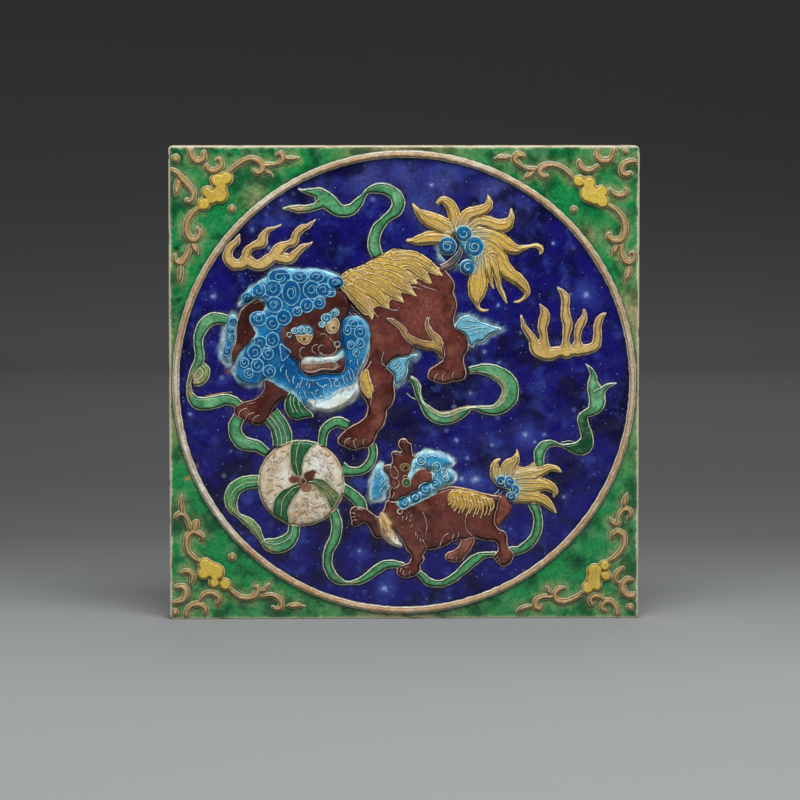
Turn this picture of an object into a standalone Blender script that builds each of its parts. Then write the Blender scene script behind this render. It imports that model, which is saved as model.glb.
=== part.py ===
"""A glazed floor tile with a moulded front: a round medallion of two lions, a ribboned ball and two
flames inside a ring, and scrolls in the four corners. The tile stands on its lower edge, front to -Y."""

import math
from dataclasses import dataclass

import bmesh
import bpy
import numpy as np
from mathutils.geometry import delaunay_2d_cdt

# The slab, in metres
WIDTH = 0.250
HEIGHT = 0.252
THICKNESS = 0.028
CORNER_RADIUS = 0.0013
ARRIS = 0.0008

# The ring that frames the medallion
RING_MARGIN = 0.0017  # from the tile's nearer sides to the ring
RING_WIDTH = 0.0036
RING_RISE = 0.0021
RING_SEGMENTS = 60
RING_LEVEL = 0.4  # share of its width that is level on top
RIBBON_LEVEL = 0.5

# How far each kind of relief rises from the ground
SCROLL_RISE = 0.0018
KNOT_RISE = 0.0021
FLAME_RISE = 0.0018
RIBBON_RISE = 0.0016
FIN_RISE = 0.0018
TAIL_RISE = 0.0022
BODY_RISE = 0.0025
BACK_RISE = 0.0027
HEAD_RISE = 0.0028
MANE_RISE = 0.0029
BALL_RISE = 0.0036
FAN_RISE = 0.8 * TAIL_RISE  # the tail's hair between its locks

# How far what lies on a figure rises above it
LOCK_RISE = 0.0007
CURL_RISE = 0.0005
DETAIL_RISE = 0.0004
BAND_RISE = 0.0003

# The slope at a figure's outline, and the depth inside it at which a rounded body is at its full rise
SHOULDER = 0.0009
ROUNDING = 0.0060
ROUNDED_EDGE = 0.7  # share of its full rise that such a body has just inside its slope

# How finely the front is divided
SPAN = 0.0030  # between two points of a curve before those that it can do without are left out
FLATNESS = 0.00042  # how far a curve may be from its straight pieces
NARROWEST = 0.0005  # half width below which a band's crest has run out
NEAREST = 0.00035  # points closer than this are one
GRID = 0.0088  # between the inner points of a rounded body
GRID_ROW = 0.87 * GRID  # between the rows of those points, which are staggered
GRID_CLEAR = 0.4 * GRID  # least distance of those points from the outline
SLOPE_TOP = 1.05 * SHOULDER  # how far inside an outline the line along the top of its slope runs
SLOPE_KEPT = 0.7 * SHOULDER  # least depth at which that line is kept where the shape is narrow
MITRE = 1.2  # what a corner's lengthening is divided by at least, so that a sharp one stays short
LARGE_CURL = 0.0031  # a curl of a larger radius is divided more finely
CURL_RINGS = ((1.0, 7),)  # (share of the radius, points) of each ring round a boss
LARGE_CURL_RINGS = ((1.0, 8), (0.55, 5))
BALL_RINGS = ((1.0, 26), (0.86, 20), (0.5, 10))
SIDE_SPAN = 0.021  # between two points along a side
CORNER_STEPS = 3  # straight pieces round each corner of the slab
EDGE_CLEAR = 0.6 * ARRIS  # least distance of a line from the front face's sides
LINE_HIDDEN = 0.35  # how far up a later shape's slope a line may lie before that shape hides it
POINT_HIDDEN = 0.05  # the same for a loose point

# The drawing is in hundredths of the ring's inner radius, u to the right and v up from its centre.
DRAWN_SIDE = 104.6
DRAWN_TOP = 105.6
UNIT = (min(WIDTH, HEIGHT) / 2 - RING_MARGIN - RING_WIDTH) / 100

GLAZE_COLOUR = (0.055, 0.075, 0.255, 1.0)

# Corner ornaments, (u, v, half width) along each scroll; the knots are rings of bosses (u, v, radius)
UPPER_LEFT_SCROLLS = (
    ((-78, 94, 1.3), (-75, 96.3, 1.3), (-71.5, 98.8, 1.3), (-68, 99.8, 1.4), (-65, 98.9, 1.6),
     (-63, 96.8, 1.8), (-63.3, 94.5, 1.6), (-65.5, 93.7, 1.3), (-66.7, 94.8, 0.7)),
    ((-62, 94.5, 0.8), (-60.3, 93.5, 1), (-58.3, 92.2, 0.2)),
    ((-62, 97, 1.4), (-58, 97.2, 1), (-55.5, 98, 1.2), (-54, 99.8, 1.5), (-54.8, 102, 1.4),
     (-56.3, 101.3, 0.8)),
    ((-52.5, 99.9, 1), (-49.5, 99.8, 1.2), (-46.6, 100.1, 0.2)),
    ((-91, 78, 1.2), (-94, 75.6, 1.4), (-96.2, 72, 1.5), (-96.7, 68.5, 1.5), (-95.8, 65.5, 1.7),
     (-94, 64, 1.7), (-92, 64.8, 1.7), (-90.8, 67, 1.5), (-91.6, 68.6, 1)),
    ((-94.3, 62.3, 0.8), (-93, 60.6, 1.7), (-91.8, 58, 0.5)),
    ((-95.6, 61, 0.8), (-95.8, 58.5, 1.2), (-97.3, 55.8, 1.5), (-99.3, 54, 1.8), (-101.4, 54.8, 1.3),
     (-101.9, 57, 0.8)),
    ((-99.2, 52.5, 1), (-99.4, 49.5, 1.4), (-99.5, 46.8, 1.2), (-99.7, 44.7, 0.3)),
    ((-95, 105.5, 1.4), (-94.7, 102.5, 1.6), (-93.3, 99.8, 1.6), (-91, 98.8, 1.5), (-89, 100.2, 1.5),
     (-89, 102.2, 1.4)),
    ((-87.8, 96.5, 1.2), (-86.3, 94.8, 1.4), (-84, 94.5, 1.5), (-81.8, 95.8, 1.5), (-81, 98, 1.3),
     (-82.3, 99.6, 0.9), (-83.5, 99.3, 0.5)),
    ((-104, 95, 1.2), (-101, 93.8, 1.3), (-98.8, 91.3, 1.5), (-96.3, 88.8, 1.7), (-94.3, 86.3, 1.6),
     (-93.6, 83.3, 1.5), (-94.9, 81, 1.2), (-96.6, 81.6, 0.8)),
    ((-100, 89.5, 1.5), (-100.6, 87, 1.7), (-101.1, 85, 1), (-101.7, 83.2, 0.2)),
)
UPPER_LEFT_BOSSES = (
    (-83, 90.3, 3.2), (-79, 91.3, 3.1), (-81, 87.5, 2.6), (-82, 84, 3.9), (-85.5, 82.5, 3),
    (-87.5, 85.2, 2.7), (-89, 79.8, 3), (-101.4, 99.9, 1.9), (-76.6, 77.7, 1.8),
)
UPPER_RIGHT_SCROLLS = (
    ((75, 91, 1.2), (72, 94.3, 1.3), (68.5, 96.4, 1.3), (64.5, 97, 1.4), (61, 96, 1.7),
     (60.3, 93.8, 1.6), (61.8, 92, 1.4), (63.5, 92.3, 0.7)),
    ((57.5, 94, 1), (55.3, 92.5, 1.5), (53, 90.5, 0.3)),
    ((58, 95, 1.3), (54.5, 95.3, 1), (51.5, 97, 1.1), (49, 99.5, 1.6), (50.3, 101.5, 1.7),
     (52.5, 101, 1.3)),
    ((46.8, 100.3, 0.7), (44.5, 100.3, 1.3), (42.3, 100.2, 1.1), (39.5, 100, 0.1)),
    ((91, 78.8, 1), (94, 77, 1.3), (96.7, 73.8, 1.4), (98, 70, 1.5), (97.8, 66.5, 1.6),
     (95.8, 63.8, 1.7), (92.8, 63.7, 1.5), (90.5, 65.5, 1.2), (91.5, 66.7, 0.6)),
    ((95, 61.3, 0.8), (93.8, 59.5, 1.5), (92.3, 57, 0.4)),
    ((96.3, 61.5, 1), (96.3, 58.5, 1.3), (97.5, 55.5, 1.6), (99.8, 54, 1.8), (102, 55.5, 1.4),
     (101.7, 58, 1), (100.3, 57.3, 0.6)),
    ((100, 51.8, 1), (99.8, 49.5, 1.6), (99, 47.3, 1.3), (98.3, 44.8, 0.3)),
    ((77.5, 98.5, 1.1), (78.3, 96.3, 1.5), (80.3, 94.8, 1.5), (83, 94.8, 1.4), (85.5, 96.3, 1.1)),
    ((86, 103.5, 1), (85.3, 101.3, 1.4), (87, 99.3, 1.5), (90, 98.8, 1.5), (92, 100.3, 1.2),
     (92.8, 103, 1.2), (93, 105.5, 1.3)),
    ((100.5, 93.3, 1), (98.3, 92.6, 1.4), (96.5, 94.3, 1.6), (97.5, 97.3, 1.5), (100.5, 98.5, 1.3),
     (104, 98.3, 1.1)),
    ((91.5, 86, 1), (93, 84.3, 1.3), (95.5, 83.5, 1.4), (98, 84.3, 1.4), (98.3, 86, 1)),
)
UPPER_RIGHT_BOSSES = (
    (77.5, 89.8, 2.8), (82, 89, 3), (82, 84.5, 4.2), (87.5, 85, 3), (84.5, 82, 2.8), (88, 80.8, 3),
    (98.3, 103, 1.5), (75.2, 77.3, 1.7),
)
LOWER_LEFT_SCROLLS = (
    ((-92, -79.3, 1), (-94.7, -77.3, 1.3), (-96.6, -74.5, 1.4), (-97, -71, 1.5), (-96.2, -68, 1.5),
     (-94, -66.5, 1.4), (-91.5, -67.3, 1.4), (-89.8, -68.8, 1.1), (-91, -70, 0.6)),
    ((-93.5, -65, 1.5), (-93, -63, 1.7), (-92, -61.5, 0.5)),
    ((-95.8, -65, 1), (-96.3, -62.5, 1), (-97.5, -60, 1.1), (-99, -58.5, 1.3), (-101, -59, 1.3),
     (-102, -60.3, 0.8)),
    ((-99, -57.5, 1), (-99.3, -55, 1.2), (-99.5, -52.5, 0.9), (-99, -49.5, 0.1)),
    ((-78, -91.8, 1.1), (-76, -94, 1.3), (-73, -95.8, 1.4), (-70, -96.2, 1.4), (-67, -95.3, 1.5),
     (-65.3, -93, 1.4), (-65.8, -91.3, 1), (-67, -91.3, 0.6)),
    ((-64.5, -93, 0.8), (-62.5, -92.5, 1.2), (-61, -90.5, 0.8), (-60.3, -89.5, 0.2)),
    ((-63.5, -95.3, 0.9), (-60, -94.8, 1.1), (-57, -95.8, 1.3), (-55, -98, 1.4), (-55.3, -100.3, 1.3),
     (-57.3, -101, 1), (-59, -100, 0.5)),
    ((-52.5, -99.8, 0.3), (-50.5, -99.6, 1.1), (-48.3, -99.5, 1.3), (-46, -99.7, 0.6),
     (-44.3, -99.8, 0.1)),
    ((-99, -85, 1), (-97.5, -84, 1.3), (-95.3, -84.8, 1.4), (-94.3, -87, 1.4), (-95, -89.3, 1)),
    ((-102, -91.3, 1), (-100, -90.8, 1.4), (-98, -91.5, 1.6), (-97.3, -94, 1.7), (-98.8, -96.8, 1.5),
     (-101.5, -98, 1.2), (-104, -97.8, 1)),
    ((-91, -97, 0.9), (-89.5, -94.8, 1.3), (-87, -93.8, 1.4), (-84.5, -94.3, 1.5), (-82.7, -96.2, 1.5),
     (-83.7, -98.5, 1.1)),
    ((-97.3, -104.5, 1.4), (-97, -102, 1.4), (-95.3, -99.8, 1.4), (-92.8, -98.8, 1.5),
     (-90.3, -99.3, 1.5), (-88.8, -101, 1.4), (-89, -102.8, 1)),
)
LOWER_LEFT_BOSSES = (
    (-89, -81, 3), (-89.5, -85, 3), (-86.5, -83, 3.5), (-84, -84.5, 3.8), (-84.8, -89.3, 2.5),
    (-80, -90, 2.8), (-102.3, -102.3, 1.8), (-76.7, -77.8, 1.8),
)
LOWER_RIGHT_SCROLLS = (
    ((91.5, -80, 1), (94, -78.3, 1.2), (96.8, -75.3, 1.4), (98.3, -71.5, 1.5), (97.8, -68.3, 1.5),
     (95.5, -66.8, 1.5), (93.3, -68, 1.3), (93, -69.8, 0.8)),
    ((94.5, -64, 0.8), (93, -62.7, 1.3), (91.7, -60.8, 0.3)),
    ((95.5, -63.5, 1.2), (95.6, -61, 1.2), (96.5, -58.5, 1.3), (98.5, -56.8, 1.4), (100.5, -57.5, 1.4),
     (101, -59.5, 1.1), (99.6, -60.8, 0.6)),
    ((97.5, -55.5, 0.5), (98.3, -53.5, 1.4), (98.8, -51.5, 1), (99.5, -49.3, 0.1)),
    ((79.8, -94, 1), (77.5, -95.8, 1.2), (74, -97.5, 1.3), (70.5, -98.2, 1.5), (67.8, -97, 1.5),
     (67.3, -94.5, 1.4), (69, -92.5, 1.3), (71.3, -92, 0.8)),
    ((65.5, -94.5, 0.8), (64.3, -93, 1.2), (63.2, -90.8, 0.2)),
    ((65.5, -96, 1.3), (62, -96, 1.2), (59.3, -97.5, 1.4), (58.7, -100, 1.5), (60.3, -101.2, 1.2),
     (61.5, -99.8, 0.6)),
    ((57, -100.3, 0.7), (54.5, -100.5, 1.2), (52, -101.5, 1), (50, -102.7, 0.2)),
    ((97.5, -83.3, 0.9), (95.5, -84.8, 1.3), (94.3, -87, 1.3), (94.8, -89.3, 1.1), (96, -90.3, 0.5)),
    ((101.5, -88.5, 1), (99.5, -88.3, 1.4), (97.8, -90, 1.6), (97.8, -93, 1.7), (99.8, -95.3, 1.6),
     (102.5, -95.5, 1.5), (104, -94.5, 1.2)),
    ((84, -99.3, 1.3), (83, -97.3, 1.3), (84.8, -95.7, 1.4), (87.5, -96, 1.3), (89, -97.3, 0.8)),
    ((95.3, -104.5, 1.3), (94.8, -101.5, 1.4), (93.3, -98.8, 1.4), (91, -97.8, 1.4), (88.8, -99, 1.4),
     (88.3, -101.3, 1.3), (89.8, -102.3, 0.8)),
)
LOWER_RIGHT_BOSSES = (
    (89.5, -82, 2.5), (85, -84.8, 3.6), (90, -86.7, 2.5), (84.5, -88.5, 3.5), (86, -91, 2.4),
    (82, -92, 2.9), (101, -100.8, 1.7),
)

# Flames, (u, v, half width) along each tongue
FLAMES = (
    ((57.5, 17.5, 2), (60, 14.8, 3.6), (64.5, 12.9, 2.9), (69, 13.8, 2.2), (74, 14.2, 2.2),
     (78.5, 14.6, 2.1), (82.5, 15.1, 1.9), (85.2, 17, 2), (85.8, 21, 1.7), (85.9, 25, 1.6),
     (86.7, 28, 1.5), (88, 29.8, 0.9), (89.4, 30.9, 0.2)),
    ((58.5, 17, 2), (56, 20.8, 1.5), (54.3, 23.3, 1.3), (52.8, 25.8, 0.8), (51.9, 29.8, 0.2)),
    ((61.5, 15, 3), (62, 20, 1.6), (61.4, 24, 1.8), (61.9, 27.5, 2.3), (62.4, 30.2, 2), (61.5, 33, 1),
     (60.2, 34.8, 0.2)),
    ((72, 14, 3), (71.7, 18, 1.5), (72, 22, 1.6), (72.6, 26, 2), (71.5, 30, 2), (71.5, 34, 1.6),
     (71.6, 37.5, 1.8), (70.3, 40, 1.2), (68.3, 42.2, 0.2)),
    ((77, 15, 3), (77, 18.5, 1.3), (77, 22.5, 1.5), (78.2, 26, 1.8), (79.8, 28.8, 1.3), (80, 30.6, 0.8),
     (79.7, 32.4, 0.3)),
    ((-75, 52.3, 2), (-78, 55, 2.2), (-78, 58.5, 1.8), (-76.3, 61, 1.6), (-74.3, 62.8, 1.3),
     (-73.2, 65.5, 0.4)),
    ((-76, 52.6, 2), (-72, 52.8, 2.2), (-70, 54.5, 2.6), (-66, 52.3, 2.1), (-62.5, 53, 2.6),
     (-58, 56, 2.3), (-54.5, 55.5, 2.4), (-51, 55.2, 2.1), (-48.3, 57.3, 1.7), (-45.5, 60, 1.3),
     (-43, 61, 0.8), (-41, 62.5, 0.2)),
    ((-70, 54, 2), (-69.8, 58, 1.8), (-67, 60.8, 1.5), (-63.3, 62.3, 2.2), (-62.3, 65.5, 1.6),
     (-60.5, 67.8, 1), (-57.5, 69, 0.4), (-54.8, 70.3, 0.1)),
    ((-58, 56, 2.5), (-55.5, 59.5, 2.5), (-52.3, 61.4, 1.6), (-49, 62.8, 1.8), (-48, 66, 1.5),
     (-45.5, 68.5, 1.5), (-42.5, 69.8, 0.9), (-39.5, 72.5, 0.1)),
)

# Ribbons, (u, v, half width) along each
RIBBONS = (
    ((-12, 56.5, 2.4), (-13.4, 60.5, 2.7), (-13.3, 64.5, 2.4), (-12, 68.3, 2.4), (-9.3, 71.8, 1.9),
     (-6.4, 74.3, 1.9), (-3.6, 76.8, 2.6), (-2.7, 80.2, 2.8), (-4.2, 83.6, 2.6), (-8, 85.9, 2.3),
     (-12.5, 86.3, 2.1), (-16.4, 85, 1), (-18.4, 82.6, 1.1), (-20.5, 79.8, 2), (-23.3, 77.3, 2.4),
     (-26.8, 76.3, 2.5), (-30, 77.3, 2.9), (-33, 80, 3.4), (-35.8, 82, 3.5), (-37.8, 84.3, 2.3),
     (-41.5, 84.7, 1.5), (-44.5, 85.3, 0.6), (-47, 86, 0.1)),
    ((-78.5, 28.2, 1.9), (-82.5, 28.8, 2.4), (-85.8, 28.3, 2.7), (-88.7, 26, 2.6), (-90.7, 22.3, 2.3),
     (-91.4, 19, 2), (-91.2, 16, 1.9), (-90.7, 13, 2), (-91.3, 9.7, 2), (-93, 6.7, 1.6),
     (-94.6, 3.5, 0.9), (-94.8, 0, 0.5)),
    ((-89.6, 8.2, 1.3), (-88.1, 6.2, 1.6), (-88, 4, 1.6), (-88.9, 2, 1.5), (-91, 0.5, 1.5),
     (-93.6, 0.3, 1.4)),
    ((-95, -2, 0.5), (-94.8, -5, 1.3), (-93, -8, 2.3), (-90.2, -9, 2.7), (-86, -8.7, 2.8),
     (-82, -7.7, 2.6), (-78.8, -7.2, 2.3), (-76, -7.9, 2.1), (-73, -10, 2)),
    ((-73, -14, 2.4), (-75, -18, 2.8), (-75.2, -21, 2.8), (-74, -24.3, 3), (-71.3, -26.8, 3),
     (-68, -27.5, 2.7), (-65, -28.2, 2.4), (-61, -31, 1.8)),
    ((-59.6, -14, 4), (-57.2, -16.8, 4), (-55.3, -20, 4.2), (-54.3, -23.5, 4.3), (-54, -28, 4.2)),
    ((-36.5, -28, 1.8), (-36.2, -23.5, 1.9), (-34.8, -20, 2), (-32, -18, 2.2), (-29, -17.4, 2.3),
     (-25, -19, 2.1)),
    ((-14.3, -27, 1.8), (-13.9, -31, 1.9), (-14.3, -33.5, 1.9), (-15.6, -36, 2), (-17.8, -38.2, 1.9),
     (-21, -39.3, 1.8), (-24.5, -39.3, 2), (-28, -38.2, 3)),
    ((-28.5, -46.5, 2.4), (-24.5, -48.8, 2.4), (-21.8, -51, 2.5), (-19.8, -53.5, 2.6), (-19, -57, 2.6)),
    ((-63, -43.8, 2.6), (-69, -44, 2.9), (-73.3, -45.5, 3), (-76.2, -48.3, 3), (-77.1, -52, 2.8),
     (-76.3, -56, 2), (-73.8, -58.8, 1), (-71, -60.8, 1.6), (-68.6, -62.4, 2), (-66.3, -65, 2),
     (-64.2, -68.5, 1.3), (-62.8, -71.3, 0.9)),
    ((-62.5, -70.5, 0.9), (-60.6, -71.8, 2.5), (-57.5, -72.5, 3.3), (-54.3, -71.8, 3.4),
     (-51.5, -70.1, 3.3), (-49.5, -67.3, 2.6), (-49, -63, 2.3)),
    ((-31.8, -56.5, 2), (-30.3, -61.5, 2.3), (-30.2, -66, 2.4), (-31.5, -70.5, 2.3), (-33.8, -75, 2.1),
     (-34.2, -80, 2), (-33, -84.3, 2), (-30.5, -87.4, 1.8), (-27.5, -88.9, 1.1), (-25, -89.2, 0.7),
     (-22.5, -89, 1.1), (-19, -88, 1.5), (-15.5, -85.7, 1.8), (-12, -83, 1.9), (-9, -81.3, 1.9),
     (-6, -80.8, 1.8), (-3, -81, 1.5), (0, -81.5, 1)),
    ((6.2, -84.4, 1.3), (8.3, -86.6, 1.6), (11, -88.9, 1.8), (14.8, -89.7, 1.5), (18.5, -89, 1.6),
     (22.5, -86.7, 1.7), (26, -83.7, 1.9), (29.3, -80.6, 2.2), (32.5, -78.2, 2), (35.8, -76.9, 1.4),
     (38.5, -76.7, 1.2), (42, -76.8, 1.3)),
    ((46, -75.5, 2), (51, -74.7, 1.8), (54.2, -73, 2), (57, -70.3, 2), (58.8, -67, 2), (59.6, -63, 2),
     (59.5, -60, 1.9), (58.7, -57, 1.9), (56.8, -53.5, 1.9)),
    ((59.9, -40, 1.3), (60.3, -37, 1.8), (60, -34, 2.1), (60.2, -31, 2.3), (61.8, -28.5, 2.2),
     (64.3, -27.2, 1.6), (67, -27.2, 1.1), (69.5, -27.9, 0.6), (73, -28.6, 1.3), (76.5, -29.2, 2.5),
     (79.8, -28.4, 3.5), (81.3, -25.5, 2.8), (80.8, -22, 2.4), (79.8, -18.8, 2.1), (79.3, -16, 2.2),
     (80.6, -13.8, 1.7), (83.8, -12.4, 2.2), (85.6, -9.5, 3.3), (85.7, -6, 3.5), (84.6, -3, 3),
     (83.8, 0, 2.1), (84, 3, 1.4), (83, 5.5, 0.8), (80.8, 8.3, 0.1)),
    ((86, -6, 3), (88, -3.6, 1.5), (90, -1.6, 1), (92, -0.8, 0.6), (94.4, -0.3, 0.1)),
    ((28.5, 5.5, 1.2), (32.5, 6.1, 1.8), (35.8, 5.9, 2.4), (39.8, 4.9, 3), (43.6, 2.9, 3.4),
     (46.3, 0, 3.6), (47.2, -3.5, 3.6), (46.5, -6.8, 3.6), (44.3, -9.8, 3.1), (41, -11.8, 2.4),
     (37.5, -12.2, 1.9), (34, -11.7, 1.4), (30, -11.1, 0.6), (27.3, -12.4, 1.5), (24, -14, 2.3),
     (20.5, -15.6, 2.5), (16.5, -15.9, 2.5), (13, -14.5, 2.5), (10.3, -12.3, 2.1), (8, -9.3, 1.1),
     (6.6, -6.5, 1), (5.8, -4, 1.3), (5.6, -1.5, 1.5), (4.3, 0.8, 1.4), (2.3, 2.2, 1.2)),
    ((-36.5, 80, 2.2), (-39.5, 78.3, 1.5), (-43.5, 77.3, 1.6), (-48, 77.3, 1.5), (-51, 77.6, 0.8),
     (-53.5, 77.6, 0.2)),
)

# The great lion, behind to front: tail, body, fins, fur, legs, ear, mane and face
TAIL_STEM = ((16.2, 51, 1.5), (20, 52.6, 1.7), (22.8, 55.3, 1.5), (24.6, 58, 1), (25, 60.5, 0.5))
TAIL_FAN = (
    (22, 69), (27, 71.5), (34, 70), (41, 66.5), (44.5, 61), (43.5, 55), (38.5, 51.5), (33, 51),
    (29, 55), (25, 61),
)
TAIL_LOCKS = (
    ((3.8, 79.2, 0.2), (6.3, 75.8, 1.5), (10.2, 73, 3), (14.3, 71.3, 3.5), (20, 68.5, 3.2)),
    ((1.4, 63.2, 0.4), (4.5, 63.1, 1.4), (8, 63.8, 2.3), (11.5, 64.5, 2.8), (15, 64.5, 2.6),
     (19, 64.5, 2.4)),
    ((14.9, 80.1, 0.7), (16.8, 81.3, 1.3), (19.3, 80, 2), (21.3, 77, 2.4), (22.3, 73, 2.6),
     (23.8, 68, 2.2)),
    ((37, 83.2, 0.1), (37.4, 81.2, 0.9), (37.3, 78.7, 1.7), (34.8, 76.8, 2.1), (31.5, 75.8, 2.4),
     (28, 74.4, 2.8), (25.3, 70, 2.6)),
    ((47.4, 77, 0.3), (47.5, 75, 0.8), (47, 72.3, 1.5), (45, 70, 2.6), (41.5, 69.7, 2.7),
     (37, 71.2, 2.6), (32.5, 71.6, 2.4), (28.5, 69, 2)),
    ((60.1, 57.2, 0.1), (60.8, 58.5, 0.6), (60.3, 60, 0.9), (58.3, 60.9, 0.7), (55.5, 60.7, 0.4),
     (53, 60, 0.9), (49.5, 59.3, 1.9), (45.5, 61, 3), (41.5, 63.8, 3.4), (36.5, 66, 3), (31, 66, 2.5)),
    ((48.8, 36, 0.1), (51, 36.2, 0.4), (53.3, 37.9, 0.7), (54.4, 40.2, 1.2), (53, 43.2, 2),
     (50, 46.2, 2.5), (46.3, 48.8, 2.9), (43.5, 52, 3.2), (41.5, 56, 3.6), (37.5, 60, 3.5)),
    ((45.4, 35.6, 0.1), (44.6, 37.6, 0.5), (43.3, 40, 0.8), (42, 43, 1), (41.5, 46.5, 1.4),
     (40.5, 51, 2), (39, 56, 2.4)),
    ((39.7, 42, 0.1), (38.7, 44, 0.5), (38, 46.5, 1), (37.3, 50, 1.7), (36, 55, 2)),
    ((37.3, 32.5, 0.1), (35, 32.2, 0.4), (33.2, 33, 0.5), (32.3, 35, 0.9), (32, 38, 2.4),
     (32.2, 41, 3.8), (32.7, 44.5, 4.2), (33, 49, 3.4), (33.5, 53, 2.6), (33.5, 57, 2)),
)
TAIL_CURLS = ((26.3, 66.3, 3.5), (19, 60.8, 4), (31, 60.6, 4.3), (28, 51.5, 3.3))
LION_BODY = (
    (17, 50.3), (18.6, 49.2), (20.3, 47.3), (21.7, 45), (22.1, 42.5), (21.6, 40), (22.7, 37.5),
    (23.2, 34.5), (22.4, 31), (21.8, 28), (22.4, 25), (25, 22.8), (27.5, 20.8), (28.4, 17.8),
    (28.1, 14.8), (26.6, 12.3), (26.2, 10), (26.8, 7), (27.3, 4.5), (26.5, 2), (24, 0.9), (21.5, 0.9),
    (19, 0), (16.5, 0), (13.5, 0.8), (11, 2), (10.6, 3.8), (12, 6.5), (15, 8.3), (17.2, 10.3),
    (16.2, 12), (15, 13.7), (12.5, 14.8), (9.5, 15), (5, 16.6), (2.8, 12.8), (0, 12), (-3, 11.5),
    (-6, 9.8), (-8, 6.8), (-5.7, 4.7), (-4.5, 2.5), (-4.7, -1), (-4.3, -5.5), (-5.6, -9.5), (-7.7, -12),
    (-8.2, -15), (-9.5, -19), (-12, -22), (-13.2, -25), (-14.2, -27.2), (-16, -28.3), (-18.5, -28.6),
    (-21, -29.5), (-24, -29.5), (-26.7, -28.1), (-29, -27), (-29.5, -25.2), (-28, -23), (-24.5, -19.8),
    (-20, -17.4), (-17.4, -15.2), (-16.3, -12.5), (-16.4, -9.5), (-17.5, -7), (-19.8, -3.6), (-20.5, 0),
    (-19, 5), (-16, 12), (-15.5, 20), (-18, 28), (-25, 36), (-29, 41), (-27, 47), (-15, 53), (0, 57),
    (10, 53),
)
FRONT_FIN = (
    (-8, 6.8), (-6.5, 9.4), (-4, 11.2), (-1, 12), (2.5, 12.3), (5.5, 12.8), (4.5, 11), (2.3, 10.3),
    (1.5, 8), (1.3, 5), (0.6, 2.7), (-0.5, 1.2), (-2.2, 0.3), (-3.6, -1.3), (-4.5, 1.5), (-5, 4),
    (-6.5, 5.5),
)
HIND_FIN = (
    (23.3, 26.6), (25, 28.9), (28, 29.9), (31, 28.8), (34, 27), (37.2, 26), (39, 25.2), (43, 24),
    (40.5, 22.8), (37.5, 20.9), (35, 18.7), (31.5, 18), (30.3, 16), (28.7, 17.5), (27, 21.3),
    (23.5, 23.5), (22.4, 25.2),
)
BELLY_LOCKS = (
    ((-7.6, 28.9, 0.2), (-4.5, 27.3, 1), (-1, 24.2, 1.2), (1.2, 20.8, 1.4), (5, 18.3, 1.7),
     (9, 16.9, 1.8), (13, 16.3, 1.7), (15.3, 14.5, 1.2), (16.3, 11.5, 0.4)),
    ((10.2, 28.5, 0.4), (10, 25.5, 0.9), (11.2, 22.8, 1), (13.6, 20.5, 1.5), (15.5, 17.5, 1.6)),
)
ELBOW_TUFT = (
    (-17.5, 5.5), (-19, 4), (-19.4, 1), (-19.5, -1.5), (-18.5, -3.5), (-17.3, -5.3), (-15.8, -6.7),
    (-14.8, -5), (-14.3, -3.5), (-14.8, -0.5), (-15.7, 2.5), (-16.3, 6),
)
BACK_MANE = (
    (-28, 47.5), (-24.5, 50.2), (-19, 52), (-13.3, 55.2), (-7.8, 58), (-4.5, 59.4), (2, 58.5),
    (8, 56.5), (12.5, 53), (9, 48.5), (2, 44.5), (-2, 40), (-8, 36), (-14, 33.5), (-17, 30.5),
    (-21, 34), (-26, 40), (-28.5, 43),
)
BACK_LOCKS = (
    ((-3, 56, 2.5), (3, 56, 2.6), (8, 53.7, 2.6), (12.5, 50.7, 1.8), (16.6, 48, 0.2)),
    ((-4, 52, 3), (2, 52.3, 2.6), (6.5, 49.3, 2.3), (9.8, 46.2, 1.3), (11.8, 44.2, 0.1)),
    ((-8, 50, 3.2), (-3, 48.8, 3), (1.5, 46.3, 2), (5.4, 44.2, 0.2)),
    ((-12, 48, 3), (-6, 46.5, 3), (-0.5, 43, 2.4), (2.8, 40.6, 1), (5.2, 38.8, 0.1)),
    ((-16, 46, 3), (-10, 44, 3.2), (-5.5, 40.5, 2.6), (-2.5, 38, 1.2), (-0.3, 36, 0.1)),
    ((-20, 44, 3), (-14, 41, 3.2), (-9.8, 37, 2.5), (-7.2, 33.5, 0.3)),
    ((-24, 42, 2.2), (-19.5, 38, 2.8), (-16, 33.5, 2), (-14.3, 28.6, 0.2)),
)
NEAR_FORELEG = (
    (-62.2, 2.5), (-62, -2), (-63.5, -5), (-66.5, -7.2), (-71, -8.5), (-74.3, -10), (-75.6, -12.3),
    (-74.3, -14.8), (-71, -16), (-69, -17.3), (-66, -18.4), (-63, -18), (-60.5, -15.3), (-58.5, -11.5),
    (-56.5, -8.6), (-54, -6.9), (-51, -5.9), (-48, -4), (-49, 1), (-56, 4),
)
CLOTH = (
    (-51.5, -5), (-52.9, -8.5), (-52.8, -12), (-50.8, -15), (-48, -16.2), (-45, -15.5), (-42, -15.2),
    (-40.5, -14.6), (-41.5, -12.8), (-44, -11), (-45, -7), (-45.8, -3), (-49, -2),
)
EAR = (
    (-62.5, 37), (-66, 37), (-70, 34.7), (-73, 31), (-74.4, 25), (-74.6, 19.5), (-76, 15.5),
    (-76.8, 12.5), (-76.5, 10), (-75.5, 9), (-72, 14), (-68, 18), (-62, 22), (-60, 30),
)
LION_HEAD = (
    (-53, 14), (-50.5, 12.5), (-48.5, 10.3), (-47, 9.6), (-46.5, 7), (-44.5, 4.4), (-41, 3.4),
    (-36, 4.5), (-30, 4.2), (-27.2, 5.5), (-26, 9), (-26.3, 14), (-28, 20), (-27.8, 26), (-25, 31),
    (-24, 35), (-27, 40), (-31, 42), (-38, 40), (-44, 34), (-50, 32), (-56, 27), (-57, 19),
)
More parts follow.
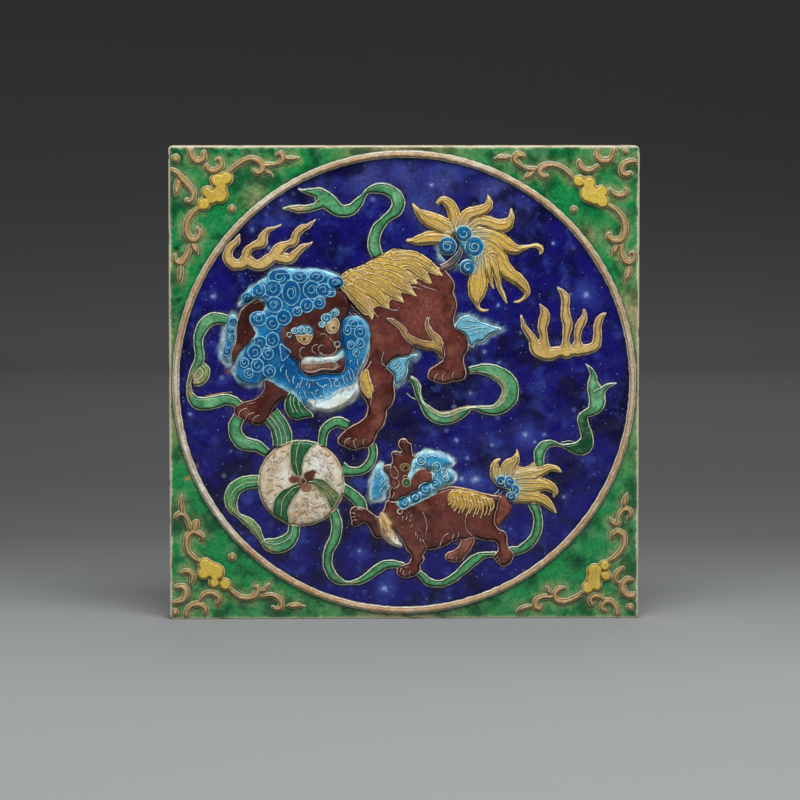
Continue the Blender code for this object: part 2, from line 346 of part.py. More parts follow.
MANE = (
    (-27, 45), (-30, 47.8), (-35, 49.8), (-40, 50.4), (-46, 50.4), (-53, 50.8), (-58.5, 50),
    (-62, 46.5), (-67, 43.8), (-71.5, 41), (-72.5, 38), (-70, 37), (-65, 37), (-62, 35.5),
    (-62.5, 32.5), (-67.5, 31), (-68.5, 27.5), (-66.7, 24.5), (-66, 21.5), (-69, 18), (-73, 13.5),
    (-75.3, 8), (-75.5, 3.5), (-72.5, 0.3), (-68, -1.4), (-64, -0.8), (-61.5, 1.5), (-58, 0), (-53, -3),
    (-49, -5), (-44.5, -9.5), (-39, -10.5), (-33.5, -8.5), (-28.5, -5.3), (-24, -4.2), (-21, -2),
    (-20.6, 3), (-18.5, 8), (-16.3, 14), (-15.2, 20), (-16, 26), (-19.5, 29.3), (-24, 29.5),
    (-27.6, 26.5), (-28.4, 21), (-27.2, 16), (-26.3, 10), (-27.3, 5.6), (-30, 4), (-36, 4.2),
    (-41, 3.2), (-44.8, 4.2), (-46.8, 7), (-47.3, 9.6), (-49, 10.5), (-50.8, 13.5), (-53.5, 17),
    (-54.8, 22), (-53, 26), (-50, 29), (-47, 31), (-42, 32.5), (-36, 34.5), (-34.5, 38.5), (-32, 41),
    (-29, 42.2),
)
FAR_MANE = (
    (-74.8, 29.6), (-77, 30), (-79.2, 27), (-79.7, 22), (-80.5, 17), (-81.3, 13), (-79.5, 9.5),
    (-77, 9.5), (-76.5, 13), (-74.8, 18), (-74.6, 25),
)
MANE_CURLS = (
    (-55.3, 47.2, 4.2), (-46.5, 47.3, 3), (-39, 47.4, 2.9), (-30.5, 44.8, 3.2), (-58.3, 42, 3.8),
    (-64.5, 41.2, 3), (-50.2, 40.3, 4.8), (-41, 41.6, 3.9), (-36, 41.5, 3), (-57.8, 35, 3.5),
    (-43.3, 34.6, 2.9), (-37.7, 35.8, 2.6), (-64.8, 28.8, 3.4), (-58.5, 26.9, 3), (-53.5, 29.3, 3.3),
    (-58.6, 19.4, 3), (-63.9, 18.2, 2.8), (-66.4, 14, 3.1), (-60.6, 13.3, 2.5), (-65.2, 8, 2.9),
    (-71, 9.3, 1.9), (-60, 5.4, 2.7), (-69.2, 4.6, 2), (-22.9, 26.5, 2.3), (-19.6, 22.7, 2.8),
    (-25.4, 23.8, 2), (-19.8, 17.8, 1.9), (-23.8, 17, 1.6), (-21.5, 13.6, 1.6), (-76, 27.2, 1.9),
    (-77, 23.6, 1.6), (-76.6, 20.4, 1.6), (-78.7, 14.5, 1.9),
)
FACE_PATCHES = (
    ((-37, 28), (-36, 29.5), (-34.8, 31), (-33, 31.6), (-32.2, 32.8), (-30.6, 33.6), (-29.2, 33),
     (-29, 31.5), (-30, 30), (-31, 29.2), (-33, 27.5), (-34.5, 26), (-36.3, 25.9)),
    ((-49.8, 23.3), (-49.2, 24.8), (-47.5, 25.3), (-45.5, 26), (-43.5, 25.9), (-41.5, 25.3),
     (-40.5, 23.5), (-40.6, 21.8), (-44, 21.9), (-48.3, 21.5)),
    ((-34.8, 24.8), (-34, 26.5), (-32, 28), (-30.8, 29), (-29.6, 28), (-29, 25.8), (-29.6, 23.5),
     (-31.3, 22.3), (-33.5, 22.7)),
    ((-47.8, 21.1), (-47.2, 19.3), (-45.7, 18), (-44, 17.5), (-42.3, 18.2), (-41.2, 20), (-41, 21.2),
     (-44.5, 21.5)),
    ((-45.7, 10.3), (-43, 11.8), (-38, 11.6), (-33, 12), (-30, 12.3), (-29.3, 11), (-31.5, 9.4),
     (-33.5, 9.6), (-38, 9.1), (-44, 8.9), (-45.3, 9)),
    ((-42, -10), (-38, -10.6), (-33.5, -8.7), (-28.5, -5.5), (-24, -4.3), (-21.3, -2.2), (-20, -3.2),
     (-22, -6.5), (-25.5, -9.7), (-29.5, -12), (-33.5, -13), (-38, -12.6), (-41.5, -11.7)),
)

# The ball and the three bands across it
BALL = (-45.9, -44.5, 19.1)
BALL_BANDS = (
    ((-46.6, -41.5), (-49, -40), (-50.5, -36), (-50.7, -31), (-49.8, -26), (-46.5, -25.5),
     (-42.5, -25.8), (-39, -26.8), (-42.5, -29.5), (-44.5, -33), (-45.5, -37), (-45.5, -40)),
    ((-46.6, -44.3), (-50, -45.5), (-54, -47.5), (-57, -50.5), (-58.2, -54), (-58.3, -58.3),
     (-55, -60.5), (-51.5, -62.3), (-51.8, -58), (-51.5, -55), (-50, -52), (-47.5, -48.5),
     (-45.7, -45.8)),
    ((-43.4, -42.8), (-40, -42.2), (-36, -43), (-32, -46.5), (-29.3, -49), (-30, -52.5), (-32.5, -56),
     (-34.5, -51.5), (-37, -48.5), (-40, -45.5), (-43.3, -44.4)),
)

# The cub, behind to front
CUB_TAIL_FAN = (
    (44, -38), (49, -36.7), (52.5, -37.8), (55, -37), (58, -35.3), (59.5, -38), (61.5, -42.5),
    (61, -48), (60.5, -52.6), (56, -53.3), (51, -53.8), (48, -53), (45.5, -48), (43, -43),
)
CUB_TAIL_LOCKS = (
    ((42.5, -34, 0.2), (40.6, -35.5, 1), (40.2, -38.5, 2), (41.5, -42, 2.6), (45, -45, 2)),
    ((50.1, -29.8, 0.1), (50.2, -32, 0.6), (49, -35, 2), (46.5, -37.8, 3.3), (46, -42, 3)),
    ((70, -39.9, 0.1), (68, -38.5, 0.9), (64.5, -38, 1.5), (60, -39.8, 2.2), (55, -41.2, 3.2),
     (50, -42.5, 3.2)),
    ((66.7, -50.6, 0.4), (67, -48.3, 1.3), (64.5, -46.1, 2.1), (60, -45.3, 3), (55, -45.5, 3.4),
     (50, -45.5, 3)),
    ((67.3, -57.8, 0.3), (65.5, -55.7, 1.3), (62.5, -52.8, 2), (58, -51, 2.6), (53, -50.5, 3),
     (49.5, -49.5, 2.6)),
)
CUB_TAIL_CURLS = ((43, -43.8, 2.5), (46.6, -44.3, 2.6), (49.2, -47.5, 2.1), (47.5, -50.7, 2.1))
CUB_RUMP = (
    (41.5, -49.8), (44, -50), (46, -52), (47.4, -54.3), (47.6, -56.5), (46.5, -59), (44.5, -61),
    (43, -63), (42, -64.6), (40.5, -62.8), (40.4, -59), (41.5, -55),
)
CUB_FAR_LEG = (
    (29.5, -67.8), (26.5, -69.7), (25.3, -71), (24.3, -73), (22, -74.8), (19.6, -75.5), (18.3, -77),
    (18.8, -78.8), (21, -79.6), (24, -79.7), (25.8, -79.2), (26.6, -77.6), (28.5, -75.5), (30, -73.3),
    (31, -71), (31, -69),
)
CUB_BODY = (
    (3.5, -53), (8, -51), (12.5, -49), (17, -47.2), (21, -46.3), (27, -47.2), (33, -48.6), (38, -49.9),
    (40.5, -50.3), (43, -50.7), (42, -52.2), (41.5, -54.5), (41.2, -56.3), (40.4, -58), (40.1, -60.5),
    (40.2, -62.3), (40.9, -64), (42, -65.4), (44.5, -66.5), (45.6, -68), (45.7, -71), (46.3, -73.3),
    (47.7, -75), (48.5, -77), (48, -79.2), (46.3, -80.9), (44.3, -81.8), (42.5, -80.9), (41, -79.6),
    (40, -77.8), (40.4, -76.2), (41.8, -75), (41.7, -72.6), (40.4, -70.6), (37, -70.5), (34, -69.8),
    (31, -69), (26.5, -70), (23, -70), (19.5, -71.8), (17, -73), (14, -74), (11, -74.4), (9.6, -74.4),
    (8.9, -76), (8.1, -76.8), (8.7, -78.5), (8, -80.2), (6.9, -81.3), (7.1, -82.8), (6.9, -84),
    (5.7, -85), (5, -86), (2.5, -86.5), (0.5, -86.9), (-1.5, -86.3), (-3, -85), (-3.2, -83.2),
    (-1.8, -81.8), (0, -81.1), (1.5, -80.7), (2.7, -79.5), (3.3, -77.8), (3, -76.3), (1.6, -75),
    (0.7, -73.5), (0, -71.8), (-2, -69), (-5, -65), (-9, -61), (-9.7, -58), (-8.9, -56), (-8.3, -53.5),
    (-7, -52.3), (-4, -52),
)
CUB_BACK = (
    (20, -48), (21.2, -46.8), (24.5, -46.8), (28, -47.6), (32, -48.4), (35, -49.8), (38.4, -50.8),
    (39, -52), (37, -52.8), (32, -52.5), (27, -52), (21.5, -50.8),
)
CUB_HEAD = (
    (-5.2, -33), (-5.6, -31.5), (-4.7, -30.4), (-3, -30.4), (-1.8, -30.9), (-0.9, -30.3), (-2, -28.8),
    (-2.6, -27.4), (-2.2, -25.9), (-1, -24.8), (0.4, -24.9), (1.3, -26.2), (3, -27.3), (3.2, -30),
    (3.7, -32), (5, -33), (7, -36), (10, -38), (12.5, -39), (14, -41), (12.5, -44), (9, -45.5),
    (6.5, -48), (2, -50), (-2, -52), (-4, -53), (-7, -52.2), (-6.3, -50), (-6.7, -48.5), (-6, -47),
    (-6.4, -45.3), (-7, -43.3), (-7.2, -41.6), (-8.3, -40.2), (-9.5, -38.8), (-9.2, -37.2),
    (-7.5, -36.4), (-6, -36.3), (-5.2, -34.8),
)
CUB_RAISED_LEG = (
    (-22.3, -55.2), (-20, -55.3), (-17.5, -56), (-15, -57.8), (-12.3, -59.6), (-10.5, -60), (-9.5, -63),
    (-9.3, -66.5), (-9.7, -68.8), (-12, -69.1), (-13.4, -68.3), (-14.5, -66.3), (-16, -63.7),
    (-17.2, -62.3), (-18.6, -62.3), (-20, -63.3), (-21.7, -63.8), (-23.2, -63.2), (-23.4, -61.5),
    (-23.8, -59.5), (-24, -57.5), (-23.6, -56),
)
CUB_CHEST = (
    (-10.3, -57.6), (-11.2, -60), (-11, -63), (-10.3, -66), (-10, -68.7), (-8.3, -70.2), (-6.3, -71.7),
    (-4, -72.9), (-2, -73.2), (-0.9, -72.4), (-2.2, -70.3), (-3.6, -67.5), (-5, -65), (-5.7, -62.5),
    (-7.3, -60.3), (-8.8, -58),
)
CUB_BEARD = (
    (-12.3, -36.8), (-10.2, -36.2), (-9.6, -38.7), (-8.3, -40.3), (-7.3, -42), (-7, -44), (-6.5, -45.7),
    (-7, -47.2), (-8.5, -48.7), (-9.3, -51), (-11, -52), (-13.2, -52.9), (-15, -52.4), (-15.6, -50),
    (-15.3, -46), (-14.5, -41.5), (-13.5, -38.5),
)
CUB_MANE = (
    (7, -31.2), (10, -30.3), (14, -30.8), (18, -32), (20.8, -34), (22, -36), (20.5, -37), (18.9, -37.6),
    (21, -39.2), (22.4, -41.3), (21.8, -43.7), (19, -45.6), (16.5, -47), (13, -49.6), (9, -51.8),
    (6, -53.6), (3.3, -54.6), (0, -55.9), (-2.7, -54.6), (-3.6, -53.3), (-2, -51.9), (0, -50.8),
    (2.5, -50), (4.5, -48.7), (6.7, -47), (7.3, -45.4), (10, -44.6), (12.5, -43.6), (12, -39.3),
    (10.5, -38.5), (8.3, -38.2), (6, -38.8), (4, -41), (2.7, -42.4), (1.5, -41.5), (2.5, -39),
    (3, -36.5), (3.4, -34.5), (5, -33.2),
)
CUB_CURLS = (
    (7.3, -34.3, 2), (14.2, -37.1, 1.9), (9.3, -47, 2.8), (13.8, -44.8, 2.1), (4.9, -50.9, 2.6),
    (-0.2, -53.3, 2.6), (18.4, -42, 1.4), (17.6, -39.6, 1.5),
)
CUB_EYE = (0.4, -37.6, 2.4)

# Raised lines on the bodies: thighs, toes, mouths and pleats, all of one half width
LINE_HALF = 0.65
LINES = (
    ((11.3, 29.8), (10.7, 28.2), (11, 26), (12.5, 23.5), (15, 21.5), (16.4, 19.8), (16.8, 17.8),
     (17.5, 15.5), (17.9, 13), (17.2, 10.3)),
    ((-9, 14), (-10, 11.5), (-9.8, 9), (-8, 6.8)),
    ((-16.3, 6.3), (-15.7, 3.5), (-14.6, 0.3), (-13.6, -3.5)),
    ((1.5, 49.3), (4, 46.8), (7, 43.8), (10, 42.5), (14.3, 41.3)),
    ((-16.8, 38), (-15, 34), (-13, 31), (-11.3, 29)),
    ((-62.2, 2.5), (-62, -2), (-63.5, -5), (-66.5, -7.2), (-71, -8.5), (-74.3, -10)),
    ((-46.3, -3.5), (-46.7, -6.5), (-47, -9), (-46, -11.5), (-44.5, -13.3)),
    ((-48.8, -5.5), (-49.2, -8), (-48.5, -11), (-47.5, -13)),
    ((-50.5, -5.5), (-50.8, -8), (-50.3, -10.5), (-49, -13)),
    ((8.1, -57.3), (9, -59.5), (9.8, -62), (9.9, -64), (9.5, -66.5), (9.2, -69.5)),
    ((27.3, -59.5), (27.1, -62.5), (27.6, -65), (29, -67), (31, -68.6), (34, -69.8), (37, -70.5),
     (40.2, -70.6)),
    ((12, -74.2), (13.6, -74.1), (15, -73.3), (16, -72), (16.8, -69.5), (17.9, -68), (19.5, -66.9)),
    ((-46.5, 9.5), (-46.6, 8), (-46, 6.5), (-44.5, 5.5), (-42, 5), (-40, 5), (-38, 5.8), (-36.5, 6.4),
     (-34, 6.3), (-31.5, 6), (-29.5, 7), (-28.5, 7.8)),
    ((-53, 16.3), (-51.3, 15.1), (-50.6, 13.7), (-49.5, 11.7), (-48.5, 10.4), (-46.8, 9.8)),
)


def from_path(points, start, along):
    """Each point's distance from every straight piece of a path, and how far along it that is."""
    away = points[:, None, :] - start
    share = np.clip((away * along).sum(2) / (along**2).sum(1), 0, 1)
    return np.linalg.norm(away - share[..., None] * along, axis=2), share


def across(line, closed):
    """The vector across a line at each of its points, longer at a corner as a mitre is."""
    if closed:
        along = np.roll(line, -1, axis=0) - line
        before = np.roll(along, 1, axis=0)
    else:
        along = np.diff(line, axis=0)
        along, before = np.vstack([along, along[-1:]]), np.vstack([along[:1], along])
    along = along / np.linalg.norm(along, axis=1)[:, None]
    before = before / np.linalg.norm(before, axis=1)[:, None]
    mean = (along + before) / np.maximum(1 + (along * before).sum(1), MITRE)[:, None]
    return np.stack([-mean[:, 1], mean[:, 0]], 1)


@dataclass
class Stroke:
    """A band along a path of (x, z, half width)."""

    path: np.ndarray
    rise: float
    laid_on: bool = False  # its rise is above what it lies on, not above the ground
    level: float = 0.0  # share of its width that is level, with a rounded crest where it is 0

    def section(self, points):
        """How far up its slope the band is at each point, 0 outside it, and its height there."""
        start, along = self.path[:-1], np.diff(self.path, axis=0)
        gap, share = from_path(points, start[:, :2], along[:, :2])
        half = start[:, 2] + share * along[:, 2]
        nearest = np.argmin(gap / half, axis=1)[:, None]
        gap, half = np.take_along_axis(gap, nearest, 1)[:, 0], np.take_along_axis(half, nearest, 1)[:, 0]
        cover = np.clip((1 - gap / half) / (1 - self.level), 0, 1)
        return cover, self.rise * np.minimum(1, half / SHOULDER)

    def lines(self):
        """Its foot all round, and inside it the crest or the two edges of its level top."""
        middle, half = self.path[:, :2], self.path[:, 2:]
        side = half * across(middle, False)
        high = self.path[:, 2] > NARROWEST
        if np.allclose(middle[0], middle[-1]):
            side = half[:-1] * across(middle[:-1], True)
            return [(middle[:-1] + share * side, True) for share in (-1, -self.level, self.level, 1)]
        start, end = middle[0] - middle[1], middle[-1] - middle[-2]
        before = middle[0] + start / np.linalg.norm(start) * max(half[0, 0], NARROWEST)
        after = middle[-1] + end / np.linalg.norm(end) * max(half[-1, 0], NARROWEST)
        foot = np.vstack([before, middle + side, after, (middle - side)[::-1]])
        shares = (-self.level, self.level) if self.level else (0,)
        return [(foot, True)] + [((middle + share * side)[high], False) for share in shares]

    def inner_points(self):
        return np.empty((0, 2))


@dataclass
class Patch:
    """A closed outline filled with a surface that slopes up at its edge and rounds to its full rise."""

    outline: np.ndarray
    rise: float
    laid_on: bool = False
    rounded: bool = False

    def depth(self, points):
        """Distance inside the outline, negative outside it."""
        end = np.roll(self.outline, -1, axis=0)
        along = end - self.outline
        gap, _ = from_path(points, self.outline, along)
        straddles = (self.outline[:, 1] > points[:, 1:]) != (end[:, 1] > points[:, 1:])
        rise = np.where(along[:, 1] == 0, 1e-12, along[:, 1])
        crossing = self.outline[:, 0] + (points[:, 1:] - self.outline[:, 1]) * along[:, 0] / rise
        inside = (straddles & (crossing > points[:, :1])).sum(1) % 2 == 1
        return np.where(inside, 1, -1) * gap.min(1)

    def section(self, points):
        depth = self.depth(points)
        top = np.full(len(points), self.rise)
        if self.rounded:
            share = np.clip(depth / ROUNDING, 0, 1)
            top *= ROUNDED_EDGE + (1 - ROUNDED_EDGE) * share * (2 - share)
        return np.clip(depth / SHOULDER, 0, 1), top

    def lines(self):
        """The outline and the top of its slope."""
        step = across(self.outline, True) * SLOPE_TOP
        inner = max((self.outline + step, self.outline - step), key=lambda line: self.depth(line).mean())
        return [(self.outline, True), (inner[self.depth(inner) > SLOPE_KEPT], True)]

    def inner_points(self):
        """Points across the middle of a rounded patch, in staggered rows."""
        if not self.rounded:
            return np.empty((0, 2))
        low, high = self.outline.min(0), self.outline.max(0)
        side, up = np.meshgrid(np.arange(low[0], high[0], GRID), np.arange(low[1], high[1], GRID_ROW))
        side[::2] += GRID / 2
        grid = np.stack([side.ravel(), up.ravel()], 1)
        return grid[self.depth(grid) > GRID_CLEAR]


@dataclass
class Boss:
    """A round dome, divided by rings."""

    circle: np.ndarray  # x, z and radius
    rise: float
    laid_on: bool = False
    rings: tuple = CURL_RINGS

    def section(self, points):
        out = np.linalg.norm(points - self.circle[:2], axis=1) / self.circle[2]
        return np.sqrt(np.clip(1 - out**2, 0, 1)), np.full(len(points), self.rise)

    def lines(self):
        circles = []
        for share, count in self.rings:
            turn = np.arange(count) * math.tau / count + 0.3
            spokes = np.stack([np.cos(turn), np.sin(turn)], 1) / math.cos(math.pi / count)
            circles.append((self.circle[:2] + self.circle[2] * share * spokes, True))
        return circles

    def inner_points(self):
        return self.circle[None, :2]


def curve_through(points, closed=False):
    """The smooth curve through the given points, as few points as it needs."""
    given = np.asarray(points, float)
    if closed:
        ends = np.vstack([given[-1:], given, given[:2]])
    else:
        ends = np.vstack([2 * given[:1] - given[1:2], given, 2 * given[-1:] - given[-2:-1]])
    stretches = []
    for before, start, end, after in zip(ends, ends[1:], ends[2:], ends[3:]):
        count = max(1, round(np.linalg.norm(end[:2] - start[:2]) / SPAN))
        t = np.arange(count)[:, None] / count
        bend = t**2 * (2 * before - 5 * start + 4 * end - after)
        bend += t**3 * (3 * start - before - 3 * end + after)
        stretches.append(start + 0.5 * (t * (end - before) + bend))
    curve = np.vstack(stretches + [given[:1] if closed else given[-1:]])
    return curve[needed(curve, 0, len(curve) - 1)[: -1 if closed else None]]


def needed(curve, first, last):
    """The places of the points that keep the curve within FLATNESS of its straight pieces."""
    if last - first < 2:
        return [first, last]
    chord = curve[last] - curve[first]
    away = curve[first + 1 : last] - curve[first]
    share = np.clip(away @ chord / max(chord @ chord, 1e-18), 0, 1)
    gap = np.linalg.norm(away - share[:, None] * chord, axis=1)
    if gap.max() < FLATNESS:
        return [first, last]
    middle = first + 1 + int(gap.argmax())
    return needed(curve, first, middle)[:-1] + needed(curve, middle, last)


def medallion(points):
    """Drawn points in metres from the tile's centre."""
    return np.asarray(points, float) * UNIT


def corner(points):
    """Drawn points of a corner's ornament, which keeps its distance from the two sides it fills."""
    placed = medallion(points)
    placed[:, 0] += np.sign(placed[:, 0].mean()) * (WIDTH / 2 - DRAWN_SIDE * UNIT)
    placed[:, 1] += np.sign(placed[:, 1].mean()) * (HEIGHT / 2 - DRAWN_TOP * UNIT)
    return placed


def strokes(paths, rise, place=medallion, **look):
    return [Stroke(curve_through(place(path)), rise, **look) for path in paths]


def patches(outlines, rise, **look):
    return [Patch(curve_through(medallion(outline), closed=True), rise, **look) for outline in outlines]


def bosses(circles, rise, place=medallion, **look):
    return [Boss(circle, rise, **look) for circle in place(circles)]


def curls(circles, rise, **look):
    """Bosses of hair, the large ones rounder than the small."""
    made = bosses(circles, rise, **look)
    for boss in made:
        if boss.circle[2] > LARGE_CURL:
            boss.rings = LARGE_CURL_RINGS
    return made


def corner_shapes():
    shapes = []
    for scrolls in (UPPER_LEFT_SCROLLS, UPPER_RIGHT_SCROLLS, LOWER_LEFT_SCROLLS, LOWER_RIGHT_SCROLLS):
        shapes += strokes(scrolls, SCROLL_RISE, corner)
    for circles in (UPPER_LEFT_BOSSES, UPPER_RIGHT_BOSSES, LOWER_LEFT_BOSSES, LOWER_RIGHT_BOSSES):
        shapes += bosses(circles, KNOT_RISE, corner)
    return shapes


def ring_shape():
    turn = np.linspace(0, math.tau, RING_SEGMENTS + 1)
    radius = 100 * UNIT + RING_WIDTH / 2
    half = np.full(len(turn), RING_WIDTH / 2)
    path = np.stack([radius * np.cos(turn), radius * np.sin(turn), half], 1)
    return Stroke(path, RING_RISE, level=RING_LEVEL)


def tail_shapes(fan, locks, circles):
    shapes = patches((fan,), FAN_RISE)
    shapes += strokes(locks, TAIL_RISE)
    return shapes + curls(circles, TAIL_RISE + CURL_RISE)


def lion_shapes():
    shapes = strokes((TAIL_STEM,), TAIL_RISE)
    shapes += tail_shapes(TAIL_FAN, TAIL_LOCKS, TAIL_CURLS)
    shapes += patches((FRONT_FIN, HIND_FIN), FIN_RISE)
    shapes += patches((LION_BODY,), BODY_RISE, rounded=True)
    shapes += strokes(BELLY_LOCKS, LOCK_RISE, laid_on=True)
    shapes += patches((ELBOW_TUFT,), DETAIL_RISE, laid_on=True)
    shapes += patches((BACK_MANE,), BACK_RISE)
    shapes += strokes(BACK_LOCKS, LOCK_RISE, laid_on=True)
    shapes += patches((NEAR_FORELEG,), BODY_RISE, rounded=True)
    shapes += patches((CLOTH, EAR), BODY_RISE)
    shapes += patches((LION_HEAD,), HEAD_RISE, rounded=True)
    shapes += patches((FAR_MANE, MANE), MANE_RISE)
    shapes += patches(FACE_PATCHES, DETAIL_RISE, laid_on=True)
    return shapes + curls(MANE_CURLS, CURL_RISE, laid_on=True)


def ball_shapes():
    shapes = bosses((BALL,), BALL_RISE, rings=BALL_RINGS)
    return shapes + patches(BALL_BANDS, BAND_RISE, laid_on=True)


def cub_shapes():
    shapes = tail_shapes(CUB_TAIL_FAN, CUB_TAIL_LOCKS, CUB_TAIL_CURLS)
    shapes += patches((CUB_RUMP, CUB_FAR_LEG), FIN_RISE)
    shapes += patches((CUB_BODY,), BODY_RISE, rounded=True)
    shapes += patches((CUB_BACK,), DETAIL_RISE, laid_on=True)
    shapes += patches((CUB_HEAD,), HEAD_RISE, rounded=True)
    shapes += patches((CUB_RAISED_LEG, CUB_CHEST), HEAD_RISE)
    shapes += patches((CUB_BEARD,), TAIL_RISE)
    shapes += patches((CUB_MANE,), MANE_RISE)
    shapes += curls(CUB_CURLS, CURL_RISE, laid_on=True)
    return shapes + bosses((CUB_EYE,), DETAIL_RISE, laid_on=True)


def raised_lines():
    paths = [[(u, v, LINE_HALF) for u, v in line] for line in LINES]
    return strokes(paths, DETAIL_RISE, laid_on=True)


def all_shapes():
    """Every shape of the front, from the ground up."""
    shapes = corner_shapes() + [ring_shape()]
    shapes += strokes(FLAMES, FLAME_RISE) + strokes(RIBBONS, RIBBON_RISE, level=RIBBON_LEVEL)
    return shapes + lion_shapes() + ball_shapes() + cub_shapes() + raised_lines()


def inside_edge(points):
    """Distance from the front face's nearest side."""
    reach = np.array([WIDTH / 2 - ARRIS, HEIGHT / 2 - ARRIS])
    return (reach - np.abs(points)).min(1)


def relief(points, shapes):
    """The front's height above its ground: each shape laid over those before it, none above the ball."""
    height = np.zeros(len(points))
    for shape in shapes:
        cover, top = shape.section(points)
        height += cover * (top if shape.laid_on else top - height)
    return np.minimum(height, BALL_RISE) * np.clip(inside_edge(points) / ARRIS, 0, 1)


def outward(x, z):
    """The direction out of the tile at a point of its rounded edge."""
    core_x, core_z = WIDTH / 2 - ARRIS - CORNER_RADIUS, HEIGHT / 2 - ARRIS - CORNER_RADIUS
    out_x, out_z = x - min(max(x, -core_x), core_x), z - min(max(z, -core_z), core_z)
    length = math.hypot(out_x, out_z)
    return out_x / length, out_z / length


def front_boundary():
    """The front face's outline inside the arris: four rounded corners with points along the sides."""
    core_x, core_z = WIDTH / 2 - ARRIS - CORNER_RADIUS, HEIGHT / 2 - ARRIS - CORNER_RADIUS
    loop = []
    for quarter, (side, end) in enumerate(((1, 1), (-1, 1), (-1, -1), (1, -1))):
        for step in range(CORNER_STEPS + 1):
            turn = math.pi / 2 * (quarter + step / CORNER_STEPS)
            out_x, out_z = CORNER_RADIUS * math.cos(turn), CORNER_RADIUS * math.sin(turn)
            loop.append((side * core_x + out_x, end * core_z + out_z))
    divided = []
    for (x, z), (to_x, to_z) in zip(loop, loop[1:] + loop[:1]):
        count = max(1, round(math.hypot(to_x - x, to_z - z) / SIDE_SPAN))
        divided += [(x + (to_x - x) * step / count, z + (to_z - z) * step / count) for step in range(count)]
    return divided


def visible_lines(shapes):
    """The shapes' lines as points and creases, without what a later shape hides, and the loose points."""
    points, creases, loose = [], [], []
    for order, shape in enumerate(shapes):
        later = [other for other in shapes[order + 1 :] if not other.laid_on]
        for line, closed in shape.lines():
            if len(line) < 3:
                continue
            on_face = inside_edge(line) > EDGE_CLEAR
            shown = on_face.copy()
            for other in later:
                shown &= other.section(line)[0] < LINE_HIDDEN
            follows = [(place, place + 1) for place in range(len(line) - 1)]
            if closed:
                follows.append((len(line) - 1, 0))
            kept = [(a, b) for a, b in follows if (shown[a] or shown[b]) and on_face[a] and on_face[b]]
            used = sorted({end for pair in kept for end in pair})
            number = {end: len(points) + place for place, end in enumerate(used)}
            points += [line[end] for end in used]
            creases += [(number[a], number[b]) for a, b in kept]
        spots = shape.inner_points()
        shown = inside_edge(spots) > ARRIS if len(spots) else np.empty(0, bool)
        for other in later if len(spots) else ():
            shown &= other.section(spots)[0] < POINT_HIDDEN
        loose += list(spots[shown])
    return points, creases, loose


def front_surface(shapes):
    """The front face's points, their heights and its triangles."""
    boundary = front_boundary()
    points, creases, loose = visible_lines(shapes)
    first = len(boundary)
    sides = [(place, (place + 1) % first) for place in range(first)]
    creases = sides + [(a + first, b + first) for a, b in creases]
    # The triangulation works in millimetres, where its tolerance is well above rounding.
    placed = [tuple(point) for point in np.vstack([boundary, points, loose]) * 1000]
    corners, _, triangles, *_ = delaunay_2d_cdt(placed, creases, [], 1, NEAREST * 1000)
    flat = np.array([tuple(place) for place in corners]) / 1000
    return flat, relief(flat, shapes), triangles


def tile_mesh():
    """The whole tile as one closed mesh, centred from front to back and standing on Z = 0."""
    flat, height, triangles = front_surface(all_shapes())
    ground, back = BALL_RISE / 2 - THICKNESS / 2, (THICKNESS + BALL_RISE) / 2
    tile = bmesh.new()
    corners = [tile.verts.new((x, ground - rise, z)) for (x, z), rise in zip(flat, height)]
    for a, b, c in triangles:
        tile.faces.new((corners[a], corners[b], corners[c]))
    rim = [edge for edge in tile.edges if edge.is_boundary]
    # The arris, the side, the arris behind and then the back
    for y, outside in ((ground + ARRIS, ARRIS), (back - ARRIS, 0), (back, -ARRIS)):
        grown = bmesh.ops.extrude_edge_only(tile, edges=rim)["geom"]
        rim = [item for item in grown if isinstance(item, bmesh.types.BMEdge) and item.is_boundary]
        for vertex in {vertex for edge in rim for vertex in edge.verts}:
            out_x, out_z = outward(vertex.co.x, vertex.co.z)
            vertex.co = (vertex.co.x + out_x * outside, y, vertex.co.z + out_z * outside)
    bmesh.ops.contextual_create(tile, geom=rim)
    bmesh.ops.recalc_face_normals(tile, faces=tile.faces)
    bmesh.ops.triangulate(tile, faces=tile.faces)
    bmesh.ops.translate(tile, verts=tile.verts, vec=(0, 0, HEIGHT / 2))
    return tile


def glaze():
    """Coloured lead glaze: deep blue on the medallion's ground, wet and a little uneven."""
    material = bpy.data.materials.new("glazed_ceramic")
    material.use_nodes = True
    surface = material.node_tree.nodes["Principled BSDF"]
    surface.inputs["Base Color"].default_value = GLAZE_COLOUR
    surface.inputs["Roughness"].default_value = 0.25
    surface.inputs["Metallic"].default_value = 0.0
    return material


def main():
    for item in list(bpy.data.objects):
        bpy.data.objects.remove(item, do_unlink=True)
    mesh = bpy.data.meshes.new("tile")
    built = tile_mesh()
    built.to_mesh(mesh)
    built.free()
    mesh.materials.append(glaze())
    bpy.context.scene.collection.objects.link(bpy.data.objects.new("tile", mesh))


main()
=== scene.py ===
"""How the glazed floor tile looks: a slab of fired clay whose moulded front carries coloured lead glazes.

The front is worked out as one field of heights, colours and raised lines over a fine grid of points. Each
sub-assembly lays its shapes on the field, from the ground up, and is then cut out of it as pieces that
meet without a gap. Drawn points are in hundredths of the ring's inner radius from the ring's centre, u to
the right and v up, as in the part's source.
"""

import logging
import math
from dataclasses import dataclass
from enum import IntEnum
from typing import NamedTuple

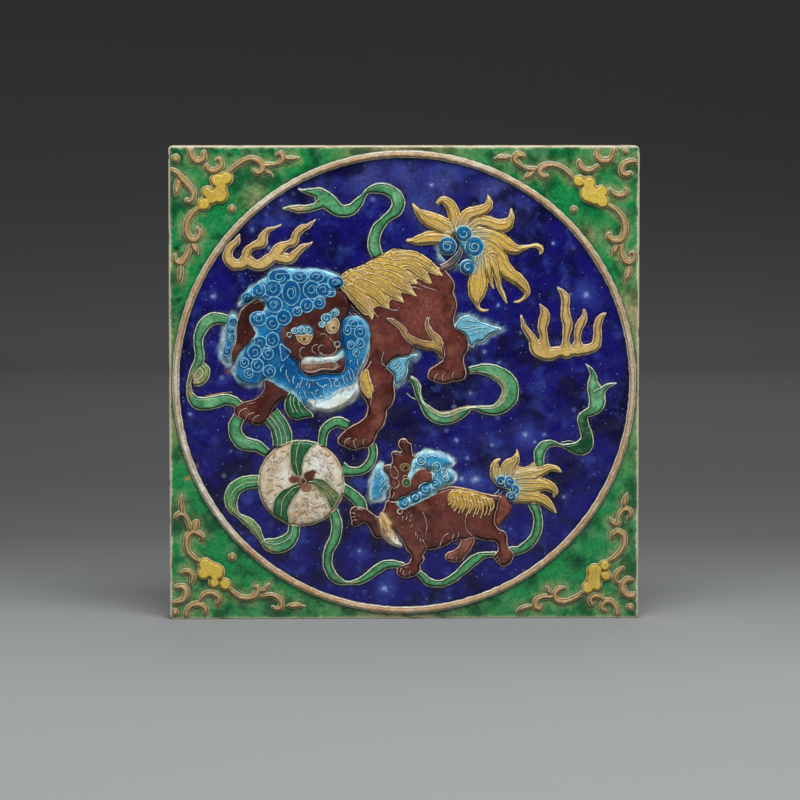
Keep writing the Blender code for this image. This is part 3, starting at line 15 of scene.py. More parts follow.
import bmesh
import bpy
import numpy as np
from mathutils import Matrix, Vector

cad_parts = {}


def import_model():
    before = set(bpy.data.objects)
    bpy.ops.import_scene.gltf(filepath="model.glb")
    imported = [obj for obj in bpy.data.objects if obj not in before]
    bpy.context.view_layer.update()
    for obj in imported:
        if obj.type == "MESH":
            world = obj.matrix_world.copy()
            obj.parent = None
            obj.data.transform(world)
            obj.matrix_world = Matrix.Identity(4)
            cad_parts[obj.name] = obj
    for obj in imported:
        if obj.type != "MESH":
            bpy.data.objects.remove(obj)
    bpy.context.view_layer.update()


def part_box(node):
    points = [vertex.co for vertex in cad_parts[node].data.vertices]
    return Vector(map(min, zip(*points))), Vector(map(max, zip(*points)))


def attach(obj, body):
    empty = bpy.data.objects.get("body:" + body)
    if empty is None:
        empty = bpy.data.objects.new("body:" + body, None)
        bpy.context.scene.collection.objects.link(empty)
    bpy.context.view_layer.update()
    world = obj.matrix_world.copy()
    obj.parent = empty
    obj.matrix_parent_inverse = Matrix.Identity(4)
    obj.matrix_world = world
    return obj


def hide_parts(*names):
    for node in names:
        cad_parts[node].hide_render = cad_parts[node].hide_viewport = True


MM = 0.001
log = logging.getLogger("tile")

# The tile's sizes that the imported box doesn't give
ARRIS = 0.8 * MM
CORNER_RADIUS = 1.3 * MM
RING_MARGIN = 1.7 * MM
RING_WIDTH = 3.6 * MM
HIGHEST = 3.6 * MM  # from the ground to the ball's crown
LOWEST = 0.2 * MM  # how far the ground may dip
CREST_ROOM = 0.02 * MM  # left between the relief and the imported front

# The field: its fineness, and the depth inside an outline at which a shape is at its full rise
PITCH = 0.38 * MM
SHOULDER = 1.2 * MM
ROUNDING = 6.0 * MM
CURVE_STEP = 0.8 * MM
FAR = 1.0

# The lines of slip, trailed from a fine nozzle and fired on
LINE_HALF = 0.3 * MM
LINE_RISE = 0.3 * MM
FINE_LINE = 0.26 * MM  # half width of the hairs, toes and curls
RIDGE_HALF = 0.6 * MM  # half width of the ridge that a line makes under its glaze
MARK_REACH = 1.6 * MM  # how far from a line its nearness is told
SMALLEST_HALF = 0.05 * MM  # half width of a band where it runs out
RING_LINE_IN = 0.8 * LINE_HALF  # how far inside the ring's edges its lines run

# How a hand draws, presses and glazes
STRAY = 0.13 * MM  # how far a drawn edge strays
STRAY_LENGTH = 5 * MM
UNEVEN = 0.07 * MM  # the broad unevenness of the clay
UNEVEN_LENGTH = 14 * MM
FINE_UNEVEN = 0.02 * MM
FINE_UNEVEN_LENGTH = 6 * MM
HOLLOW = 0.55 * MM  # the depth of a hollow at which glaze pools, and painted shade darkens, fully
HOLLOW_REACH = 0.8 * MM
BESIDE_REACH = 2.2 * MM  # how far from the figures grit gathers
TURNED_EDGE = 0.15  # the share of a band's half width over which its other side appears
RAGGED, RAGGED_LENGTH = 0.35, 6 * MM  # how much the width of a run of glaze wavers, and over what length
FINE_RAGGED, FINE_RAGGED_LENGTH = 0.15, 2 * MM
PATCHED, PATCH_LEVEL, PATCH_LENGTH = 1.4, 0.4, 12 * MM  # how a patchy run comes and goes
FADE_START, FADE_SPAN = 0.85, 0.3  # where a run comes back beyond its circle, in radii
STAIN_RAGGED, STAIN_LENGTH = 0.25, 2.2  # how ragged a stain is, over a length in its radii
CLEARED = 1.5  # how strongly a run keeps a hollow clear of pooled glaze and painted shade

# Curls: their turns, the drawn half width from which they are broad, and their inner line
CURL_TURNS = 0.8
BROAD_CURL_TURNS = 1.3
BROAD_CURL = 3.5
SPIRAL_START, SPIRAL_FALL = 0.58, 0.32
POINTS_A_TURN = 9

# The waves that make up a ripple, and what their sum is divided by to lie in about -1..1
WAVES = 16
WAVE_STRETCH = (0.7, 1.6)
WAVE_SUM = 4.5

# The drawing's reach towards the tile's sides, for the corner ornaments
DRAWN_SIDE = 104.6
DRAWN_TOP = 105.6


class Part(IntEnum):
    """The sub-assemblies of the front, by what lies on top at a point."""

    CORNERS = 0
    GROUND = 1
    RING = 2
    FLAMES = 3
    RIBBONS = 4
    LION = 5
    BALL = 6
    CUB = 7


class Finish(IntEnum):
    """The finishes of the front."""

    COBALT = 0
    GREEN = 1
    RIBBON = 2
    AMBER = 3
    TURQUOISE = 4
    AUBERGINE = 5
    CRACKLE = 6
    SLIP = 7


class Seed(IntEnum):
    """The seeds of what is uneven."""

    STRAY_ACROSS = 1
    STRAY_UP = 2
    RAGGED = 3
    STAIN = 4
    CLAY = 5
    FINE_CLAY = 6
    STROKES = 7
    FINE_RAGGED = 8
    WEAR = 9
    CHIPS = 11
    PATCHES = 15
    SIDES = 21
    BACK = 22


@dataclass(frozen=True)
class Coat:
    """What a shape is coated with."""

    finish: Finish
    tint: str
    rim: str = ""  # the colour that it takes beside its outline
    rim_width: float = 1.8 * MM
    line: str = ""  # the colour of the slip line round it, none where empty
    soft: float = 0.5 * MM  # how far its colour runs across its outline


@dataclass(frozen=True)
class Run:
    """Glaze that runs along an outline."""

    tint: str
    width: float
    strength: float = 1.0  # its share on the outline
    inside: bool = False  # whether it runs inside the outline or outside it
    beyond: tuple = ()  # drawn place and radius of a circle inside which it fades out, if any
    patchy: float = 0.0  # how much of it is missing between patches


@dataclass(frozen=True)
class Stain:
    """Round stains: their colour, its share at a stain's middle, and the places. A place is u, v and radius,
    and may end with its own share, or its own share and colour."""

    tint: str
    strength: float
    places: tuple
    finish: Finish | None = None  # the only finish that takes it, or None for all
    runs_over: bool = False  # whether it also stains other sub-assemblies than the one being laid


# Colours of the fired glazes and slips, as the eye sees them
COBALT = "#131060"
SPANDREL_GREEN = "#187a41"
AMBER = "#cba648"
PALE_TURQUOISE = "#b4e3e6"
CREAM_LINE = "#cdc1aa"
PINK_LINE = "#c4a092"
GREEN_LINE = "#bccbae"
BLUE_LINE = "#a5d0de"
BARE_ARRIS = "#c6c3a8"
SLIVER_TAN = "#a87c58"
FACE_LINE = "#b8968a"
BALL_EDGE = "#c3c490"
BALL_LINE = "#b3b58c"
BALL_STROKE, BALL_DARK_STROKE = "#e2dccb", "#9c7c56"
HUB_LINE = "#b9a27c"
FRINGE_LINE = "#dcc07c"
SCALLOP_LINE = "#e2cb90"
CHEST_LINE = "#8f6a48"
CUB_FACE_LINE = "#c2a08c"
CUB_RING_LINE = "#b3b18c"

# The corners and the ring
SCROLL = Coat(Finish.AMBER, "#aa8a64", rim="#80764e", line="#a8a980")
KNOT = Coat(Finish.AMBER, "#c2a846", rim="#a08a40", rim_width=0.8 * MM, line="#aaa370")
KNOT_MELT = 0.45 * MM
SCROLL_RUN = Run("#88905f", 2.6 * MM, 0.65)
RING_SLIP = Coat(Finish.SLIP, "#b08a62", rim="#97795a", rim_width=1.2 * MM, line="#d0cbb4")
RING_RUN = Run("#b6bca6", 1.5 * MM, 0.85, inside=True, patchy=0.75)

# The flames and the ribbons
FLAME = Coat(Finish.AMBER, "#bfa362", rim="#96744a", rim_width=2.2 * MM, line="#d3bf98")
RIBBON = Coat(Finish.RIBBON, "#4d9161", rim="#0d381c", rim_width=2.4 * MM, line=GREEN_LINE)
KNOT_MIDDLE = Coat(Finish.RIBBON, "#7f8c56", rim="#4f6038")

# Both lions
BROWN = Coat(Finish.AUBERGINE, "#5e2e28", rim="#2e120e", rim_width=3 * MM, line=PINK_LINE)
YELLOW_LOCK = Coat(Finish.AMBER, AMBER, rim="#9a7a3c", rim_width=1.2 * MM, line="#dcc283")
DEEP_CURL = Coat(Finish.TURQUOISE, "#145a88", rim="#2a84ac", rim_width=1.2 * MM, line="#a9cdd0")
PUPIL = Coat(Finish.AUBERGINE, "#1a0d0a", soft=0.5 * MM)
SMALL_RISE = 0.1 * MM  # of a pupil and of the ball's hub

# The great lion
TAIL_BROWN = Coat(Finish.AUBERGINE, "#7d5a4e", line="#b3a39c")
TAIL_HEART = Coat(Finish.TURQUOISE, "#5aa8a0")
FIN = Coat(Finish.TURQUOISE, "#68aabc", rim="#3a8aa4", line="#c2e2e8")
DULL_LOCK = Coat(Finish.AMBER, "#96764a", rim="#6c5234", rim_width=1.2 * MM, line="#bca184")
BACK_YELLOW = Coat(Finish.AMBER, AMBER, rim="#a5843f", line="#dcbf78")
FORELEG_BROWN = Coat(Finish.AUBERGINE, "#5a2b26", rim="#34130f", line="#8a6258")
CLOTH_GREEN = Coat(Finish.RIBBON, "#1c5f38", rim="#143f2a", line=GREEN_LINE)
EAR_BROWN = Coat(Finish.AUBERGINE, "#3c1a16", rim="#220e0b", line=PINK_LINE)
FACE_BROWN = Coat(Finish.AUBERGINE, "#4a241f", rim="#2c1512")
MANE_BLUE = Coat(Finish.TURQUOISE, "#07548f", soft=1.2 * MM)
CURL = Coat(Finish.TURQUOISE, "#0a4d80", rim="#0e66a2", rim_width=1.4 * MM, line="#74bcd8")
BEARD_WHITE = Coat(Finish.CRACKLE, "#e6f2ee", soft=2.6 * MM)
BROW = Coat(Finish.TURQUOISE, "#2f7f9a", soft=MM)
BROW_CURL = Coat(Finish.TURQUOISE, "#1f6f92", line="#9fcbd2")
EYE_SLIP = Coat(Finish.SLIP, "#b3935f", rim="#80603e", line="#cfc09a")
MOUTH_SLIP = Coat(Finish.SLIP, "#7a5644", rim="#4a2c22", line=PINK_LINE)
LIP_WHITE = Coat(Finish.CRACKLE, "#cdddd4", rim="#84b4ba", soft=0.9 * MM)
TAIL_RUN = Run(PALE_TURQUOISE, 2 * MM, 0.7, patchy=0.5)
FIN_RUN = Run(PALE_TURQUOISE, 1.6 * MM, 0.5)
MANE_RUN = Run("#b0e0ea", 0.8 * MM, 0.95, patchy=0.15)
FAR_MANE_RUN = Run("#c8ecec", 1.6 * MM, 0.95, patchy=0.3)
FAR_MANE_RIM = Run(PALE_TURQUOISE, 1.7 * MM, 0.85, inside=True)
FACE_CIRCLE = (-41, 18, 22)  # the mane has no pale edge beside the face
MANE_RIMS = (Run("#5cc4e6", 1.8 * MM, 0.9, inside=True, beyond=FACE_CIRCLE, patchy=0.2),
             Run("#c8eeee", 1.4 * MM, 0.95, inside=True, beyond=FACE_CIRCLE, patchy=0.35))

# The ball
GORE = Coat(Finish.CRACKLE, "#cec2a8", rim="#94744f", rim_width=2.6 * MM, line="#b9bd92")
BALL_BAND = Coat(Finish.RIBBON, "#29603a", rim="#12331f", rim_width=2 * MM, line="#9ea680")
HUB_SOFT = 1.4 * MM

# The cub
CUB_TAIL_HEART = Coat(Finish.AMBER, "#bfa456", rim="#9a7a3c")
SALMON = Coat(Finish.AUBERGINE, "#8a4f42", rim="#6d382f")
FAR_LEG_BROWN = Coat(Finish.AUBERGINE, "#8a5444", line=PINK_LINE)
CUB_BACK_YELLOW = Coat(Finish.AMBER, "#c09638", soft=MM)
CHEST_SLIP = Coat(Finish.SLIP, "#c7a878", rim="#d8c8a8", soft=MM)
CUB_BLUE = Coat(Finish.TURQUOISE, "#3494bc", rim="#bde6e8", rim_width=2.6 * MM, soft=1.2 * MM)
CUB_CURL = Coat(Finish.TURQUOISE, "#2f86a8", rim="#3f98b6", rim_width=1.2 * MM, line="#a8d6e0")
CUB_EYE_SLIP = Coat(Finish.SLIP, "#80693c", rim="#45301e", line="#93805a")
CUB_BELL = Coat(Finish.RIBBON, "#4a6640", rim="#2c4428")
CUB_RUN = Run("#d2f0ee", 1.0 * MM, 0.95)

# Corner ornaments: scrolls as (u, v, half width) along each, knots and studs as (u, v, radius)
UPPER_LEFT_SCROLLS = (
    ((-78, 94, 1.3), (-75, 96.3, 1.3), (-71.5, 98.8, 1.3), (-68, 99.8, 1.4), (-65, 98.9, 1.6),
     (-63, 96.8, 1.8), (-63.3, 94.5, 1.6), (-65.5, 93.7, 1.3), (-66.7, 94.8, 0.7)),
    ((-62, 94.5, 0.8), (-60.3, 93.5, 1), (-58.3, 92.2, 0.2)),
    ((-62, 97, 1.4), (-58, 97.2, 1), (-55.5, 98, 1.2), (-54, 99.8, 1.5), (-54.8, 102, 1.4),
     (-56.3, 101.3, 0.8)),
    ((-52.5, 99.9, 1), (-49.5, 99.8, 1.2), (-46.6, 100.1, 0.2)),
    ((-91, 78, 1.2), (-94, 75.6, 1.4), (-96.2, 72, 1.5), (-96.7, 68.5, 1.5), (-95.8, 65.5, 1.7),
     (-94, 64, 1.7), (-92, 64.8, 1.7), (-90.8, 67, 1.5), (-91.6, 68.6, 1)),
    ((-94.3, 62.3, 0.8), (-93, 60.6, 1.7), (-91.8, 58, 0.5)),
    ((-95.6, 61, 0.8), (-95.8, 58.5, 1.2), (-97.3, 55.8, 1.5), (-99.3, 54, 1.8), (-101.4, 54.8, 1.3),
     (-101.9, 57, 0.8)),
    ((-99.2, 52.5, 1), (-99.4, 49.5, 1.4), (-99.5, 46.8, 1.2), (-99.7, 44.7, 0.3)),
    ((-95, 105.5, 1.4), (-94.7, 102.5, 1.6), (-93.3, 99.8, 1.6), (-91, 98.8, 1.5), (-89, 100.2, 1.5),
     (-89, 102.2, 1.4)),
    ((-87.8, 96.5, 1.2), (-86.3, 94.8, 1.4), (-84, 94.5, 1.5), (-81.8, 95.8, 1.5), (-81, 98, 1.3),
     (-82.3, 99.6, 0.9), (-83.5, 99.3, 0.5)),
    ((-104, 95, 1.2), (-101, 93.8, 1.3), (-98.8, 91.3, 1.5), (-96.3, 88.8, 1.7), (-94.3, 86.3, 1.6),
     (-93.6, 83.3, 1.5), (-94.9, 81, 1.2), (-96.6, 81.6, 0.8)),
    ((-100, 89.5, 1.5), (-100.6, 87, 1.7), (-101.1, 85, 1), (-101.7, 83.2, 0.2)),
)
UPPER_LEFT_KNOT = (
    (-83, 90.3, 3.2), (-79, 91.3, 3.1), (-81, 87.5, 2.6), (-82, 84, 3.9), (-85.5, 82.5, 3),
    (-87.5, 85.2, 2.7), (-89, 79.8, 3),
)
UPPER_LEFT_STUDS = ((-101.4, 99.9, 1.9), (-76.6, 77.7, 1.8))
UPPER_RIGHT_SCROLLS = (
    ((75, 91, 1.2), (72, 94.3, 1.3), (68.5, 96.4, 1.3), (64.5, 97, 1.4), (61, 96, 1.7),
     (60.3, 93.8, 1.6), (61.8, 92, 1.4), (63.5, 92.3, 0.7)),
    ((57.5, 94, 1), (55.3, 92.5, 1.5), (53, 90.5, 0.3)),
    ((58, 95, 1.3), (54.5, 95.3, 1), (51.5, 97, 1.1), (49, 99.5, 1.6), (50.3, 101.5, 1.7),
     (52.5, 101, 1.3)),
    ((46.8, 100.3, 0.7), (44.5, 100.3, 1.3), (42.3, 100.2, 1.1), (39.5, 100, 0.1)),
    ((91, 78.8, 1), (94, 77, 1.3), (96.7, 73.8, 1.4), (98, 70, 1.5), (97.8, 66.5, 1.6),
     (95.8, 63.8, 1.7), (92.8, 63.7, 1.5), (90.5, 65.5, 1.2), (91.5, 66.7, 0.6)),
    ((95, 61.3, 0.8), (93.8, 59.5, 1.5), (92.3, 57, 0.4)),
    ((96.3, 61.5, 1), (96.3, 58.5, 1.3), (97.5, 55.5, 1.6), (99.8, 54, 1.8), (102, 55.5, 1.4),
     (101.7, 58, 1), (100.3, 57.3, 0.6)),
    ((100, 51.8, 1), (99.8, 49.5, 1.6), (99, 47.3, 1.3), (98.3, 44.8, 0.3)),
    ((77.5, 98.5, 1.1), (78.3, 96.3, 1.5), (80.3, 94.8, 1.5), (83, 94.8, 1.4), (85.5, 96.3, 1.1)),
    ((86, 103.5, 1), (85.3, 101.3, 1.4), (87, 99.3, 1.5), (90, 98.8, 1.5), (92, 100.3, 1.2),
     (92.8, 103, 1.2), (93, 105.5, 1.3)),
    ((100.5, 93.3, 1), (98.3, 92.6, 1.4), (96.5, 94.3, 1.6), (97.5, 97.3, 1.5), (100.5, 98.5, 1.3),
     (104, 98.3, 1.1)),
    ((91.5, 86, 1), (93, 84.3, 1.3), (95.5, 83.5, 1.4), (98, 84.3, 1.4), (98.3, 86, 1)),
)
UPPER_RIGHT_KNOT = (
    (77.5, 89.8, 2.8), (82, 89, 3), (82, 84.5, 4.2), (87.5, 85, 3), (84.5, 82, 2.8), (88, 80.8, 3),
)
UPPER_RIGHT_STUDS = ((98.3, 103, 1.5), (75.2, 77.3, 1.7))
LOWER_LEFT_SCROLLS = (
    ((-92, -79.3, 1), (-94.7, -77.3, 1.3), (-96.6, -74.5, 1.4), (-97, -71, 1.5), (-96.2, -68, 1.5),
     (-94, -66.5, 1.4), (-91.5, -67.3, 1.4), (-89.8, -68.8, 1.1), (-91, -70, 0.6)),
    ((-93.5, -65, 1.5), (-93, -63, 1.7), (-92, -61.5, 0.5)),
    ((-95.8, -65, 1), (-96.3, -62.5, 1), (-97.5, -60, 1.1), (-99, -58.5, 1.3), (-101, -59, 1.3),
     (-102, -60.3, 0.8)),
    ((-99, -57.5, 1), (-99.3, -55, 1.2), (-99.5, -52.5, 0.9), (-99, -49.5, 0.1)),
    ((-78, -91.8, 1.1), (-76, -94, 1.3), (-73, -95.8, 1.4), (-70, -96.2, 1.4), (-67, -95.3, 1.5),
     (-65.3, -93, 1.4), (-65.8, -91.3, 1), (-67, -91.3, 0.6)),
    ((-64.5, -93, 0.8), (-62.5, -92.5, 1.2), (-61, -90.5, 0.8), (-60.3, -89.5, 0.2)),
    ((-63.5, -95.3, 0.9), (-60, -94.8, 1.1), (-57, -95.8, 1.3), (-55, -98, 1.4), (-55.3, -100.3, 1.3),
     (-57.3, -101, 1), (-59, -100, 0.5)),
    ((-52.5, -99.8, 0.3), (-50.5, -99.6, 1.1), (-48.3, -99.5, 1.3), (-46, -99.7, 0.6),
     (-44.3, -99.8, 0.1)),
    ((-99, -85, 1), (-97.5, -84, 1.3), (-95.3, -84.8, 1.4), (-94.3, -87, 1.4), (-95, -89.3, 1)),
    ((-102, -91.3, 1), (-100, -90.8, 1.4), (-98, -91.5, 1.6), (-97.3, -94, 1.7), (-98.8, -96.8, 1.5),
     (-101.5, -98, 1.2), (-104, -97.8, 1)),
    ((-91, -97, 0.9), (-89.5, -94.8, 1.3), (-87, -93.8, 1.4), (-84.5, -94.3, 1.5), (-82.7, -96.2, 1.5),
     (-83.7, -98.5, 1.1)),
    ((-97.3, -104.5, 1.4), (-97, -102, 1.4), (-95.3, -99.8, 1.4), (-92.8, -98.8, 1.5),
     (-90.3, -99.3, 1.5), (-88.8, -101, 1.4), (-89, -102.8, 1)),
)
LOWER_LEFT_KNOT = (
    (-89, -81, 3), (-89.5, -85, 3), (-86.5, -83, 3.5), (-84, -84.5, 3.8), (-84.8, -89.3, 2.5),
    (-80, -90, 2.8),
)
LOWER_LEFT_STUDS = ((-102.3, -102.3, 1.8), (-76.7, -77.8, 1.8))
LOWER_RIGHT_SCROLLS = (
    ((91.5, -80, 1), (94, -78.3, 1.2), (96.8, -75.3, 1.4), (98.3, -71.5, 1.5), (97.8, -68.3, 1.5),
     (95.5, -66.8, 1.5), (93.3, -68, 1.3), (93, -69.8, 0.8)),
    ((94.5, -64, 0.8), (93, -62.7, 1.3), (91.7, -60.8, 0.3)),
    ((95.5, -63.5, 1.2), (95.6, -61, 1.2), (96.5, -58.5, 1.3), (98.5, -56.8, 1.4), (100.5, -57.5, 1.4),
     (101, -59.5, 1.1), (99.6, -60.8, 0.6)),
    ((97.5, -55.5, 0.5), (98.3, -53.5, 1.4), (98.8, -51.5, 1), (99.5, -49.3, 0.1)),
    ((79.8, -94, 1), (77.5, -95.8, 1.2), (74, -97.5, 1.3), (70.5, -98.2, 1.5), (67.8, -97, 1.5),
     (67.3, -94.5, 1.4), (69, -92.5, 1.3), (71.3, -92, 0.8)),
    ((65.5, -94.5, 0.8), (64.3, -93, 1.2), (63.2, -90.8, 0.2)),
    ((65.5, -96, 1.3), (62, -96, 1.2), (59.3, -97.5, 1.4), (58.7, -100, 1.5), (60.3, -101.2, 1.2),
     (61.5, -99.8, 0.6)),
    ((57, -100.3, 0.7), (54.5, -100.5, 1.2), (52, -101.5, 1), (50, -102.7, 0.2)),
    ((97.5, -83.3, 0.9), (95.5, -84.8, 1.3), (94.3, -87, 1.3), (94.8, -89.3, 1.1), (96, -90.3, 0.5)),
    ((101.5, -88.5, 1), (99.5, -88.3, 1.4), (97.8, -90, 1.6), (97.8, -93, 1.7), (99.8, -95.3, 1.6),
     (102.5, -95.5, 1.5), (104, -94.5, 1.2)),
    ((84, -99.3, 1.3), (83, -97.3, 1.3), (84.8, -95.7, 1.4), (87.5, -96, 1.3), (89, -97.3, 0.8)),
    ((95.3, -104.5, 1.3), (94.8, -101.5, 1.4), (93.3, -98.8, 1.4), (91, -97.8, 1.4), (88.8, -99, 1.4),
     (88.3, -101.3, 1.3), (89.8, -102.3, 0.8)),
)
LOWER_RIGHT_KNOT = (
    (89.5, -82, 2.5), (85, -84.8, 3.6), (90, -86.7, 2.5), (84.5, -88.5, 3.5), (86, -91, 2.4),
    (82, -92, 2.9),
)
LOWER_RIGHT_STUDS = ((101, -100.8, 1.7),)

# Flames, (u, v, half width) along each tongue
RIGHT_FLAME = (
    ((57.5, 17.5, 2), (60, 14.8, 3.6), (64.5, 12.9, 2.9), (69, 13.8, 2.2), (74, 14.2, 2.2),
     (78.5, 14.6, 2.1), (82.5, 15.1, 1.9), (85.2, 17, 2), (85.8, 21, 1.7), (85.9, 25, 1.6),
     (86.7, 28, 1.5), (88, 29.8, 0.9), (89.4, 30.9, 0.2)),
    ((58.5, 17, 2), (56, 20.8, 1.5), (54.3, 23.3, 1.3), (52.8, 25.8, 0.8), (51.9, 29.8, 0.2)),
    ((61.5, 15, 3), (62, 20, 1.6), (61.4, 24, 1.8), (61.9, 27.5, 2.3), (62.4, 30.2, 2), (61.5, 33, 1),
     (60.2, 34.8, 0.2)),
    ((72, 14, 3), (71.7, 18, 1.5), (72, 22, 1.6), (72.6, 26, 2), (71.5, 30, 2), (71.5, 34, 1.6),
     (71.6, 37.5, 1.8), (70.3, 40, 1.2), (68.3, 42.2, 0.2)),
    ((77, 15, 3), (77, 18.5, 1.3), (77, 22.5, 1.5), (78.2, 26, 1.8), (79.8, 28.8, 1.3), (80, 30.6, 0.8),
     (79.7, 32.4, 0.3)),
)
LEFT_FLAME = (
    ((-75, 52.3, 2), (-78, 55, 2.2), (-78, 58.5, 1.8), (-76.3, 61, 1.6), (-74.3, 62.8, 1.3),
     (-73.2, 65.5, 0.4)),
    ((-76, 52.6, 2), (-72, 52.8, 2.2), (-70, 54.5, 2.6), (-66, 52.3, 2.1), (-62.5, 53, 2.6),
     (-58, 56, 2.3), (-54.5, 55.5, 2.4), (-51, 55.2, 2.1), (-48.3, 57.3, 1.7), (-45.5, 60, 1.3),
     (-43, 61, 0.8), (-41, 62.5, 0.2)),
    ((-70, 54, 2), (-69.8, 58, 1.8), (-67, 60.8, 1.5), (-63.3, 62.3, 2.2), (-62.3, 65.5, 1.6),
     (-60.5, 67.8, 1), (-57.5, 69, 0.4), (-54.8, 70.3, 0.1)),
    ((-58, 56, 2.5), (-55.5, 59.5, 2.5), (-52.3, 61.4, 1.6), (-49, 62.8, 1.8), (-48, 66, 1.5),
     (-45.5, 68.5, 1.5), (-42.5, 69.8, 0.9), (-39.5, 72.5, 0.1)),
)

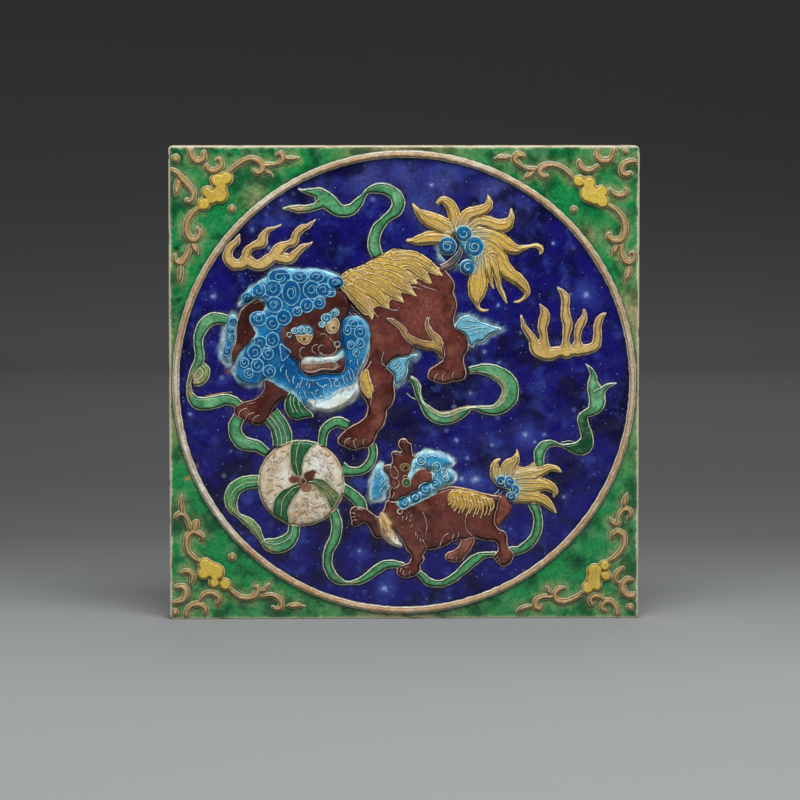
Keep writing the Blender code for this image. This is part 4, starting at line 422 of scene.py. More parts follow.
# Ribbons, (u, v, half width) along each
RIBBONS = {
    "crest": (
        (-12, 56.5, 2.4), (-13.4, 60.5, 2.7), (-13.3, 64.5, 2.4), (-12, 68.3, 2.4), (-9.3, 71.8, 1.9),
        (-6.4, 74.3, 1.9), (-3.6, 76.8, 2.6), (-2.7, 80.2, 2.8), (-4.2, 83.6, 2.6), (-8, 85.9, 2.3),
        (-12.5, 86.3, 2.1), (-16.4, 85, 1), (-18.4, 82.6, 1.1), (-20.5, 79.8, 2), (-23.3, 77.3, 2.4),
        (-26.8, 76.3, 2.5), (-30, 77.3, 2.9), (-33, 80, 3.4), (-35.8, 82, 3.5), (-37.8, 84.3, 2.3),
        (-41.5, 84.7, 1.5), (-44.5, 85.3, 0.6), (-47, 86, 0.1),
    ),
    "west": (
        (-78.5, 28.2, 1.9), (-82.5, 28.8, 2.4), (-85.8, 28.3, 2.7), (-88.7, 26, 2.6),
        (-90.7, 22.3, 2.3), (-91.4, 19, 2), (-91.2, 16, 1.9), (-90.7, 13, 2), (-91.3, 9.7, 2),
        (-93, 6.7, 1.6), (-94.8, 3.3, 1), (-95.6, 0, 0.8), (-95.6, -2.5, 0.8),
    ),
    "knot": (
        (-89.6, 8.2, 1.3), (-88.1, 6.2, 1.6), (-88, 4, 1.6), (-88.9, 2, 1.5), (-91, 0.5, 1.5),
        (-93.6, 0.3, 1.4),
    ),
    "underleg": (
        (-95.6, -0.5, 0.7), (-95.2, -4.5, 1.3), (-93, -8, 2.3), (-90.2, -9, 2.7), (-86, -8.7, 2.8),
        (-82, -7.7, 2.6), (-78.8, -7.2, 2.3), (-76, -7.9, 2.1), (-73, -10, 2),
    ),
    "curve": (
        (-73, -14, 2.4), (-75, -18, 2.8), (-75.2, -21, 2.8), (-74, -24.3, 3), (-71.3, -26.8, 3),
        (-68, -27.5, 2.7), (-65, -28.2, 2.4), (-61, -31, 1.8),
    ),
    "banded": (
        (-59.6, -14, 4), (-57.2, -16.8, 4), (-55.3, -20, 4.2), (-54.3, -23.5, 4.3), (-54, -28, 4.2),
    ),
    "paw": (
        (-36.5, -28, 1.8), (-36.2, -23.5, 1.9), (-34.8, -20, 2), (-32, -18, 2.2), (-29, -17.4, 2.3),
        (-25, -19, 2.1),
    ),
    "heel": (
        (-14.3, -27, 1.8), (-13.9, -31, 1.9), (-14.3, -33.5, 1.9), (-15.6, -36, 2), (-17.8, -38.2, 1.9),
        (-21, -39.3, 1.8), (-24.5, -39.3, 2), (-28, -38.2, 3),
    ),
    "cubpaw": (
        (-28.5, -46.5, 2.4), (-24.5, -48.8, 2.4), (-21.8, -51, 2.5), (-19.8, -53.5, 2.6),
        (-19, -57, 2.6),
    ),
    "loop": (
        (-63, -43.8, 2.6), (-69, -44, 2.9), (-73.3, -45.5, 3), (-76.2, -48.3, 3), (-77.1, -52, 2.8),
        (-76.3, -56, 2), (-73.8, -58.8, 1), (-71, -60.8, 1.6), (-68.6, -62.4, 2), (-66.3, -65, 2),
        (-64.2, -68.5, 1.3), (-62.8, -71.3, 0.9),
    ),
    "hook": (
        (-62.5, -70.5, 0.9), (-60.6, -71.8, 2.5), (-57.5, -72.5, 3.3), (-54.3, -71.8, 3.4),
        (-51.5, -70.1, 3.3), (-49.5, -67.3, 2.6), (-49, -63, 2.3),
    ),
    "swing": (
        (-31.8, -56.5, 2), (-30.3, -61.5, 2.3), (-30.2, -66, 2.4), (-31.5, -70.5, 2.3),
        (-33.8, -75, 2.1), (-34.2, -80, 2), (-33, -84.3, 2), (-30.5, -87.4, 1.8), (-27.5, -88.9, 1.1),
        (-25, -89.2, 0.7), (-22.5, -89, 1.1), (-19, -88, 1.5), (-15.5, -85.7, 1.8), (-12, -83, 1.9),
        (-9, -81.3, 1.9), (-6, -80.8, 1.8), (-3, -81, 1.5), (0, -81.5, 1),
    ),
    "stride": (
        (6.2, -84.4, 1.3), (8.3, -86.6, 1.6), (11, -88.9, 1.8), (14.8, -89.7, 1.5), (18.5, -89, 1.6),
        (22.5, -86.7, 1.7), (26, -83.7, 1.9), (29.3, -80.6, 2.2), (32.5, -78.2, 2), (35.8, -76.9, 1.4),
        (38.5, -76.7, 1.2), (42, -76.8, 1.3),
    ),
    "rise": (
        (46, -75.5, 2), (51, -74.7, 1.8), (54.2, -73, 2), (57, -70.3, 2), (58.8, -67, 2),
        (59.6, -63, 2), (59.5, -60, 1.9), (58.7, -57, 1.9), (56.8, -53.5, 1.9),
    ),
    "fan": (
        (59.9, -40, 1.3), (60.3, -37, 1.8), (60, -34, 2.1), (60.2, -31, 2.3), (61.8, -28.5, 2.2),
        (64.3, -27.2, 1.6), (67, -27.2, 1.1), (69.5, -27.9, 0.6), (73, -28.6, 1.3), (76.5, -29.2, 2.5),
        (79.8, -28.4, 3.5), (81.3, -25.5, 2.8), (80.8, -22, 2.4), (79.8, -18.8, 2.1), (79.3, -16, 2.2),
        (80.6, -13.8, 1.7), (83.8, -12.4, 2.2), (85.6, -9.5, 3.3), (85.7, -6, 3.5), (84.6, -3, 3),
        (83.8, 0, 2.1), (84, 3, 1.4), (83, 5.5, 0.8), (80.8, 8.3, 0.1),
    ),
    "fantine": ((86, -6, 3), (88, -3.6, 1.5), (90, -1.6, 1), (92, -0.8, 0.6), (94.4, -0.3, 0.1)),
    "belly": (
        (28.5, 5.5, 1.2), (32.5, 6.1, 1.8), (35.8, 5.9, 2.4), (39.8, 4.9, 3), (43.6, 2.9, 3.4),
        (46.3, 0, 3.6), (47.2, -3.5, 3.6), (46.5, -6.8, 3.6), (44.3, -9.8, 3.1), (41, -11.8, 2.4),
        (37.5, -12.2, 1.9), (34, -11.7, 1.4), (30, -11.1, 0.6), (27.3, -12.4, 1.5), (24, -14, 2.3),
        (20.5, -15.6, 2.5), (16.5, -15.9, 2.5), (13, -14.5, 2.5), (10.3, -12.3, 2.1), (8, -9.3, 1.1),
        (6.6, -6.5, 1), (5.8, -4, 1.3), (5.6, -1.5, 1.5), (4.3, 0.8, 1.4), (2.3, 2.2, 1.2),
    ),
    "tine": (
        (-36.5, 80, 2.2), (-39.5, 78.3, 1.5), (-43.5, 77.3, 1.6), (-48, 77.3, 1.5), (-51, 77.6, 0.8),
        (-53.5, 77.6, 0.2),
    ),
}

# The great lion, behind to front
TAIL_STEM = ((16.2, 51, 1.5), (20, 52.6, 1.7), (22.8, 55.3, 1.5), (24.6, 58, 1), (25, 60.5, 0.5))
TAIL_FAN = (
    (22, 69), (27, 71.5), (34, 70), (41, 66.5), (44.5, 61), (43.5, 55), (38.5, 51.5), (33, 51),
    (29, 55), (25, 61),
)
TAIL_LOCKS = (
    ((3.8, 79.2, 0.2), (6.3, 75.8, 1.5), (10.2, 73, 3), (14.3, 71.3, 3.5), (20, 68.5, 3.2)),
    ((1.4, 63.2, 0.4), (4.5, 63.1, 1.4), (8, 63.8, 2.3), (11.5, 64.5, 2.8), (15, 64.5, 2.6),
     (19, 64.5, 2.4)),
    ((14.9, 80.1, 0.7), (16.8, 81.3, 1.3), (19.3, 80, 2), (21.3, 77, 2.4), (22.3, 73, 2.6),
     (23.8, 68, 2.2)),
    ((37, 83.2, 0.1), (37.4, 81.2, 0.9), (37.3, 78.7, 1.7), (34.8, 76.8, 2.1), (31.5, 75.8, 2.4),
     (28, 74.4, 2.8), (25.3, 70, 2.6)),
    ((47.4, 77, 0.3), (47.5, 75, 0.8), (47, 72.3, 1.5), (45, 70, 2.6), (41.5, 69.7, 2.7),
     (37, 71.2, 2.6), (32.5, 71.6, 2.4), (28.5, 69, 2)),
    ((60.1, 57.2, 0.1), (60.8, 58.5, 0.6), (60.3, 60, 0.9), (58.3, 60.9, 0.7), (55.5, 60.7, 0.4),
     (53, 60, 0.9), (49.5, 59.3, 1.9), (45.5, 61, 3), (41.5, 63.8, 3.4), (36.5, 66, 3), (31, 66, 2.5)),
    ((48.8, 36, 0.1), (51, 36.2, 0.4), (53.3, 37.9, 0.7), (54.4, 40.2, 1.2), (53, 43.2, 2),
     (50, 46.2, 2.5), (46.3, 48.8, 2.9), (43.5, 52, 3.2), (41.5, 56, 3.6), (37.5, 60, 3.5)),
    ((45.4, 35.6, 0.1), (44.6, 37.6, 0.5), (43.3, 40, 0.8), (42, 43, 1), (41.5, 46.5, 1.4),
     (40.5, 51, 2), (39, 56, 2.4)),
    ((39.7, 42, 0.1), (38.7, 44, 0.5), (38, 46.5, 1), (37.3, 50, 1.7), (36, 55, 2)),
    ((37.3, 32.5, 0.1), (35, 32.2, 0.4), (33.2, 33, 0.5), (32.3, 35, 0.9), (32, 38, 2.4),
     (32.2, 41, 3.8), (32.7, 44.5, 4.2), (33, 49, 3.4), (33.5, 53, 2.6), (33.5, 57, 2)),
)
TAIL_CURLS = ((26.3, 66.3, 3.5, 3.5), (19, 60.8, 4, 4), (31, 60.6, 4.3, 4.3), (28, 51.5, 3.3, 3.3))
LION_BODY = (
    (17, 50.3), (18.6, 49.2), (20.3, 47.3), (21.7, 45), (22.1, 42.5), (21.6, 40), (22.7, 37.5),
    (23.2, 34.5), (22.4, 31), (21.8, 28), (22.4, 25), (25, 22.8), (27.5, 20.8), (28.4, 17.8),
    (28.1, 14.8), (26.6, 12.3), (26.2, 10), (26.8, 7), (27.3, 4.5), (26.5, 2), (24, 0.9), (21.5, 0.9),
    (19, 0), (16.5, 0), (13.5, 0.8), (11, 2), (10.6, 3.8), (12, 6.5), (15, 8.3), (17.2, 10.3),
    (16.2, 12), (15, 13.7), (12.5, 14.8), (9.5, 15), (5, 16.6), (2.8, 12.8), (0, 12), (-3, 11.5),
    (-6, 9.8), (-8, 6.8), (-5.7, 4.7), (-4.5, 2.5), (-4.7, -1), (-4.3, -5.5), (-5.6, -9.5), (-7.7, -12),
    (-8.2, -15), (-9.5, -19), (-12, -22), (-13.2, -25), (-14.2, -27.2), (-16, -28.3), (-18.5, -28.6),
    (-21, -29.5), (-24, -29.5), (-26.7, -28.1), (-29, -27), (-29.5, -25.2), (-28, -23), (-24.5, -19.8),
    (-20, -17.4), (-17.4, -15.2), (-16.3, -12.5), (-16.4, -9.5), (-17.5, -7), (-19.8, -3.6), (-20.5, 0),
    (-19, 5), (-16, 12), (-15.5, 20), (-18, 28), (-25, 36), (-29, 41), (-27, 47), (-15, 53), (0, 57),
    (10, 53),
)
FRONT_FIN = (
    (-8, 6.8), (-6.5, 9.4), (-4, 11.2), (-1, 12), (2.5, 12.3), (5.5, 12.8), (4.5, 11), (2.3, 10.3),
    (1.5, 8), (1.3, 5), (0.6, 2.7), (-0.5, 1.2), (-2.2, 0.3), (-3.6, -1.3), (-4.5, 1.5), (-5, 4),
    (-6.5, 5.5),
)
HIND_FIN = (
    (23.3, 26.6), (25, 28.9), (28, 29.9), (31, 28.8), (34, 27), (37.2, 26), (39, 25.2), (43, 24),
    (40.5, 22.8), (37.5, 20.9), (35, 18.7), (31.5, 18), (30.3, 16), (28.7, 17.5), (27, 21.3),
    (23.5, 23.5), (22.4, 25.2),
)
BELLY_LOCKS = (
    ((-7.6, 28.9, 0.2), (-4.5, 27.3, 1), (-1, 24.2, 1.2), (1.2, 20.8, 1.4), (5, 18.3, 1.7),
     (9, 16.9, 1.8), (13, 16.3, 1.7), (15.3, 14.5, 1.2), (16.3, 11.5, 0.4)),
    ((10.2, 28.5, 0.4), (10, 25.5, 0.9), (11.2, 22.8, 1), (13.6, 20.5, 1.5), (15.5, 17.5, 1.6)),
)
ELBOW_TUFT = (
    (-17.5, 5.5), (-19, 4), (-19.4, 1), (-19.5, -1.5), (-18.5, -3.5), (-17.3, -5.3), (-15.8, -6.7),
    (-14.8, -5), (-14.3, -3.5), (-14.8, -0.5), (-15.7, 2.5), (-16.3, 6),
)
BACK_MANE = (
    (-28, 47.5), (-24.5, 50.2), (-19, 52), (-13.3, 55.2), (-7.8, 58), (-4.5, 59.4), (2, 58.5),
    (8, 56.5), (12.5, 53), (9, 48.5), (2, 44.5), (-2, 40), (-8, 36), (-14, 33.5), (-17, 30.5),
    (-21, 34), (-26, 40), (-28.5, 43),
)
BACK_LOCKS = (
    ((-3, 56, 2.5), (3, 56, 2.6), (8, 53.7, 2.6), (12.5, 50.7, 1.8), (16.6, 48, 0.2)),
    ((-4, 52, 3), (2, 52.3, 2.6), (6.5, 49.3, 2.3), (9.8, 46.2, 1.3), (11.8, 44.2, 0.1)),
    ((-8, 50, 3.2), (-3, 48.8, 3), (1.5, 46.3, 2), (5.4, 44.2, 0.2)),
    ((-12, 48, 3), (-6, 46.5, 3), (-0.5, 43, 2.4), (2.8, 40.6, 1), (5.2, 38.8, 0.1)),
    ((-16, 46, 3), (-10, 44, 3.2), (-5.5, 40.5, 2.6), (-2.5, 38, 1.2), (-0.3, 36, 0.1)),
    ((-20, 44, 3), (-14, 41, 3.2), (-9.8, 37, 2.5), (-7.2, 33.5, 0.3)),
    ((-24, 42, 2.2), (-19.5, 38, 2.8), (-16, 33.5, 2), (-14.3, 28.6, 0.2)),
)
NEAR_FORELEG = (
    (-62.2, 2.5), (-62, -2), (-63.5, -5), (-66.5, -7.2), (-71, -8.5), (-74.3, -10), (-75.6, -12.3),
    (-74.3, -14.8), (-71, -16), (-69, -17.3), (-66, -18.4), (-63, -18), (-60.5, -15.3), (-58.5, -11.5),
    (-56.5, -8.6), (-54, -6.9), (-51, -5.9), (-48, -4), (-49, 1), (-56, 4),
)
CLOTH = (
    (-51.5, -5), (-52.9, -8.5), (-52.8, -12), (-50.8, -15), (-48, -16.2), (-45, -15.5), (-42, -15.2),
    (-40.5, -14.6), (-41.5, -12.8), (-44, -11), (-45, -7), (-45.8, -3), (-49, -2),
)
EAR = (
    (-62.5, 37), (-66, 37), (-70, 34.7), (-73, 31), (-74.4, 25), (-74.6, 19.5), (-76, 15.5),
    (-76.8, 12.5), (-76.5, 10), (-75.5, 9), (-72, 14), (-68, 18), (-62, 22), (-60, 30),
)
LION_HEAD = (
    (-53, 14), (-50.5, 12.5), (-48.5, 10.3), (-47, 9.6), (-46.5, 7), (-44.5, 4.4), (-41, 3.4),
    (-36, 4.5), (-30, 4.2), (-27.2, 5.5), (-26, 9), (-26.3, 14), (-28, 20), (-27.8, 26), (-25, 31),
    (-24, 35), (-27, 40), (-31, 42), (-38, 40), (-44, 34), (-50, 32), (-56, 27), (-57, 19),
)
FAR_MANE = (
    (-74.8, 29.6), (-77, 30), (-79.2, 27), (-79.7, 22), (-80.5, 17), (-81.3, 13), (-79.5, 9.5),
    (-77, 9.5), (-76.5, 13), (-74.8, 18), (-74.6, 25),
)
MANE = (
    (-27, 45), (-30, 47.8), (-35, 49.8), (-40, 50.4), (-46, 50.4), (-53, 50.8), (-58.5, 49.8),
    (-61.5, 47), (-64.5, 45.2), (-67.8, 42.6), (-70.3, 40.2), (-72.3, 37.3), (-73.3, 34.6), (-71.5, 35),
    (-69, 36.3), (-65, 37.2), (-62, 35.5),
    (-62.5, 32.5), (-67.5, 31), (-68.5, 27.5), (-66.7, 24.5), (-66, 21.5), (-69, 18), (-73, 13.5),
    (-75.3, 8), (-75.5, 3.5), (-72.5, 0.3), (-68, -1.4), (-64, -0.8), (-61.5, 1.5), (-58, 0), (-53, -3),
    (-49, -5), (-44.5, -9.5), (-39, -10.5), (-33.5, -8.5), (-28.5, -5.3), (-24, -4.2), (-21, -2),
    (-20.6, 3), (-18.5, 8), (-16.3, 14), (-15.2, 20), (-16, 26), (-19.5, 29.3), (-24, 29.5),
    (-27.6, 26.5), (-28.4, 21), (-27.2, 16), (-26.3, 10), (-27.3, 5.6), (-30, 4), (-36, 4.2),
    (-41, 3.2), (-44.8, 4.2), (-46.8, 7), (-47.3, 9.6), (-49, 10.5), (-50.8, 13.5), (-53.5, 17),
    (-54.8, 22), (-53, 26), (-50, 29), (-47, 31), (-42, 32.5), (-36, 34.5), (-34.5, 38.5), (-32, 41),
    (-29, 42.2),
)
MANE_CURLS = (
    (-69.6, 37.9, 2.6, 2.3), (-47.5, 32, 2, 1.9), (-32.8, 40.2, 2.2, 1.8),
    (-55.3, 47.2, 4.9, 3.6), (-46.5, 47.3, 3.4, 2.6), (-39, 47.4, 3.4, 2.4), (-30.5, 44.8, 3.6, 2.7),
    (-58.3, 42, 3.8, 3.7), (-64.5, 41.2, 3, 2.9), (-50.2, 40.3, 4, 5.6), (-41, 41.6, 3.9, 3.9),
    (-36, 41.5, 3.1, 2.8), (-57.8, 35, 3.7, 3.4), (-43.3, 34.6, 2.9, 2.9), (-37.7, 35.8, 2.6, 2.6),
    (-64.8, 28.8, 3.6, 3.2), (-58.5, 26.9, 3, 3.1), (-53.5, 29.3, 3.3, 3.4), (-58.6, 19.4, 2.9, 3.2),
    (-63.9, 18.2, 2.8, 2.8), (-66.4, 14, 3, 3.2), (-60.6, 13.3, 2.4, 2.6), (-65.2, 8, 2.7, 3),
    (-71, 9.3, 1.9, 2), (-60, 5.4, 2.7, 2.7), (-69.2, 4.6, 2, 2), (-22.9, 26.5, 2.4, 2.2),
    (-19.6, 22.7, 2.6, 2.9), (-25.4, 23.8, 1.7, 2.2), (-19.8, 17.8, 1.7, 2), (-23.8, 17, 1.6, 1.7),
    (-21.5, 13.6, 1.6, 1.6),
)
FAR_MANE_CURLS = (
    (-76, 27.2, 2, 1.9), (-77, 23.6, 1.5, 1.6), (-76.6, 20.4, 1.5, 1.6), (-78.7, 14.5, 1.8, 2),
)
CHEEK_LEAF = (
    (-55, 17.4), (-53, 16.3), (-51.3, 15.1), (-50.6, 13.9), (-51.3, 12.6), (-52.5, 11.2), (-54, 10.1),
    (-54.8, 12.5),
)
BROWS = (
    ((-37, 28), (-36, 29.5), (-34.8, 31), (-33, 31.6), (-32.2, 32.8), (-30.6, 33.6), (-29.2, 33),
     (-29, 31.5), (-30, 30), (-31, 29.2), (-33, 27.5), (-34.5, 26), (-36.3, 25.9)),
    ((-49.8, 23.3), (-49.2, 24.8), (-47.5, 25.3), (-45.5, 26), (-43.5, 25.9), (-41.5, 25.3),
     (-40.5, 23.5), (-40.6, 21.8), (-44, 21.9), (-48.3, 21.5)),
)
EYES = (
    ((-34.8, 24.8), (-34, 26.5), (-32, 28), (-30.8, 29), (-29.6, 28), (-29, 25.8), (-29.6, 23.5),
     (-31.3, 22.3), (-33.5, 22.7)),
    ((-47.8, 21.1), (-47.2, 19.3), (-45.7, 18), (-44, 17.5), (-42.3, 18.2), (-41.2, 20), (-41, 21.2),
     (-44.5, 21.5)),
)
MOUTH = (
    (-45.8, 8.8), (-44.5, 8.7), (-38, 8.9), (-33.5, 9.4), (-31, 9.2), (-29.5, 8), (-31.5, 6.4),
    (-36, 6.7), (-38.5, 6), (-40.5, 5.4), (-43, 5.4), (-45.3, 6.6),
)
UPPER_LIP = (
    (-45.7, 10.3), (-43, 11.8), (-38, 11.6), (-33, 12), (-30, 12.6), (-27.8, 14.6), (-26.8, 14), (-27.6, 11.6),
    (-29.3, 10.6), (-31.5, 9.4),
    (-33.5, 9.6), (-38, 9.1), (-44, 8.9), (-45.3, 9),
)
BEARD_TIP = (
    (-42.5, -7.5), (-38, -7.6), (-33.5, -5.7), (-28.5, -2.6), (-24.5, -1.5), (-21.5, 0), (-20, -3.2),
    (-22, -6.5), (-25.5, -9.7), (-29.5, -12), (-33.5, -13), (-38, -12.6), (-41.5, -11.7),
)

# The ball and the three bands across it
BALL = (-45.9, -44.5, 19.1)
BALL_HUB = (-45, -43.5, 1.4)
BALL_BANDS = (
    ((-46.6, -41.5), (-49, -40), (-50.5, -36), (-50.7, -31), (-49.8, -26), (-46.5, -25.5),
     (-42.5, -25.8), (-39, -26.8), (-42.5, -29.5), (-44.5, -33), (-45.5, -37), (-45.5, -40)),
    ((-46.6, -44.3), (-50, -45.5), (-54, -47.5), (-57, -50.5), (-58.2, -54), (-58.3, -58.3),
     (-55, -60.5), (-51.5, -62.3), (-51.8, -58), (-51.5, -55), (-50, -52), (-47.5, -48.5),
     (-45.7, -45.8)),
    ((-43.4, -42.8), (-40, -42.2), (-36, -43), (-32, -46.5), (-29.3, -49), (-30, -52.5), (-32.5, -56),
     (-34.5, -51.5), (-37, -48.5), (-40, -45.5), (-43.3, -44.4)),
)

# The cub, behind to front
CUB_TAIL_FAN = (
    (44, -38), (49, -36.7), (52.5, -37.8), (55, -37), (58, -35.3), (59.5, -38), (61.5, -42.5),
    (61, -48), (60.5, -52.6), (56, -53.3), (51, -53.8), (48, -53), (45.5, -48), (43, -43),
)
CUB_TAIL_LOCKS = (
    ((42.5, -34, 0.2), (40.6, -35.5, 1), (40.2, -38.5, 2), (41.5, -42, 2.6), (45, -45, 2)),
    ((50.1, -29.8, 0.1), (50.2, -32, 0.6), (49, -35, 2), (46.5, -37.8, 3.3), (46, -42, 3)),
    ((70, -39.9, 0.1), (68, -38.5, 0.9), (64.5, -38, 1.5), (60, -39.8, 2.2), (55, -41.2, 3.2),
     (50, -42.5, 3.2)),
    ((66.7, -50.6, 0.4), (67, -48.3, 1.3), (64.5, -46.1, 2.1), (60, -45.3, 3), (55, -45.5, 3.4),
     (50, -45.5, 3)),
    ((67.3, -57.8, 0.3), (65.5, -55.7, 1.3), (62.5, -52.8, 2), (58, -51, 2.6), (53, -50.5, 3),
     (49.5, -49.5, 2.6)),
)
CUB_TAIL_CURLS = (
    (43, -43.8, 2.3, 2.6), (46.6, -44.3, 2.2, 3), (49.2, -47.5, 2, 2.3), (47.5, -50.7, 2.2, 2),
)
CUB_RUMP = (
    (41.5, -49.8), (44, -50), (46, -52), (47.4, -54.3), (47.6, -56.5), (46.5, -59), (44.5, -61),
    (43, -63), (42, -64.6), (40.5, -62.8), (40.4, -59), (41.5, -55),
)
CUB_FAR_LEG = (
    (29.5, -67.8), (26.5, -69.7), (25.3, -71), (24.3, -73), (22, -74.8), (19.6, -75.5), (18.3, -77),
    (18.8, -78.8), (21, -79.6), (24, -79.7), (25.8, -79.2), (26.6, -77.6), (28.5, -75.5), (30, -73.3),
    (31, -71), (31, -69),
)
CUB_BODY = (
    (3.5, -53), (8, -51), (12.5, -49), (17, -47.2), (21, -46.3), (27, -47.2), (33, -48.6), (38, -49.9),
    (40.5, -50.3), (43, -50.7), (42, -52.2), (41.5, -54.5), (41.2, -56.3), (40.4, -58), (40.1, -60.5),
    (40.2, -62.3), (40.9, -64), (42, -65.4), (44.5, -66.5), (45.6, -68), (45.7, -71), (46.3, -73.3),
    (47.7, -75), (48.5, -77), (48, -79.2), (46.3, -80.9), (44.3, -81.8), (42.5, -80.9), (41, -79.6),
    (40, -77.8), (40.4, -76.2), (41.8, -75), (41.7, -72.6), (40.4, -70.6), (37, -70.5), (34, -69.8),
    (31, -69), (26.5, -70), (23, -70), (19.5, -71.8), (17, -73), (14, -74), (11, -74.4), (9.6, -74.4),
    (8.9, -76), (8.1, -76.8), (8.7, -78.5), (8, -80.2), (6.9, -81.3), (7.1, -82.8), (6.9, -84),
    (5.7, -85), (5, -86), (2.5, -86.5), (0.5, -86.9), (-1.5, -86.3), (-3, -85), (-3.2, -83.2),
    (-1.8, -81.8), (0, -81.1), (1.5, -80.7), (2.7, -79.5), (3.3, -77.8), (3, -76.3), (1.6, -75),
    (0.7, -73.5), (0, -71.8), (-2, -69), (-5, -65), (-9, -61), (-9.7, -58), (-8.9, -56), (-8.3, -53.5),
    (-7, -52.3), (-4, -52),
)
CUB_BACK = (
    (19.2, -51), (20.2, -48.2), (24, -47.2), (28, -48), (32, -48.8), (36, -50.2), (39.2, -51.6), (39.8, -54),
    (38, -55), (36, -54.6), (34, -56.6), (31.5, -55.6), (29.6, -57), (27.5, -55.6), (25.2, -56.6),
    (23.4, -54.8), (21.6, -55.8), (20.4, -53.6),
)
CUB_SCALLOPS = (
    ((19.6, -50.2), (20.6, -48.4), (22.8, -48.1), (24.5, -49), (26.3, -50.6)),
    ((24.6, -49), (26.2, -48.4), (28.6, -49), (30.3, -50.3), (31.4, -51.8)),
    ((29.8, -50), (31.6, -49.6), (33.8, -50.4), (35.2, -51.6), (36.2, -53)),
    ((34.4, -51), (36.4, -51), (38.4, -52), (39.6, -53.6)),
    ((21.6, -50.8), (23.4, -51.2), (25.2, -52.6)), ((26.8, -51.6), (28.6, -52), (30.4, -53.6)),
    ((32.4, -52.8), (34, -53.2), (35.4, -54.6)),
)
CUB_HEAD = (
    (-5.2, -33), (-5.6, -31.5), (-4.7, -30.4), (-3, -30.4), (-1.8, -30.9), (-0.9, -30.3), (-2, -28.8),
    (-2.6, -27.4), (-2.2, -25.9), (-1, -24.8), (0.4, -24.9), (1.3, -26.2), (3, -27.3), (3.2, -30),
    (3.7, -32), (5, -33), (7, -36), (10, -38), (12.5, -39), (14, -41), (12.5, -44), (9, -45.5),
    (6.5, -48), (2, -50), (-2, -52), (-4, -53), (-7, -52.2), (-6.3, -50), (-6.7, -48.5), (-6, -47),
    (-6.4, -45.3), (-7, -43.3), (-7.2, -41.6), (-8.3, -40.2), (-9.5, -38.8), (-9.2, -37.2),
    (-7.5, -36.4), (-6, -36.3), (-5.2, -34.8),
)
CUB_RAISED_LEG = (
    (-22.3, -55.2), (-20, -55.3), (-17.5, -56), (-15, -57.8), (-12.3, -59.6), (-10.5, -60), (-9.5, -63),
    (-9.3, -66.5), (-9.7, -68.8), (-12, -69.1), (-13.4, -68.3), (-14.5, -66.3), (-16, -63.7),
    (-17.2, -62.3), (-18.6, -62.3), (-20, -63.3), (-21.7, -63.8), (-23.2, -63.2), (-23.4, -61.5),
    (-23.8, -59.5), (-24, -57.5), (-23.6, -56),
)
CUB_CHEST = (
    (-10.3, -57.6), (-11.2, -60), (-11, -63), (-10.3, -66), (-10, -68.7), (-8.3, -70.2), (-6.3, -71.7),
    (-4, -72.9), (-2, -73.2), (-0.9, -72.4), (-2.2, -70.3), (-3.6, -67.5), (-5, -65), (-5.7, -62.5),
    (-7.3, -60.3), (-8.8, -58),
)
CUB_BEARD = (
    (-12.3, -36.8), (-10.2, -36.2), (-9.6, -38.7), (-8.3, -40.3), (-7.3, -42), (-7, -44), (-6.5, -45.7),
    (-7, -47.2), (-8.5, -48.7), (-9.3, -51), (-11, -52), (-13.2, -52.9), (-15, -52.4), (-15.6, -50),
    (-15.3, -46), (-14.5, -41.5), (-13.5, -38.5),
)
CUB_MANE = (
    (7, -31.2), (10, -30.3), (14, -30.8), (18, -32), (20.8, -34), (22, -36), (20.5, -37), (18.9, -37.6),
    (21, -39.2), (22.4, -41.3), (21.8, -43.7), (19, -45.6), (16.5, -47), (13, -49.6), (9, -51.8),
    (6, -53.6), (3.3, -54.6), (0, -55.9), (-2.7, -54.6), (-3.6, -53.3), (-2, -51.9), (0, -50.8),
    (2.5, -50), (4.5, -48.7), (6.7, -47), (7.3, -45.4), (10, -44.6), (12.5, -43.6), (12, -39.3),
    (10.5, -38.5), (8.3, -38.2), (6, -38.8), (4, -41), (2.7, -42.4), (1.5, -41.5), (2.5, -39),
    (3, -36.5), (3.4, -34.5), (5, -33.2),
)
CUB_CURLS = (
    (7.3, -34.3, 2, 2), (14.2, -37.1, 1.9, 1.9), (9.3, -47, 2.9, 2.7), (13.8, -44.8, 2.1, 2.1),
    (4.9, -50.9, 2.6, 2.6), (-0.2, -53.3, 2.6, 2.6), (18.4, -42, 1.4, 1.5), (17.6, -39.6, 1.3, 1.7),
)

